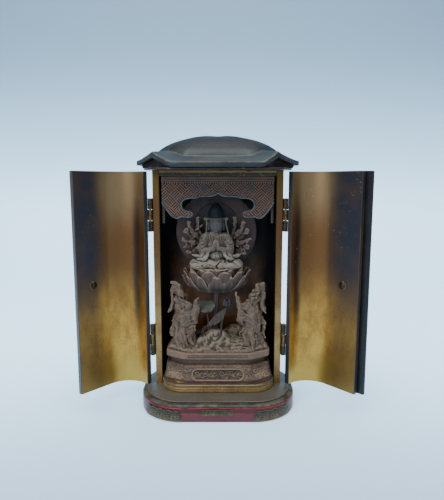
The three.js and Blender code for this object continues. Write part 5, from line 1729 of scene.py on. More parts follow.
def gathered(parts):
    """Joins (points, quads, triangles, relief) of several skins into one."""
    points, quads, triangles, relief, start = [], [], [], [], 0
    for p, q, t, r in parts:
        q, t = outward_facing(p, q, t)
        points.append(p)
        quads.append(q + start)
        triangles.append(t + start)
        relief.append(r)
        start += len(p)
    return np.concatenate(points), np.concatenate(quads), np.concatenate(triangles), np.concatenate(relief)


def gathered_piece(name, parts, finish, **more):
    """Makes one piece of several skins, with their relief as an attribute."""
    points, quads, triangles, relief = gathered(parts)
    return make_piece(name, points, quads, finish, triangles=triangles, attributes={"relief": relief}, **more)


print("sheet helpers ready")

# %% [markdown]
# The lotus opens in four rows of petals round a bowl: upright ones inside, two wider rows outside them,
# each set between the last, and short ones below. Each petal's spine is a curve in the plane of height and
# radius. Its width swells, stays full and closes in an elliptic tip, and its rims curl in.

# %% The lotus
LOTUS_HALF = np.array([22.4, 18.0])
LOTUS_Y = 1.0
LOTUS_Z = node_box("lotus_seat")[0][2]
LOTUS_HEIGHT = 16.0


def petal(angle, base, belly, tip, width, lean=0.0):
    """Spine: quadratic curve through (radius, height) shares. Width: full up to 0.6, then an elliptic tip."""
    u = np.linspace(0, 1, 20)[:, None]
    v = np.linspace(-1, 1, 15)[None, :]
    spine = [(1 - u) ** 2 * a + 2 * u * (1 - u) * b + u**2 * c for a, b, c in zip(base, belly, tip)]
    swelling = 0.5 + 0.5 * np.sin(np.pi / 2 * np.minimum(u / 0.6, 1))
    wide = swelling * np.sqrt(1 - ((u - 0.6).clip(0) / 0.402) ** 1.7)
    side = width * wide * v
    cup = 0.085 * wide * v**2 * (0.6 + 0.6 * u)
    radius = spine[0] - cup + 0.035 * u**5
    height = spine[1] + 0.03 * v**2 * u + lean * v * u * 0.03
    way = np.array([math.cos(angle), math.sin(angle)]) * LOTUS_HALF
    tangent = np.array([-math.sin(angle), math.cos(angle)]) * LOTUS_HALF.mean()
    x = FIGURE_X + way[0] * radius + tangent[0] * side
    y = LOTUS_Y + way[1] * radius + tangent[1] * side
    z = LOTUS_Z + LOTUS_HEIGHT * height + 0 * side
    points, quads, triangles = sheet_skin(np.stack([x, y, z], -1), 0.6 * (1 - 0.5 * np.abs(v) ** 4) + 0 * u)
    rim = 0.45 * np.maximum(np.abs(v) ** 9, u**16) + 0.05 * np.cos(9 * v) * u - 0.3 * (1 - u) ** 2 - 0.02
    return points, quads, triangles, both_faces(rim)


def lotus_petals():
    parts = []
    rows = [
        (13, 0.0, (0.5, 0.3), (0.96, 0.4), (0.9, 1.01), 0.25),
        (12, 0.5, (0.5, 0.15), (1.06, 0.34), (1.0, 0.93), 0.275),
        (12, 0.0, (0.35, 0.05), (1.06, 0.12), (0.99, 0.7), 0.26),
        (10, 0.0, (0.2, 0.0), (0.78, -0.04), (0.82, 0.34), 0.21),
    ]
    rng = np.random.default_rng(5)
    for count, shift, base, belly, tip, width in rows:
        for k in range(count):
            angle = (k + shift + rng.uniform(-0.08, 0.08)) * 2 * math.pi / count - math.pi / 2
            lifted = np.array(tip) + rng.uniform(-0.03, 0.03, 2) + [0, 0.08 * max(0, -math.sin(angle))]
            parts.append(petal(angle, base, belly, lifted, width * rng.uniform(0.92, 1.08),
                               rng.uniform(-1, 1)))
    return parts


gathered_piece("lotus_petals", lotus_petals(), petal_wood, stands_for=["lotus_seat"], slot="carved_wood",
               sharp=80)


def lotus_bowl():
    """An oval turned core inside the petals: rings of share of the half sizes, up to the seat."""
    share = np.array([0.16, 0.3, 0.52, 0.72, 0.79, 0.8, 0.8, 0.79, 0.6, 0.3, 0.08])
    rise = np.array([0.0, 0.0, 0.05, 0.2, 0.45, 0.7, 0.95, 0.985, 0.985, 0.985, 0.985])
    turn = np.linspace(0, 2 * np.pi, 72, endpoint=False)
    x = FIGURE_X + LOTUS_HALF[0] * share[:, None] * np.cos(turn)
    y = LOTUS_Y + LOTUS_HALF[1] * share[:, None] * np.sin(turn)
    z = np.broadcast_to((LOTUS_Z + LOTUS_HEIGHT * rise)[:, None], x.shape)
    return np.stack([x, y, z], -1)


points, quads, triangles = capped(lotus_bowl())
make_piece("lotus_bowl", points, quads, petal_wood, triangles=triangles, slot="carved_wood",
           attributes={"relief": np.full(len(points), -0.1)})

# %% [markdown]
# Stem, stalks and ribbons are tubes: circles carried along a smooth path. The circle's plane turns with the
# path's direction, and a fixed reference direction keeps it from twisting.

# %% Stem and stalks


def tube(path, radii, sides=20, steps=8):
    """Circles of radii round a smooth path: centre + r (N cos a + B sin a), N and B across the tangent."""
    way = curve(np.column_stack([path, radii]), steps)
    centre, r = way[:, :3], way[:, 3]
    tangent = np.gradient(centre, axis=0)
    tangent /= np.linalg.norm(tangent, axis=1)[:, None]
    first = np.cross(tangent, [0.31, 0.94, 0.13])
    first /= np.linalg.norm(first, axis=1)[:, None]
    second = np.cross(tangent, first)
    a = np.linspace(0, 2 * np.pi, sides, endpoint=False)[None, :, None]
    rings = centre[:, None] + r[:, None, None] * (first[:, None] * np.cos(a) + second[:, None] * np.sin(a))
    points, quads, triangles = capped(rings)
    relief = np.append(np.broadcast_to(0.12 * np.cos(5 * a[0, :, 0]), rings.shape[:2]).ravel(), [0, 0])
    return points, quads, triangles, relief


slab_top = node_box("stand_top_slab")[1][2]
stem_wood = carved_wood("stem_wood", tone(30, 21, 19), tone(80, 60, 54), tone(108, 86, 76), tone(100, 86, 76),
                        0.2, stain=tone(88, 56, 54))
foot, crown_end = np.array([FIGURE_X, 4.0, slab_top + 2.0]), np.array([FIGURE_X, 1.0, LOTUS_Z + 0.2])
stem = tube([foot, (foot + crown_end) / 2 + [-0.5, 1.0, 0], crown_end - [0, 0, 5], crown_end],
            [2.35, 1.95, 2.0, 2.3])
gathered_piece("lotus_stem_tube", [stem], stem_wood, stands_for=["lotus_stem"], slot="carved_wood")

# %% [markdown]
# A round lotus leaf is dished towards the viewer, ribbed from its middle, with a wavy rim. It shows the
# pond that the lotus grows in. A bent disc could be modelled by hand, but a grid of radius and angle gives
# the dish, the wave and the ribs in three short sums.

# %% The round leaf


def round_leaf(centre, radius, tilt, swing):
    """Grid of radius share and angle; height = dish * s^2 + wave; then tilted towards the viewer."""
    s = np.linspace(0.02, 1, 16)[:, None]
    a = np.linspace(0, 2 * np.pi, 73)[None, :]
    wide = radius * s * (1 + 0.02 * s**3 * np.cos(7 * a + 1) + 0.035 * s**3 * np.sin(3 * a))
    height = 0.9 * s**2 + 0.5 * s**3 * np.sin(3 * a + 0.6) + 0.2 * s**3 * np.sin(8 * a)
    p = np.stack([wide * np.cos(a), wide * np.sin(a), height + 0 * a], -1)
    ct, st, cs, ss = math.cos(tilt), math.sin(tilt), math.cos(swing), math.sin(swing)
    x, y, z = p[..., 0], p[..., 1] * ct - p[..., 2] * st, p[..., 1] * st + p[..., 2] * ct
    grid = np.stack([centre[0] + x * cs + z * ss, centre[1] + y, centre[2] - x * ss + z * cs], -1)
    points, quads, triangles = sheet_skin(grid, np.full(grid.shape[:2], 0.5))
    rib = 0.05 * np.cos(11 * a) * s + 0.2 * s**14 + 0 * a
    return points, quads, triangles, both_faces(rib)


leaf_green = carved_wood(
    "leaf_green", tone(44, 44, 40), tone(84, 87, 80), tone(112, 112, 101), tone(108, 108, 98), 0.5,
    stain=tone(66, 62, 56))
LEAF_RADIUS = 6.1
leaf_centre = np.array([FIGURE_X - 7.0, -1.5, slab_top + 27.3])
stalk = tube([leaf_centre + [2.1, 1.2, -25.6], leaf_centre + [1.6, 0.9, -11], leaf_centre + [0, 0.3, -0.6]],
             [0.7, 0.6, 0.55], sides=10)
leaf = round_leaf(leaf_centre, LEAF_RADIUS, math.radians(28), math.radians(-4))
gathered_piece("round_lotus_leaf", [leaf], leaf_green, stands_for=["lotus_leaf"], slot="leaf_green", sharp=80)
gathered_piece("round_leaf_stalk", [stalk], stem_wood, slot="carved_wood")


# %% [markdown]
# Beside the round leaf leans one that is half folded along its rib. Two halves meet in a V, so the grid
# runs along the rib and across the fold, and a small sine on the free rim gives it its ragged edge.

# %% The folded leaf


def half_folded_leaf(tail, nose, width):
    """Grid along the rib and across the fold: two halves meet in a V, with a serrated free rim."""
    u = np.linspace(0, 1, 60)[:, None]
    v = np.linspace(-1, 1, 15)[None, :]
    swell = np.sin(np.pi * (0.03 + 0.94 * u)) ** 0.7
    saw = 1 + 0.09 * np.abs(v) ** 3 * np.sin(40 * u + 5 * np.sin(9 * u))
    along = np.array(nose) - tail
    length = np.linalg.norm(along)
    along = along / length
    down = np.array([0.0, -0.25, -1.0])
    down = down - along * (down @ along)
    down /= np.linalg.norm(down)
    out = np.cross(along, down)
    drop = width * swell * saw * np.where(v > 0, v, 0.35 * np.abs(v))
    open_by = width * swell * np.where(v > 0, 0.16 * np.sin(np.pi * v * 0.8), -0.35 * np.abs(v))
    spine = np.array(tail) + along * length * u[..., None] + down * (-1.0 * np.sin(np.pi * u))[..., None]
    grid = spine + down * drop[..., None] - out * open_by[..., None]
    points, quads, triangles = sheet_skin(grid, np.full(grid.shape[:2], 0.5))
    veins = 0.04 * np.cos(30 * u + 4 * v)
    rim = 0.2 * np.exp(-((v / 0.1) ** 2)) + 0.25 * np.abs(v) ** 10 + veins - 0.05
    return points, quads, triangles, both_faces(rim)


tail, nose = [FIGURE_X - 6.2, -6.6, 55.4], [FIGURE_X + 6.4, -5.8, 66.9]
stalk = tube([[FIGURE_X + 2.6, -4.4, slab_top + 6], [FIGURE_X + 3.4, -5.0, 52], [FIGURE_X + 3.2, -5.4, 61]],
             [0.8, 0.65, 0.5], sides=10)
folded_wood = carved_wood(
    "folded_wood", tone(22, 17, 16), tone(62, 51, 46), tone(122, 104, 88), tone(98, 88, 79), 0.3,
    stain=tone(40, 31, 29))
gathered_piece("half_folded_leaf", [half_folded_leaf(tail, nose, 4.8), stalk], folded_wood,
               stands_for=["folded_leaf"], slot="dusty_wood", sharp=80)


# %% [markdown]
# A dark bud of six petals stands on its own stalk. Its petals are thick and lean on each other, so they are
# tapered ropes of clay from one base, which join softly where they touch.

# %% The bud


def lotus_bud():
    """Six tapered petals, each a rope that swells and closes, and the stalk below them."""
    low, high = node_box("lotus_bud")
    base = np.array([FIGURE_X + 7.2, -3.0, slab_top + 28.6])
    clay = Clay(low - 0.8, high + 0.8, 0.2)
    for angle, lean, tall in [(0.2, 3.2, 4.9), (2.8, 3.1, 5.0), (4.6, 1.6, 4.8), (1.4, 0.2, 6.8),
                              (5.6, 1.9, 5.6), (3.8, 1.8, 5.7)]:
        out = np.array([math.cos(angle), math.sin(angle) * 0.9, 0])
        clay.add(rope([base + out * 0.3, base + out * 1.7 + [0, 0, 2.2], base + out * lean + [0, 0, tall]],
                      [1.0, 1.75, 0.12]), 0.1)
    stem = [[FIGURE_X + 3.2, -3.0, slab_top + 8], [FIGURE_X + 3.9, -3.0, 57], base + [0, 0, 0.6]]
    clay.add(rope(stem, [0.75, 0.65, 0.6]), 0.4)
    return clay


bud_wood = carved_wood("bud_wood", tone(16, 13, 16), tone(50, 41, 44), tone(104, 88, 80), tone(88, 78, 74),
                       0.15)
clay_piece("lotus_bud_carved", lotus_bud(), bud_wood, stands_for=["lotus_bud"], slot="carved_wood")

# %% [markdown]
# The halo is a plain round board behind the figure, brown with upright grain, and its shallow middle disc
# is nearly black. It is one turned piece with a flat tang below.

# %% The halo


HALO_RADIUS = 28.0
HALO_CENTRE = 23.5
HOLLOW_RADIUS = 14.3
HOLLOW_Z = SEAT_Z + 0.66 * H


def halo_finish():
    """Brown board with upright grain, nearly black within the hollow's radius."""
    f = Finish("halo_board", roughness=0.5)
    x = f.minus(f.axis("X"), float(FIGURE_X))
    z = f.minus(f.axis("Z"), float(HOLLOW_Z))
    far = f.length(x, z)
    grain = f.ramp(f.noise(1.1, detail=5, stretch=(1, 1, 9)), 0.3, 0.7)
    wood = f.mix(grain, tone(44, 27, 23), tone(68, 44, 36))
    wood = f.mix(f.ramp(f.noise(9, stretch=(1, 1, 2)), 0.35, 0.65), wood, tone(58, 35, 31))
    dark = f.mix(f.ramp(f.noise(3), 0.3, 0.7), tone(13, 9, 12), tone(24, 17, 19))
    f.colour(f.mix(f.ramp(f.plus(far, f.times(f.noise(4), 0.8)), 14.6, 14.0), wood, dark))
    f.bump(f.noise(0.9, stretch=(1, 1, 8)), 0.04)
    return f.material


def halo_board():
    """A disc cut level at the seat, as clay: the disc, a shallow hollow and the tang."""
    clay = Clay(halo_low - 1, halo_high + 1, 0.4)
    centre = np.array([FIGURE_X, SEAT_Z + HALO_CENTRE])

    def disc(cx, cz, radius, y0, y1):
        form = lambda x, y, z: np.maximum(np.sqrt((x - cx) ** 2 + (z - cz) ** 2) - radius,
                                          np.maximum(y0 - y, y - y1))
        return form, np.array([cx - radius, y0, cz - radius]), np.array([cx + radius, y1, cz + radius])

    clay.add(disc(*centre, HALO_RADIUS, halo_low[1], halo_high[1]), 0)
    clay.cut(disc(FIGURE_X, HOLLOW_Z, HOLLOW_RADIUS, halo_low[1] - 3, halo_low[1] + 0.6), 0.2)
    clay.cut(slab([-100, 0, 0], [100, 30, SEAT_Z + 3]), 0)
    clay.add(slab([FIGURE_X - 6, halo_low[1], SEAT_Z], [FIGURE_X + 6, halo_high[1], SEAT_Z + 5]), 0)
    return clay


clay_piece("halo_disc", halo_board(), halo_finish(), stands_for=["halo"], slot="carved_wood")

# %% [markdown]
# The ground under the lotus is carved as a sea. A tall wave curls in the middle, others roll behind it,
# foam breaks at the right, and plain facets of calm water lie in front. It is a surface of heights over the
# slab: a sum of humps, a spiral ridge for each curl, and ripples.

# %% The carved waves
mound_low, mound_high = node_box("wave_mound")
mound_half = (mound_high - mound_low)[:2] / 2


def curl(x, y, cx, cy, radius, pitch, turns=1.0):
    """A spiral ridge: cos(2 pi distance / pitch - turns * angle), faded out at its radius."""
    far = np.hypot(x - cx, (y - cy) * 1.25)
    angle = np.arctan2((y - cy) * 1.25, x - cx)
    return np.cos(2 * np.pi * far / pitch - turns * angle) * np.clip(1.25 - far / radius, 0, 1)


def hump(x, y, cx, cy, wide, deep):
    return np.exp(-(((x - cx) / wide) ** 2) - ((y - cy) / deep) ** 2)


def wave_height(x, y):
    """Height above the slab in mm at each (x, y)."""
    x, y = x + 0.8 * swell(x, y, 0 * x, 6, 21), y + 0.8 * swell(x, y, 0 * x, 5, 22)
    tall = 11.0 * hump(x, y, -1.0, -3.0, 9.0, 5.0) + 10.0 * hump(x, y, -7.5, 8.5, 8.0, 6.0)
    tall += 11.2 * hump(x, y, 12.0, 7.5, 10.0, 7.0) + 3.0 * hump(x, y, 17.0, -5.0, 7.0, 4.5)
    tall += 2.6 * hump(x, y, -12.5, -5.0, 4.2, 2.8) + 2.0 * hump(x, y, 26.0, -3.0, 9.0, 6.0)
    tall += 2.4 * hump(x, y, -24.0, 0.0, 9.0, 8.0)
    lines = 0.36 * curl(x, y, -2.5, -5.2, 9.5, 1.9, 2) + 0.26 * curl(x, y, -12.5, -5.6, 5.0, 1.6, -1)
    lines += 0.2 * curl(x, y, 12.0, 6.0, 9.0, 1.7) + 0.2 * curl(x, y, -8.0, 8.0, 9.0, 1.7, -1)
    ripple = hump(x, y, 8.5, -7.0, 7.5, 4.2) * 0.3 * np.cos(3.4 * (0.55 * x + y + 0.6 * np.sin(0.75 * x)))
    sweep = hump(x, y, 20.0, -8.0, 15.0, 6.0) * 0.26 * np.cos(2.6 * (y + 0.1 * x) + 0.024 * (x - 16) ** 2)
    left = hump(x, y, -25.0, -6.0, 8.0, 7.0) * 0.16 * np.cos(1.7 * (y - 0.25 * x))
    facet = np.clip((-y - 8.5) / 2.0, 0, 1) * np.clip(1.6 - np.abs(x + 4.0) / 11.0, 0, 1)
    folds = 2.2 * np.abs(((x + 1.1 * y + 60) / 12.0) % 1 - 0.5)
    folds += 1.4 * np.abs(((x - 1.2 * y + 66) / 14.0) % 1 - 0.5)
    edge = np.clip(1 - np.abs(y) / mound_half[1], 0, 1)
    base = 0.9 + 1.5 * np.clip(edge * 2.2, 0, 1) + 0.12 * swell(x, y, 0 * x, 3, 23)
    shaped = (lines + ripple + sweep) * (1 - 0.85 * np.clip(facet, 0, 1))
    facets = (folds - 0.8) * np.clip(facet, 0, 1)
    return base + tall * np.clip(edge * 3.2, 0, 1) ** 0.7 + shaped + left + facets


print("the tall wave in front of the stem:", wave_height(np.array([-1.0]), np.array([-3.0])).round(1), "mm")

# %% [markdown]
# The heights become a solid in three parts: the carved top, a flat copy of its grid as underside, and a
# skirt of quads round the rim. Relief, for the finish, is how far a place stands above its blurred
# surroundings.

# %% The sea as a solid


def wave_ground():
    """A grid over the cut-corner plan, its skirt and its underside, with relief from a blurred height."""
    x = np.linspace(-mound_half[0], mound_half[0], 230)
    reach = np.minimum(1.0, 1 - (np.abs(x) - (mound_half[0] - 13.0)).clip(0) / 13.0 * (8.0 / mound_half[1]))
    y = np.linspace(-1, 1, 108)[None, :] * mound_half[1] * reach[:, None]
    x = np.repeat(x[:, None], 108, 1)
    z = wave_height(x, y)
    x, y = x * 0.985, y * 0.97
    near_edge = np.minimum(mound_half[0] - np.abs(x), (mound_half[1] * reach[:, None] - np.abs(y))).clip(0)
    z = z * (0.35 + 0.65 * np.clip(near_edge / 2.2, 0, 1) ** 0.6)
    z = mound_low[2] + np.minimum(z, mound_high[2] - mound_low[2] - 0.02)
    soft = blurred(np.stack([z] * 3, -1), 4)[..., 1]
    relief = np.clip((z - soft) * 0.8, -0.2, 0.4)
    top = np.stack([x, y, z], -1)
    floor = top.copy()
    floor[..., 2] = mound_low[2]
    rows, cols = x.shape
    points = np.concatenate([top.reshape(-1, 3), floor.reshape(-1, 3)])
    up = grid_quads(rows, cols)
    down = up[:, ::-1] + rows * cols
    index = np.arange(rows * cols).reshape(rows, cols)
    rim = np.concatenate([index[:-1, 0], index[-1, :-1], index[:0:-1, -1], index[0, :0:-1]])
    after = np.roll(rim, -1)
    skirt = np.stack([rim, after, after + rows * cols, rim + rows * cols], -1)
    faces = np.concatenate([up[:, ::-1], down[:, ::-1], skirt[:, ::-1]])
    return points, faces, np.concatenate([relief.ravel(), relief.ravel()])


points, quads, relief = wave_ground()
quads, _ = outward_facing(points, quads, np.zeros((0, 3), int))
sea_wood = carved_wood(
    "sea_wood", tone(56, 47, 39), tone(98, 86, 72), tone(122, 109, 91), tone(116, 107, 92), 0.6,
    stain=tone(120, 84, 60), stain_share=0.45)
make_piece("wave_ground", points, quads, sea_wood, stands_for=["wave_mound"], slot="dusty_wood",
           attributes={"relief": relief}, sharp=80)

# %% [markdown]
# The stand's tiers are cut-corner blocks. Their sides carry all the carving, so each is a band: a distance
# along the outline by a height, pushed outward by a relief worked out from both.

# %% Carved bands round the stand
STAND_CORNER = np.array([13.0, 8.0])
CORNER_EASE = 1.8


def cut_corner_outline(half, pitch):
    """Points every pitch mm round a rectangle with cut corners, outward directions, and side numbers."""
    a, b = half
    cx, cy = STAND_CORNER
    corners = np.array([(a, cy - b), (a, b - cy), (a - cx, b), (cx - a, b), (-a, b - cy), (-a, cy - b),
                        (cx - a, -b), (a - cx, -b)])
    points, outs, sides, local = [], [], [], []
    for k in range(8):
        start, end = corners[k], corners[(k + 1) % 8]
        length = np.linalg.norm(end - start)
        n = max(2, round(length / pitch))
        t = np.arange(n) / n
        points.append(start + (end - start) * t[:, None])
        way = (end - start) / length
        outs.append(np.tile([way[1], -way[0]], (n, 1)))
        sides.append(np.full(n, k))
        local.append((t - 0.5) * length)
    out, line = np.concatenate(outs), np.concatenate(points)
    reach = max(2, round(CORNER_EASE / pitch))
    for _ in range(2):
        out = sum(np.roll(out, k, 0) for k in range(-reach, reach + 1))
        line = sum(np.roll(line, k, 0) for k in range(-reach, reach + 1)) / (2 * reach + 1)
        out /= np.linalg.norm(out, axis=1)[:, None]
    return line, out, np.concatenate(sides), np.concatenate(local)


def carved_band(name, half, heights, finish, stands_for, relief=None, shift=None, pitch=0.35, **more):
    """A band: outline + outward * (shift(height share) + relief(side, place, height)), closed at its ends."""
    outline, out, side, local = cut_corner_outline(half, pitch)
    z = np.array(heights, float)
    share = (z - z[0]) / (z[-1] - z[0])
    rise = np.zeros((len(z), len(outline)))
    if relief is not None:
        rise = relief(side[None], local[None], z[:, None] - z[0])
    push = rise + (shift(share)[:, None] if shift else 0)
    flat = outline[None] + out[None] * push[..., None]
    rings = np.concatenate([flat, np.broadcast_to(z[:, None, None], flat.shape[:2] + (1,))], -1)
    points, quads, triangles = capped(rings)
    tall = np.append(np.clip((rise - rise.mean()) * 0.8, -0.26, 0.4), [0, 0])
    return make_piece(name, points, quads, finish, triangles=triangles, stands_for=stands_for,
                      attributes={"relief": tall}, sharp=60, **more)


print("outline points at 0.35 mm:", len(cut_corner_outline(np.array([30.0, 16.0]), 0.35)[0]))

# %% [markdown]
# The tall band looks like pierced work: an oval rail on each long side, curls inside and outside it, and a
# curled foot at every cut corner. A curl is a spiral ridge, cos(2 pi distance / pitch - angle), and where
# several meet the highest one shows, as one scroll laps over the next.

# %% Scrollwork


def near_line(x, z, line):
    """Distance from each (x, z) to the nearest sample of a line."""
    gap = (x[..., None] - line[:, 0]) ** 2 + (z[..., None] - line[:, 1]) ** 2
    return np.sqrt(gap.min(-1))


def band_relief(side, place, height):
    """Relief in mm of the stand's carved band, for its long sides, its ends and its cut corners."""
    place, height = np.broadcast_arrays(place, height)
    long_side = np.isin(side, (2, 6)) & np.ones_like(place, bool)
    short_side = np.isin(side, (0, 4)) & np.ones_like(place, bool)
    corner = ~(long_side | short_side)
    rough = 0.05 * swell(place, height, 0 * place, 1.6, 31)
    bent = place + 0.35 * swell(place, height, 0 * place, 3, 32)
    raised = height + 0.3 * swell(place, height, 0 * place, 3, 33)
    oval = np.hypot((np.abs(place) - 13.4).clip(0), height - 4.9) - 3.6

    def swirls(places, radius, pitch):
        """The highest of several spiral ridges, each at its place with its own way of turning."""
        return np.stack([curl(bent, raised, x, z, radius, pitch, way) for x, z, way in places]).max(0)

    inner = swirls([(f * x, z, f * way) for f in (-1, 1) for x, z, way in
                    [(2.0, 5.4, 1), (5.0, 4.2, -1), (8.0, 5.5, 1), (11.0, 4.2, -1), (14.0, 5.4, 1),
                     (16.0, 4.3, -1)]], 2.6, 1.7)
    outer = swirls([(f * x, z, f * way) for f in (-1, 1) for x, z, way in
                    [(19.6, 3.6, 1), (17.6, 8.0, -1), (13.0, 9.2, 1), (21.0, 7.4, -1)]], 2.8, 2.0)
    rail = np.sqrt(np.clip(1 - (oval / 0.6) ** 2, 0, 1)) * 0.8
    long_relief = np.maximum(np.where(oval < 0, 0.22 + 0.6 * inner,
                                      0.35 + 0.5 * outer * (np.abs(place) > 10)), rail)
    bulge = 0.4 * np.exp(-((place / 5.5) ** 2) - ((height - 3.8) / 2.8) ** 2)
    curled = 0.3 + bulge + 0.55 * swirls([(-3.6, 3.0, -1), (3.6, 3.0, 1), (0.2, 5.6, 1), (-4.6, 7.2, 1),
                                          (4.6, 7.4, -1)], 3.4, 2.2)
    ends = 0.25 + 0.5 * swirls([(-3.4, 4.6, -1), (3.4, 5.2, 1), (0.0, 6.4, 1)], 2.6, 1.5)
    carved = np.where(corner, curled, np.where(long_side, long_relief, ends))
    return np.clip(carved + rough, 0, 1.0) - 0.55


print("relief at the middle of a long side:",
      band_relief(np.array([2]), np.zeros(1), np.array([5.0])).round(2))

# %% [markdown]
# The lower tiers are the scrolled band with its flared feet, the foot board under it, with a soft edge,
# and the waist, which is drawn in and left plain. All three are the same call with another relief and
# profile.

# %% The stand's lower tiers
foot_low = node_box("stand_foot_board")[0]
band_low, band_high = node_box("stand_carved_band")
waist_low, waist_high = node_box("stand_waist")
top_low, top_high = node_box("stand_top_slab")
stand_half = (top_high - top_low)[:2] / 2
band_wood = carved_wood(
    "band_wood", tone(44, 33, 25), tone(86, 68, 53), tone(130, 105, 82), tone(110, 97, 82), 0.4,
    stain=tone(126, 86, 56), stain_share=0.4)


def band_flare(share):
    """The band's profile: feet flare by 2 mm near the bottom and the sides draw in under the top."""
    return np.interp(share, [0, 0.06, 0.15, 0.3, 0.45, 0.8, 0.93, 1],
                     [1.6, 2.0, 1.9, 1.1, 0.6, 0.45, 0.3, -0.5])


carved_band("stand_scroll_band", stand_half, np.linspace(band_low[2], band_high[2], 44), band_wood,
            ["stand_carved_band"], relief=band_relief, shift=band_flare, slot="carved_wood")


def foot_board_finish():
    """Red-brown wood with glimpses of gold."""
    f = Finish("foot_board_wood", roughness=0.5)
    base = f.mix(f.ramp(f.noise(4, stretch=(2, 2, 1)), 0.3, 0.7), tone(66, 36, 32), tone(96, 56, 42))
    gold = f.ramp(f.noise(5, detail=3, stretch=(2, 2, 1), shift=2.0), 0.58, 0.66)
    f.colour(f.mix(gold, base, tone(150, 100, 52)))
    f.bump(f.noise(1.0), 0.04)
    return f.material


carved_band("stand_foot_edge", stand_half + 1.4, foot_low[2] + np.array([0, 0.02, 0.2, 0.7, 1.2, 1.38, 1.4]),
            foot_board_finish(), ["stand_foot_board"], pitch=1.0, slot="carved_wood",
            shift=lambda s: np.interp(s, [0, 0.02, 0.14, 0.86, 0.98, 1], [-1, -0.2, 0, 0, -0.2, -1]))
waist_wood = carved_wood("waist_wood", tone(32, 24, 19), tone(78, 60, 48), tone(108, 88, 70),
                         tone(98, 84, 70), 0.3)
carved_band("stand_waist_edge", stand_half - 2.3, np.linspace(waist_low[2], waist_high[2], 8), waist_wood,
            ["stand_waist"], pitch=1.0, slot="carved_wood")

# %% [markdown]
# The slab under the waves has plain panels at its corners, and on each long face a sunk line of small
# beads.

# %% The beaded slab


BEAD_PITCH = 1.05
BEAD_UP = 2.45


def bead_relief(side, place, height):
    """A row of beads in a sunk strip on the long sides: a round bump every BEAD_PITCH mm."""
    place, height = np.broadcast_arrays(place, height)
    on_face = np.isin(side, (2, 6)) & (np.abs(place) < 20.0)
    along = (place / BEAD_PITCH + 0.35 * height) % 1 - 0.5
    bump = np.sqrt(np.clip(1 - (along / 0.42) ** 2 - ((height - BEAD_UP) / 0.62) ** 2, 0, 1)) * 0.42
    strip = np.clip(1 - np.abs(np.abs(height - BEAD_UP) - 0.95) / 0.2, 0, 1) * 0.3
    field = np.where(np.abs(height - BEAD_UP) < 0.85, 0.0, 0.25)
    return np.where(on_face, np.maximum(np.maximum(bump, strip), field), 0.28) - 0.28


slab_wood = carved_wood(
    "slab_wood", tone(50, 35, 26), tone(106, 84, 68), tone(136, 110, 90), tone(122, 106, 90), 0.45,
    stain=tone(108, 76, 60), stain_share=0.4)
carved_band("stand_slab", stand_half,
            np.concatenate([[top_low[2]], np.linspace(top_low[2] + 0.25, top_high[2] - 0.25, 26),
                            [top_high[2]]]),
            slab_wood, ["stand_top_slab"], relief=bead_relief, pitch=0.26, slot="carved_wood",
            shift=lambda s: np.interp(s, [0, 0.05, 0.16, 0.86, 0.95, 1], [-0.9, -0.5, 0, 0, -0.25, -0.7]))

# %% [markdown]
# Each attendant wears a deep hood like a rearing beast, raises one sleeve towards the lotus and stands in
# long skirts. Places are shares of the attendant's height, out from the middle of the cabinet and up, so
# one recipe serves both sides, and clay that sways keeps the two from looking like one figure mirrored.

# %% Clay for an attendant
ATTENDANT_H = 45.5
ATTENDANT_X = 25.0
ATTENDANT_Y = -5.0
ATTENDANT_FOOT = slab_top + 1.0


class Robed:
    """Clay for one attendant, with places given as shares of its height on its own side."""

    def __init__(self, name, sign):
        low, high = node_box(name)
        self.sign = sign
        self.clay = Clay(low - [1.0, 2.2, 1.0], high + [1.0, 1.0, 1.2], 0.26, sway=0.7)

    def at(self, x, y, z):
        h = ATTENDANT_H
        return np.array([self.sign * (ATTENDANT_X + x * h), ATTENDANT_Y + y * h, ATTENDANT_FOOT + z * h])

    def lay(self, path, radii, blend=0.6, **more):
        self.clay.add(rope([self.at(*p) for p in path], np.array(radii) * ATTENDANT_H, **more), blend)

    def ball(self, place, radii, blend=0.6):
        self.clay.add(egg(self.at(*place), np.array(radii) * ATTENDANT_H), blend)

    def fold(self, path, radius, **more):
        places = np.array([self.at(x, 0, z)[[0, 2]] for x, z in path])
        pleat(self.clay, places, np.array(radius) * ATTENDANT_H, **more)


print("attendants:", ATTENDANT_H, "mm tall")

# %% [markdown]
# A carver blocks out the masses first. Each line below is one of them, a tapered rope or an egg, joined to
# the rest over one or two millimetres: skirts and trunk, head, sleeves, the rearing hood and a long sash.

# %% An attendant's large forms


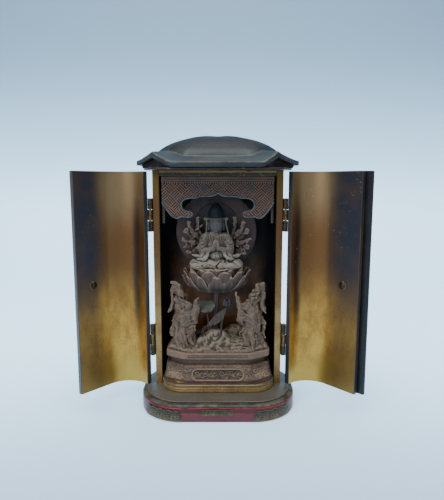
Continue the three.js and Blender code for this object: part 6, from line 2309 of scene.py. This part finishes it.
def attendant_forms(a, reach):
    """Skirts, trunk, head, raised sleeve, beast hood, hanging sleeve and sash, as large soft forms."""
    a.lay([(-0.06, 0.0, 0.0), (-0.055, 0.0, 0.14), (-0.055, 0.0, 0.34), (-0.06, 0.0, 0.46)],
          [0.135, 0.15, 0.125, 0.13], 0)
    a.lay([(0.01, 0.01, 0.02), (0.02, 0.01, 0.2), (0.0, 0.01, 0.4)], [0.08, 0.085, 0.085], 2.0)
    a.lay([(-0.05, 0.0, 0.44), (-0.07, -0.01, 0.56), (-0.09, -0.01, 0.6)], [0.13, 0.105, 0.06], 2.0)
    a.ball((-0.115, -0.07, 0.635), (0.06, 0.065, 0.07), 0.5)
    a.ball((-0.175, -0.05, 0.54), (0.06, 0.05, 0.12), 0.8)
    a.lay([(-0.13, -0.03, 0.56), (-0.19, -0.06, 0.475), (-0.215, -0.07, 0.44)], [0.055, 0.055, 0.05], 1.0)
    a.lay([(-0.2, -0.06, 0.4), (-0.215, -0.06, 0.5), (-0.225, -0.055, 0.6), (-0.235, -0.05, 0.68)],
          [0.045, 0.052, 0.05, 0.036], 1.0)
    a.lay([(-0.235, -0.05, 0.66), reach], [0.04, 0.012], 0.6)
    a.lay([(0.02, 0.1, 0.5), (0.05, 0.11, 0.66), (0.08, 0.08, 0.8), (0.09, 0.05, 0.87)],
          [0.085, 0.08, 0.07, 0.05], 1.2)
    a.lay([(0.08, 0.04, 0.92), (0.04, 0.01, 0.87), (-0.01, -0.02, 0.79), (-0.06, -0.03, 0.71)],
          [0.04, 0.06, 0.06, 0.045], 1.2)
    a.lay([(0.1, 0.03, 0.9), (0.125, 0.02, 0.8), (0.115, 0.02, 0.68), (0.145, 0.0, 0.58),
           (0.178, -0.01, 0.525)],
          [0.045, 0.036, 0.034, 0.034, 0.014], 0.8, flat=0.8)
    a.lay([(0.03, 0.0, 0.72), (-0.02, -0.02, 0.66), (0.02, -0.01, 0.6)], [0.05, 0.045, 0.05], 1.0)
    a.lay([(0.1, 0.02, 0.44), (0.13, 0.02, 0.34), (0.13, 0.01, 0.22), (0.15, 0.0, 0.15)],
          [0.03, 0.026, 0.03, 0.02], 0.8, flat=0.7, across=(0.2, 1, 0))
    a.lay([(0.08, 0.0, 0.12), (0.07, -0.02, 0.04), (0.02, -0.06, -0.01)], [0.045, 0.04, 0.025], 0.8)


print("masses ready: skirts, trunk, head, sleeves, hood, sash")

# %% [markdown]
# The hood hangs in flaps of unlike length with short dark gaps under them, and a collar of three folds
# closes it at the neck. Two eggs are cut away, for the hollow in the hood and the gap behind the skirt.

# %% The hood's folds


def hood_folds(a, lift):
    """Drooping flaps of unlike length across the hood, with short gaps under them, and the collar below."""
    for z, near, far, droop, gap in [(0.94, 0.11, 0.03, 0.03, 0.0), (0.88, 0.115, -0.03, 0.05, 0.5),
                                     (0.8, 0.05, -0.08, 0.035, 1.0), (0.735, 0.08, -0.11, 0.06, 0.0)]:
        z += lift
        path = [(near, z - 0.01), ((near + far) / 2 + 0.01, z + 0.012), (far + 0.01, z - 0.4 * droop),
                (far - 0.01, z - droop)]
        a.fold(path, [0.008, 0.02, 0.02, 0.01], proud=0.4)
        if gap:
            a.fold([(x, z - 0.036) for x, z in path[1:]], [0.006 + 0.006 * gap, 0.011, 0.004], proud=0.5,
                   carve=True)
    for k in range(3):
        a.fold([(0.085 - 0.02 * k, 0.66 - 0.045 * k), (0.0, 0.6 - 0.04 * k), (-0.09, 0.575 - 0.035 * k),
                (-0.17, 0.53 - 0.03 * k)],
               [0.006, 0.015, 0.014, 0.006], proud=0.35)
    for place, size in [((0.075, -0.02, 0.79 + lift), (0.03, 0.09, 0.014)),
                        ((0.09, 0.0, 0.3), (0.016, 0.1, 0.05))]:
        a.clay.cut(egg(a.at(*place), np.array(size) * ATTENDANT_H), 0.4)


print("hood ready: four flaps and a collar")

# %% [markdown]
# Belts and skirts are what tells the two attendants apart. One skirt has broad folds that slant to the far
# foot, the other falls in two fronts to a point. Each fold is a ridge with a groove cut beside it, because
# a ridge without a groove looks laid on.

# %% Belts and skirts


def belt_swirls(a):
    """Knotted cloth at the waist: a few short curls and a girdle."""
    for k, (x, z, r) in enumerate([(-0.03, 0.46, 0.05), (-0.14, 0.45, 0.042), (-0.08, 0.39, 0.045),
                                   (0.03, 0.385, 0.035)]):
        turn = np.linspace(1.7 * k, 1.7 * k + 4.4, 7)
        size = r * np.linspace(1, 0.3, 7)
        a.fold(np.stack([x + size * np.cos(turn), z + 0.8 * size * np.sin(turn)], -1),
               [0.01] * 3 + [0.014] * 4, proud=0.35)
    a.fold([(0.06, 0.35), (-0.06, 0.315), (-0.19, 0.34)], [0.01, 0.015, 0.01], proud=0.4)


def slant_skirt(a):
    """Broad folds that slant from the hip to the far foot."""
    for x0, x1, x2, size in [(0.05, -0.02, -0.06, 0.026), (-0.02, -0.09, -0.12, 0.03),
                             (-0.1, -0.15, -0.17, 0.026),
                             (-0.17, -0.2, -0.19, 0.018), (0.08, 0.05, 0.0, 0.018)]:
        path = [(x0, 0.32), ((x0 + x1) / 2 - 0.01, 0.21), (x1, 0.1), (x2, 0.01)]
        a.fold(path, [0.008, size * 0.8, size, size * 0.7], proud=0.3)
        a.fold([(x + 0.02, z) for x, z in path], [0.003, 0.006, 0.007, 0.004], proud=0.72, carve=True)


def pointed_skirt(a):
    """Two broad fronts that fall to a point between the feet, with narrow folds beside them."""
    for side in (-1, 1):
        for k, size in enumerate([0.03, 0.022, 0.016]):
            out = side * (0.025 + 0.05 * k)
            a.fold([(-0.07 + 0.5 * out, 0.33), (-0.07 + 1.2 * out, 0.21), (-0.055 + out, 0.1),
                    (-0.05 + 0.7 * out, 0.01 + 0.03 * k)],
                   [0.008, size, size, 0.01], proud=0.3)
            a.fold([(-0.07 + 0.5 * out, 0.31), (-0.07 + 1.55 * out, 0.2), (-0.055 + 1.5 * out, 0.06)],
                   [0.003, 0.007, 0.005], proud=0.72, carve=True)
    a.lay([(-0.06, -0.12, 0.22), (-0.05, -0.15, 0.1), (-0.04, -0.17, 0.01)], [0.035, 0.032, 0.01], 0.8)


print("belts and skirts ready: one slanting, one pointed")

# %% [markdown]
# Now the parts come together. Each attendant's foot is cut to the waves it stands on, by taking the larger
# of the clay's distance and the height above the sea, so that no gap or overlap shows.

# %% The two attendants


def attendant(name, sign):
    """Clay of one attendant: sign is -1 at the left and 1 at the right."""
    a = Robed(name, sign)
    attendant_forms(a, (-0.257, -0.045, 0.77) if sign < 0 else (-0.29, -0.045, 0.82))
    if sign < 0:
        a.lay([(0.08, 0.03, 0.93), (0.125, 0.02, 0.965), (0.15, 0.02, 0.995)], [0.035, 0.02, 0.008], 0.6)
        slant_skirt(a)
    else:
        a.lay([(0.04, 0.03, 0.94), (0.1, 0.02, 0.945)], [0.04, 0.04], 0.8)
        pointed_skirt(a)
    belt_swirls(a)
    hood_folds(a, 0.0 if sign < 0 else 0.01)
    a.fold([(-0.205, 0.43), (-0.215, 0.55), (-0.225, 0.68)], [0.006, 0.012, 0.006], proud=0.4)
    for k in range(3):
        z = 0.4 - 0.09 * k
        a.fold([(0.11, z), (0.15, z - 0.03), (0.13, z - 0.06)], [0.006, 0.014, 0.006], proud=0.45)
    worked(a.clay, 0.16, 3.4, 14 if sign < 0 else 15)
    low = a.clay.low
    part, (x, y, z) = a.clay.window(low, low + [100, 100, 14])
    ground = z - (mound_low[2] + wave_height(x + 0 * y, y + 0 * x) * 0.55)
    a.clay.depth[part] = -soft_min(-a.clay.depth[part], ground, 0)
    a.clay.depth[[0, -1]] = 4.0
    a.clay.depth[:, [0, -1]] = 4.0
    a.clay.depth[:, :, [0, -1]] = 4.0
    return a.clay


for name, sign in [("left_attendant", -1), ("right_attendant", 1)]:
    clay_piece(f"{name}_carved", attendant(name, sign), carving, stands_for=[name], slot="carved_wood")

# %% [markdown]
# The canopy is a thin board with a cusped lower edge and a basket weave of slanting cords cut into its
# face. The weave is a checkerboard of tiles; in each tile the cords run along one diagonal, as cos(2 pi d /
# pitch).

# %% The canopy's outline
canopy_low, canopy_high = node_box("canopy_front")
CUSPS = [
    [(0, 143.1), (2.6, 141.6), (6.0, 141.1), (11.5, 140.9), (14.8, 139.9)],
    [(14.8, 139.9), (18.0, 139.9), (21.3, 139.3), (23.5, 137.3), (23.7, 134.8), (22.3, 132.7), (19.5, 131.9),
     (17.4, 131.4), (16.6, 129.6), (17.5, 127.8), (20.5, 127.2), (24.4, 127.7)],
    [(24.4, 127.7), (27.4, 126.45), (30.5, 127.9), (33.0, 130.6), (35.0, 133.6), (37.2, 136.9)],
]


def canopy_line():
    """The cusped edge from left to right, smooth between cusps."""
    half = np.concatenate([curve(part, 6)[: None if k == 2 else -1] for k, part in enumerate(CUSPS)])
    return np.concatenate([half[:0:-1] * [-1, 1], half])


def inside_outline(x, z, outline):
    """Signed distance in the plane to a closed outline: nearest edge, below zero inside by crossing count."""
    a, b = outline, np.roll(outline, -1, 0)
    best, inside = np.full(x.shape, 1e9), np.zeros(x.shape, bool)
    for p, q in zip(a, b):
        way = q - p
        t = np.clip(((x - p[0]) * way[0] + (z - p[1]) * way[1]) / (way @ way + 1e-12), 0, 1)
        best = np.minimum(best, (x - p[0] - t * way[0]) ** 2 + (z - p[1] - t * way[1]) ** 2)
        crosses = ((p[1] > z) != (q[1] > z)) & (x < way[0] * (z - p[1]) / (way[1] if way[1] else 1e-9) + p[0])
        inside ^= crosses
    return np.sqrt(best) * np.where(inside, -1, 1)


def basket_weave(x, z, tile=5.6, cords=4):
    """-1 between cords and 1 on them; tiles of the two diagonals alternate."""
    a, b = (x + z) / math.sqrt(2), (x - z) / math.sqrt(2)
    even = (np.floor(a / tile) + np.floor(b / tile)) % 2 == 0
    across = np.where(even, b, a)
    along = np.where(even, a, b) / tile % 1
    return np.cos(2 * np.pi * cords * across / tile) * np.clip(7 * np.minimum(along, 1 - along), 0.2, 1)


print("cusped edge points:", len(canopy_line()))

# %% [markdown]
# The board could be cut out as a flat outline and thickened, but then its weave and the round bead along
# its edge would need a second mesh. As clay, the outline, the sunk face, the cords, the plain top strip
# with its row of teeth, and the bead all come out as one surface.

# %% The canopy as clay
STRIP_Z = 150.6
TEETH_Z = 149.6
CANOPY_HALF = 37.2
CANOPY_TOP = 154.2


def canopy_board():
    """Distance to the board: the largest of its outline, its worked face and its back, joined to the bead."""
    clay = Clay(canopy_low - [0.8, 1.0, 0.8], canopy_high + [0.8, 0.8, 0.8], 0.22)
    line = canopy_line()
    outline = np.concatenate([[[-CANOPY_HALF, CANOPY_TOP]], line, [[CANOPY_HALF, CANOPY_TOP]]])
    _, (x, y, z) = clay.window(clay.low, clay.low + 1000)
    flat_x, flat_z = np.broadcast_arrays(x[:, 0], z[0])
    plane = inside_outline(flat_x, flat_z, outline)
    edge = near_line(flat_x, flat_z, curve(line, 3))
    strip = flat_z > STRIP_Z
    teeth = (flat_z > TEETH_Z) & ~strip
    face = 0.26 * basket_weave(flat_x, flat_z)
    face = np.where(strip, 0.45 + 0.14 * np.cos(2 * np.pi * (flat_z - STRIP_Z) / 1.15), face)
    face = np.where(teeth, 0.4 * np.sign(np.cos(2 * np.pi * flat_x / 1.5)), face)
    face = np.where(edge < 1.25, -0.25, face)
    bead = np.abs(edge - 0.42)[:, None, :]
    board = np.maximum(np.maximum(plane[:, None, :], canopy_low[1] + 0.55 - face[:, None, :] - y),
                       y - canopy_high[1])
    tube_gap = np.sqrt(bead**2 + (y - canopy_low[1] - 0.5) ** 2) - 0.44
    tube_gap = np.maximum(tube_gap, plane[:, None, :] - 0.05)
    clay.depth = np.clip(soft_min(board, tube_gap, 0.15), -4, 4).astype(np.float32)
    return clay


clay = canopy_board()
points, quads, relief = surface(clay, 0.6)
print("canopy clay:", clay.count, "cells,", len(points), "points")

# %% [markdown]
# The weave's finish follows two attributes: "relief" is 1 on a cord and -1 between cords, and "bead" is 1
# on the round edge. Both are worked out again at the mesh's own points, so that colour and form agree
# exactly.

# %% The canopy's finish and mesh


def canopy_finish():
    """Brown cords over dark hollows, a grey bead at the edge, and two dull spots of blue-green paint."""
    f = Finish("canopy_weave", roughness=0.6)
    cord = f.attribute("relief")
    bead = f.attribute("bead")
    old = f.ramp(f.noise(8, detail=3), 0.35, 0.65)
    hollow = f.mix(old, tone(24, 14, 12), tone(36, 23, 18))
    crest = f.mix(old, tone(138, 90, 62), tone(108, 80, 64))
    wood = f.mix(f.ramp(cord, -0.5, 0.6), hollow, crest)
    dust = f.times(f.ramp(f.noise(5, shift=3.0), 0.4, 0.7), f.ramp(cord, 0.0, 0.8, 0.1, 0.5))
    wood = f.mix(dust, wood, tone(110, 92, 80))
    x, z = f.axis("X"), f.axis("Z")
    wobble = f.times(f.noise(1.2), 1.2)
    for cx, cz in [(-9.2, 147.4), (21.7, 147.8)]:
        dx, dz = f.minus(x, cx), f.minus(z, cz)
        far = f.length(dx, dz)
        spot = f.times(f.ramp(f.plus(far, wobble), 3.2, 1.9), f.ramp(cord, -0.8, 0.5, 0.4, 0.9))
        wood = f.mix(spot, wood, tone(50, 66, 70))
    beaded = f.mix(f.ramp(f.noise(3), 0.3, 0.6), tone(64, 68, 72), tone(92, 96, 96))
    f.colour(f.mix(bead, wood, beaded))
    f.bump(f.noise(0.4, detail=4), 0.03)
    return f.material


facing = points[:, 1] < canopy_low[1] + 1.3
edge = near_line(points[:, 0], points[:, 2], curve(canopy_line(), 3))
bead = np.clip((1.15 - edge) / 0.3, 0, 1) * facing
cords = np.where(facing, np.clip(basket_weave(points[:, 0], points[:, 2]), -1, 1), -0.2)
in_strip = facing & (points[:, 2] > TEETH_Z)
cords = np.where(in_strip, np.clip(relief * 4, -1, 0.7), cords)
canopy_weave = canopy_finish()
make_piece("canopy_board", points, quads, canopy_weave, stands_for=["canopy_front"], slot="carved_wood",
           attributes={"relief": cords, "bead": bead}, sharp=80)


# %% [markdown]
# A cheek closes the canopy at each side, along the wall. It is the same clay seen from the side: an outline
# in Y and Z with a scooped lower edge, and a shallow weave on both faces.

# %% The canopy's cheeks


def canopy_cheek(name):
    """A side cheek: a board along the wall whose lower edge scoops up to the back and ends in a tail."""
    low, high = node_box(name)
    clay = Clay(low - 0.8, high + 0.8, 0.24)
    _, (x, y, z) = clay.window(clay.low, clay.low + 1000)
    top, depth = high[2], high[1] - low[1]
    line = curve([(0, 1.0), (1.5, 0.0), (3.5, 2.5), (5.5, 7.0), (depth, 12.0)], 6) + [low[1], low[2]]
    outline = np.concatenate([[[low[1], top]], line, [[high[1], top]]])
    flat_y, flat_z = np.broadcast_arrays(y[0], z[0])
    plane = inside_outline(flat_y, flat_z, outline)[None]
    inner = 0.12 * basket_weave(flat_y, flat_z)[None]
    faces = np.maximum(low[0] + 0.15 - x, x - high[0] + 0.15) - inner
    clay.depth = np.clip(np.maximum(plane, faces), -4, 4).astype(np.float32)
    points, quads, relief = surface(clay, 0.6)
    make_piece(f"{name}_board", points, quads, cheek_wood, stands_for=[name], slot="carved_wood", sharp=80,
               attributes={"relief": np.clip(relief * 3, -1, 1)})


cheek_wood = carved_wood(
    "cheek_wood", tone(22, 15, 12), tone(56, 42, 34), tone(92, 72, 58), tone(84, 72, 62), 0.3)
canopy_cheek("canopy_left_side")
canopy_cheek("canopy_right_side")

# %% [markdown]
# A hinge is two plates with knuckles that share a pin. The cabinet's plate has the outer two knuckles and
# the door's plate the middle one. Fine clay gives their edges the small radius that filing leaves.

# %% A hinge's leaves


def upright_tube(centre, radius, z0, z1, bore=0.0):
    """A tube along Z: the larger of distance past the radius, inside the bore, and past the ends."""

    def distance(x, y, z):
        far = np.sqrt((x - centre[0]) ** 2 + (y - centre[1]) ** 2)
        return np.maximum(np.maximum(far - radius, bore - far), np.maximum(z0 - z, z - z1))

    reach = np.array([radius, radius])
    return distance, np.array([*(centre - reach), z0]), np.array([*(centre + reach), z1])


KNUCKLE_RADIUS = 1.6
BORE_RADIUS = 0.78
PLATE_THICKNESS = 0.5


def hinge_plate(side, sign, level, on_door):
    """One leaf: a plate against the wall, a tab and a knuckle for each span of the pin, and rivet heads."""
    name = f"{side}_{level}_hinge_{'door' if on_door else 'cabinet'}_leaf"
    pin_low, pin_high = node_box(f"{side}_{level}_hinge_pin")
    z0, tall = pin_low[2] - 0.1, pin_high[2] - pin_low[2] + 0.2
    pivot = door_hinge[f"{side}_door"][:2]
    inner = body_half_width + 0.1
    plate_x = sorted([sign * inner, sign * (inner + PLATE_THICKNESS)])
    third, gap = tall / 3, 0.15
    spans = [(third + gap, 2 * third - gap)] if on_door else [(0, third - gap), (2 * third + gap, tall)]
    near, far = (pivot[1] - 3.85, pivot[1] - 1.8) if on_door else (pivot[1] + 1.8, pivot[1] + 7.0)
    clay = Clay([pivot[0] - 2.4, pivot[1] - 5.0, z0 - 0.8], [pivot[0] + 2.4, pivot[1] + 8.0, z0 + tall + 0.8],
                0.2)
    margin = 0.4 if on_door else 0.0
    clay.add(slab([plate_x[0], near, z0 + margin], [plate_x[1], far, z0 + tall - margin]), 0)
    for a, b in spans:
        tab = (far - 0.1, pivot[1] - 0.9) if on_door else (pivot[1] + 0.9, near + 0.1)
        clay.add(slab([plate_x[0], tab[0], z0 + a], [plate_x[1], tab[1], z0 + b]), 0)
        clay.add(upright_tube(pivot, KNUCKLE_RADIUS, z0 + a, z0 + b), 0.15)
    clay.cut(upright_tube(pivot, BORE_RADIUS, z0 - 1, z0 + tall + 1), 0)
    if on_door:
        clay.cut(slab([-100, pivot[1] - 1.75, z0 - 1], [100, pivot[1] + 3, z0 + third + gap]), 0)
        clay.cut(slab([-100, pivot[1] - 1.75, z0 + 2 * third - gap], [100, pivot[1] + 3, z0 + tall + 1]), 0)
    for up in (0.2, 0.5, 0.8):
        spot = np.array([sign * (inner + PLATE_THICKNESS), (near + far) / 2 if on_door else near + 3.2,
                         z0 + tall * up])
        if not on_door or up == 0.5:
            clay.add(egg(spot, (0.3, 0.55, 0.55)), 0.1)
    points, quads, relief = surface(clay, 0.6)
    body = "cabinet"
    if on_door:
        body = f"{side}_door"
        points = turned(points, body, -open_angle[body])
    finish = rubbed_bronze if on_door else dark_bronze
    make_piece(f"{name}_filed", points, quads, finish, body=body, stands_for=[name], sharp=45,
               slot="aged_gold" if on_door else "dark_bronze", attributes={"edge": np.clip(relief * 3, 0, 1)})


print("knuckle", 2 * KNUCKLE_RADIUS, "mm thick with a bore of", 2 * BORE_RADIUS, "mm")

# %% [markdown]
# Each pin is a turned rod, a little thinner than the bore. It belongs to the cabinet, and the door's knuckle
# turns round it.

# %% Pins, and all four hinges


def hinge_pin(side, level):
    """A turned rod with rounded ends."""
    name = f"{side}_{level}_hinge_pin"
    low, high = node_box(name)
    centre = [*((low + high) / 2)[:2], low[2]]
    tall = high[2] - low[2]
    profile = [(0.3, 0), (0.55, 0.05), (0.65, 0.2), (0.65, tall - 0.2), (0.55, tall - 0.05), (0.3, tall)]
    points, quads, triangles = capped(spun(profile, centre, (0, 0, 1), 20))
    quads, triangles = outward_facing(points, quads, triangles)
    make_piece(f"{name}_rod", points, quads, dark_bronze, triangles=triangles, stands_for=[name],
               slot="dark_bronze", attributes={"edge": np.full(len(points), 0.4)})


for side, sign in [("left", -1), ("right", 1)]:
    for level in ("upper", "lower"):
        hinge_plate(side, sign, level, False)
        hinge_plate(side, sign, level, True)
        hinge_pin(side, level)

# %% [markdown]
# Thin mounts trim the plinth's corners. Their upper edge is scalloped like a cloud and their ends are
# notched to a point. A mount is a sheet bent round the corner: angle by height, with its own top line.

# %% Mounts on the plinth


def cloud_top(s):
    """The scalloped top of a corner mount: share of its height at each place s from -1 to 1 along it."""
    lobes = 0.86 + 0.14 * np.abs(np.cos(2.5 * np.pi * s)) ** 0.8
    return lobes * np.interp(np.abs(s), [0, 0.8, 0.86, 0.93, 1.0], [1, 0.97, 0.9, 0.62, 0.5])


def mount_finish():
    """Dark bronze above, gold-brown below, pierced with dark holes beside rows of gold dots."""
    f = Finish("mount_bronze", roughness=0.42, metallic=0.6)
    along, up = f.attribute("along"), f.attribute("up")
    patina = f.ramp(f.noise(2.0, detail=5), 0.32, 0.68)
    dark = f.mix(patina, tone(36, 32, 28), tone(62, 54, 43))
    warm = f.mix(patina, tone(70, 56, 40), tone(104, 86, 60))
    field = f.mix(f.ramp(up, 0.62, 0.5), dark, warm)
    cell = f.minus(f.math("FRACT", f.times(along, 0.42)), 0.5)
    rise = f.minus(up, 0.42)
    far = f.plus(f.times(cell, cell), f.times(f.times(rise, rise), 2.2))
    field = f.mix(f.ramp(far, 0.024, 0.012), field, tone(24, 18, 14))
    dot_cell = f.minus(f.math("FRACT", f.times(along, 0.84)), 0.5)
    dot_rise = f.minus(up, 0.72)
    dot_far = f.plus(f.times(dot_cell, dot_cell), f.times(f.times(dot_rise, dot_rise), 12))
    field = f.mix(f.times(f.ramp(dot_far, 0.03, 0.01), 0.8), field, tone(150, 122, 76))
    rim = f.attribute("edge")
    f.colour(f.mix(f.times(f.ramp(rim, 0.4, 0.9), 0.6), field, tone(124, 110, 84)))
    f.bump(f.noise(0.6, detail=4), 0.04)
    return f.material


mount_bronze = mount_finish()
print("mount finish:", mount_bronze.name)

# %% [markdown]
# A corner mount lies on the band's rounded corner, 0.38 mm out from it, and spans 54 degrees. The front's
# middle mount is flat. Both are one sheet function with another surface to lie on.

# %% Mounts bent to the plinth
BAND_PROUD = 8.5
MOUNT_GAP = 0.38
MOUNT_MIDDLE = math.radians(63)
MOUNT_SPAN = math.radians(54)


def mount_sheet(name, surface_at, length, tall, top, node, thickness=0.28):
    """A bent plate: surface_at(place along, height) gives points; top gives its upper line's share."""
    s = np.linspace(-1, 1, 90)[:, None]
    v = np.linspace(0, 1, 16)[None, :]
    height = tall * v * top(s)
    grid = surface_at(s * length / 2, height)
    points, quads, triangles = sheet_skin(grid, np.full(grid.shape[:2], thickness))
    quads, triangles = outward_facing(points, quads, triangles)
    rim = np.maximum(np.maximum(v**10, np.abs(s) ** 60), 0.8 * (1 - v) ** 12) + 0 * s
    attributes = {"edge": both_faces(rim), "along": both_faces(s * length / 2 + 0 * v),
                  "up": both_faces(v + 0 * s)}
    make_piece(name, points, quads, mount_bronze, triangles=triangles, stands_for=[node], slot="dark_bronze",
               attributes=attributes, sharp=60)


def corner_surface(sx, sy, base):
    """Points on the plinth's rounded corner, the middle of a plate that lies on its band."""
    cx, cy = body_half_width - BODY_CORNER, body_half_depth - BODY_CORNER
    radius = BODY_CORNER + BAND_PROUD + MOUNT_GAP

    def place(along, height):
        angle = MOUNT_MIDDLE + along / radius
        x = sx * (cx + radius * np.cos(angle)) + 0 * height
        y = sy * (cy + radius * np.sin(angle)) + 0 * height
        return np.stack([x, y, base + height + 0 * along], -1)

    return place


for name, sx, sy in [("front_left", -1, -1), ("front_right", 1, -1), ("back_left", -1, 1),
                     ("back_right", 1, 1)]:
    node = f"plinth_mount_{name}"
    low, high = node_box(node)
    length = MOUNT_SPAN * (BODY_CORNER + 9.2)
    mount_sheet(f"{node}_plate", corner_surface(sx, sy, low[2]), length, high[2] - low[2], cloud_top, node)

low, high = node_box("plinth_mount_centre")


def flat_surface(along, height):
    """Points on the plinth's front."""
    none = 0 * along + 0 * height
    return np.stack([along + none, low[1] + 0.28 + none, low[2] + height + none], -1)


def three_lobes(s):
    return 0.9 + 0.1 * np.abs(np.cos(3 * np.pi * s))


mount_sheet("plinth_mount_centre_plate", flat_surface, high[0] - low[0], high[2] - low[2], three_lobes,
            "plinth_mount_centre", 0.25)

# %% [markdown]
# Outside, each door carries three flat bronze mounts near its meeting edge. They show only when the doors
# are seen from behind or closed, and get the same care: a plate is its outline, drawn in level by level to
# a bevel, and closed by a fan.

# %% Mounts on the doors


def plate_outline(inner, outer, z0, z1, taper_up, taper_down):
    """A plate's outline: straight along the meeting edge, with an end drawn to a soft cusp."""
    tall = z1 - z0
    low = z0 + (tall * 0.3 if taper_down else 0)
    high = z1 - (tall * 0.3 if taper_up else 0)
    span = outer - inner
    lower = [(inner, z0), (inner + 0.22 * span, z0), (inner + 0.45 * span, low * 0.75 + z0 * 0.25),
             (inner + 0.7 * span, low)]
    upper = [(inner + 0.7 * span, high), (inner + 0.45 * span, high * 0.75 + z1 * 0.25),
             (inner + 0.22 * span, z1), (inner, z1)]
    line = np.concatenate([curve(lower, 6), [(outer - 0.4, low), (outer, low + 0.4), (outer, high - 0.4),
                                             (outer - 0.4, high)], curve(upper, 6)])
    return line


def shrunk(outline, amount):
    """Moves each point of a closed outline inward by amount, along the bisector of its edges."""
    before, after = outline - np.roll(outline, 1, 0), np.roll(outline, -1, 0) - outline
    way = before / (np.linalg.norm(before, axis=1)[:, None]
                    + 1e-9) + after / (np.linalg.norm(after, axis=1)[:, None] + 1e-9)
    way /= np.linalg.norm(way, axis=1)[:, None] + 1e-9
    area = np.sum(outline[:, 0] * np.roll(outline[:, 1], -1) - np.roll(outline[:, 0], -1) * outline[:, 1])
    return outline + np.sign(area) * amount * np.stack([-way[:, 1], way[:, 0]], -1)


PLATE_WIDE = 15


def door_plate(side, sign, part, z0, z1, taper_up, taper_down):
    """A bevelled plate on the door's outside: its outline drawn in level by level, turned with the door."""
    body = f"{side}_door"
    inner = 4.8 if sign > 0 else 5.2
    outline = plate_outline(inner, inner + PLATE_WIDE, z0, z1, taper_up, taper_down) * [sign, 1]
    y = -body_half_depth - 0.1
    levels = [(0.0, y), (0.0, y - 0.35), (0.12, y - 0.52), (0.35, y - 0.6), (0.9, y - 0.6), (1.1, y - 0.5),
              (1.4, y - 0.5)]
    rings = np.array([shrunk(outline, inset)[:, [0, 1, 1]] for inset, _ in levels])
    rings[..., 1] = np.array([depth for _, depth in levels])[:, None]
    points, quads, triangles = capped(rings)
    quads, triangles = outward_facing(points, quads, triangles)
    points = turned(points, body, -open_angle[body])
    wear = np.append(np.repeat([0, 0.3, 1, 0.9, 0.5, 0, 0], len(outline)), [0, 0])
    make_piece(f"{body}_mount_{part}_plate", points, quads, dark_bronze, body=body, triangles=triangles,
               stands_for=[f"{body}_mount_{part}"], slot="dark_bronze", attributes={"edge": wear}, sharp=50)


for side, sign in [("left", -1), ("right", 1)]:
    for part in ("top", "middle", "bottom"):
        low, high = node_box(f"{side}_door_mount_{part}")
        door_plate(side, sign, part, low[2], high[2], part != "top", part != "bottom")


# %% [markdown]
# The strip is a bar whose section is a rectangle with rounded edges, drawn in a little at both ends. It
# rides on the right door, because that door closes last.

# %% The strip over the joint


def meeting_strip():
    """A bar along Z whose section has rounded edges, hung on the right door."""
    low, high = node_box("meeting_strip")
    x0, x1, y0, y1, ease = -4.4, 4.4, -body_half_depth - 2.1, -body_half_depth - 0.3, 0.5
    turn = np.linspace(0, np.pi / 2, 6)
    corners = [(x1 - ease, y1 - ease, 0), (x0 + ease, y1 - ease, 1), (x0 + ease, y0 + ease, 2),
               (x1 - ease, y0 + ease, 3)]
    section = np.concatenate([np.stack([cx + ease * np.cos(turn + k * np.pi / 2),
                                        cy + ease * np.sin(turn + k * np.pi / 2)], -1)
                              for cx, cy, k in corners])
    middle = section.mean(0)
    z = np.array([low[2], low[2] + 0.2, low[2] + 0.5, *np.linspace(low[2] + 8, high[2] - 8, 8), high[2] - 0.5,
                  high[2] - 0.2, high[2]])
    shrink = np.ones(len(z))
    shrink[[0, -1]], shrink[[1, -2]] = 0.9, 0.98
    flat = middle + (section - middle)[None] * shrink[:, None, None]
    rings = np.concatenate([flat, np.broadcast_to(z[:, None, None], flat.shape[:2] + (1,))], -1)
    points, quads, triangles = capped(rings)
    quads, triangles = outward_facing(points, quads, triangles)
    points = turned(points, "right_door", -open_angle["right_door"])
    edge_share = np.append(np.tile(np.repeat([0.8], len(section)), len(z)), [0, 0]) * 0.6
    make_piece("meeting_strip_bar", points, quads, outer_lacquer, body="right_door", triangles=triangles,
               stands_for=["meeting_strip"], slot="black_lacquer", attributes={"edge": edge_share})


meeting_strip()

# %% Write sizes and finish
low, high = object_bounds()
print("visual box in mm:", [round(v / MM, 1) for v in (*low, *high)])
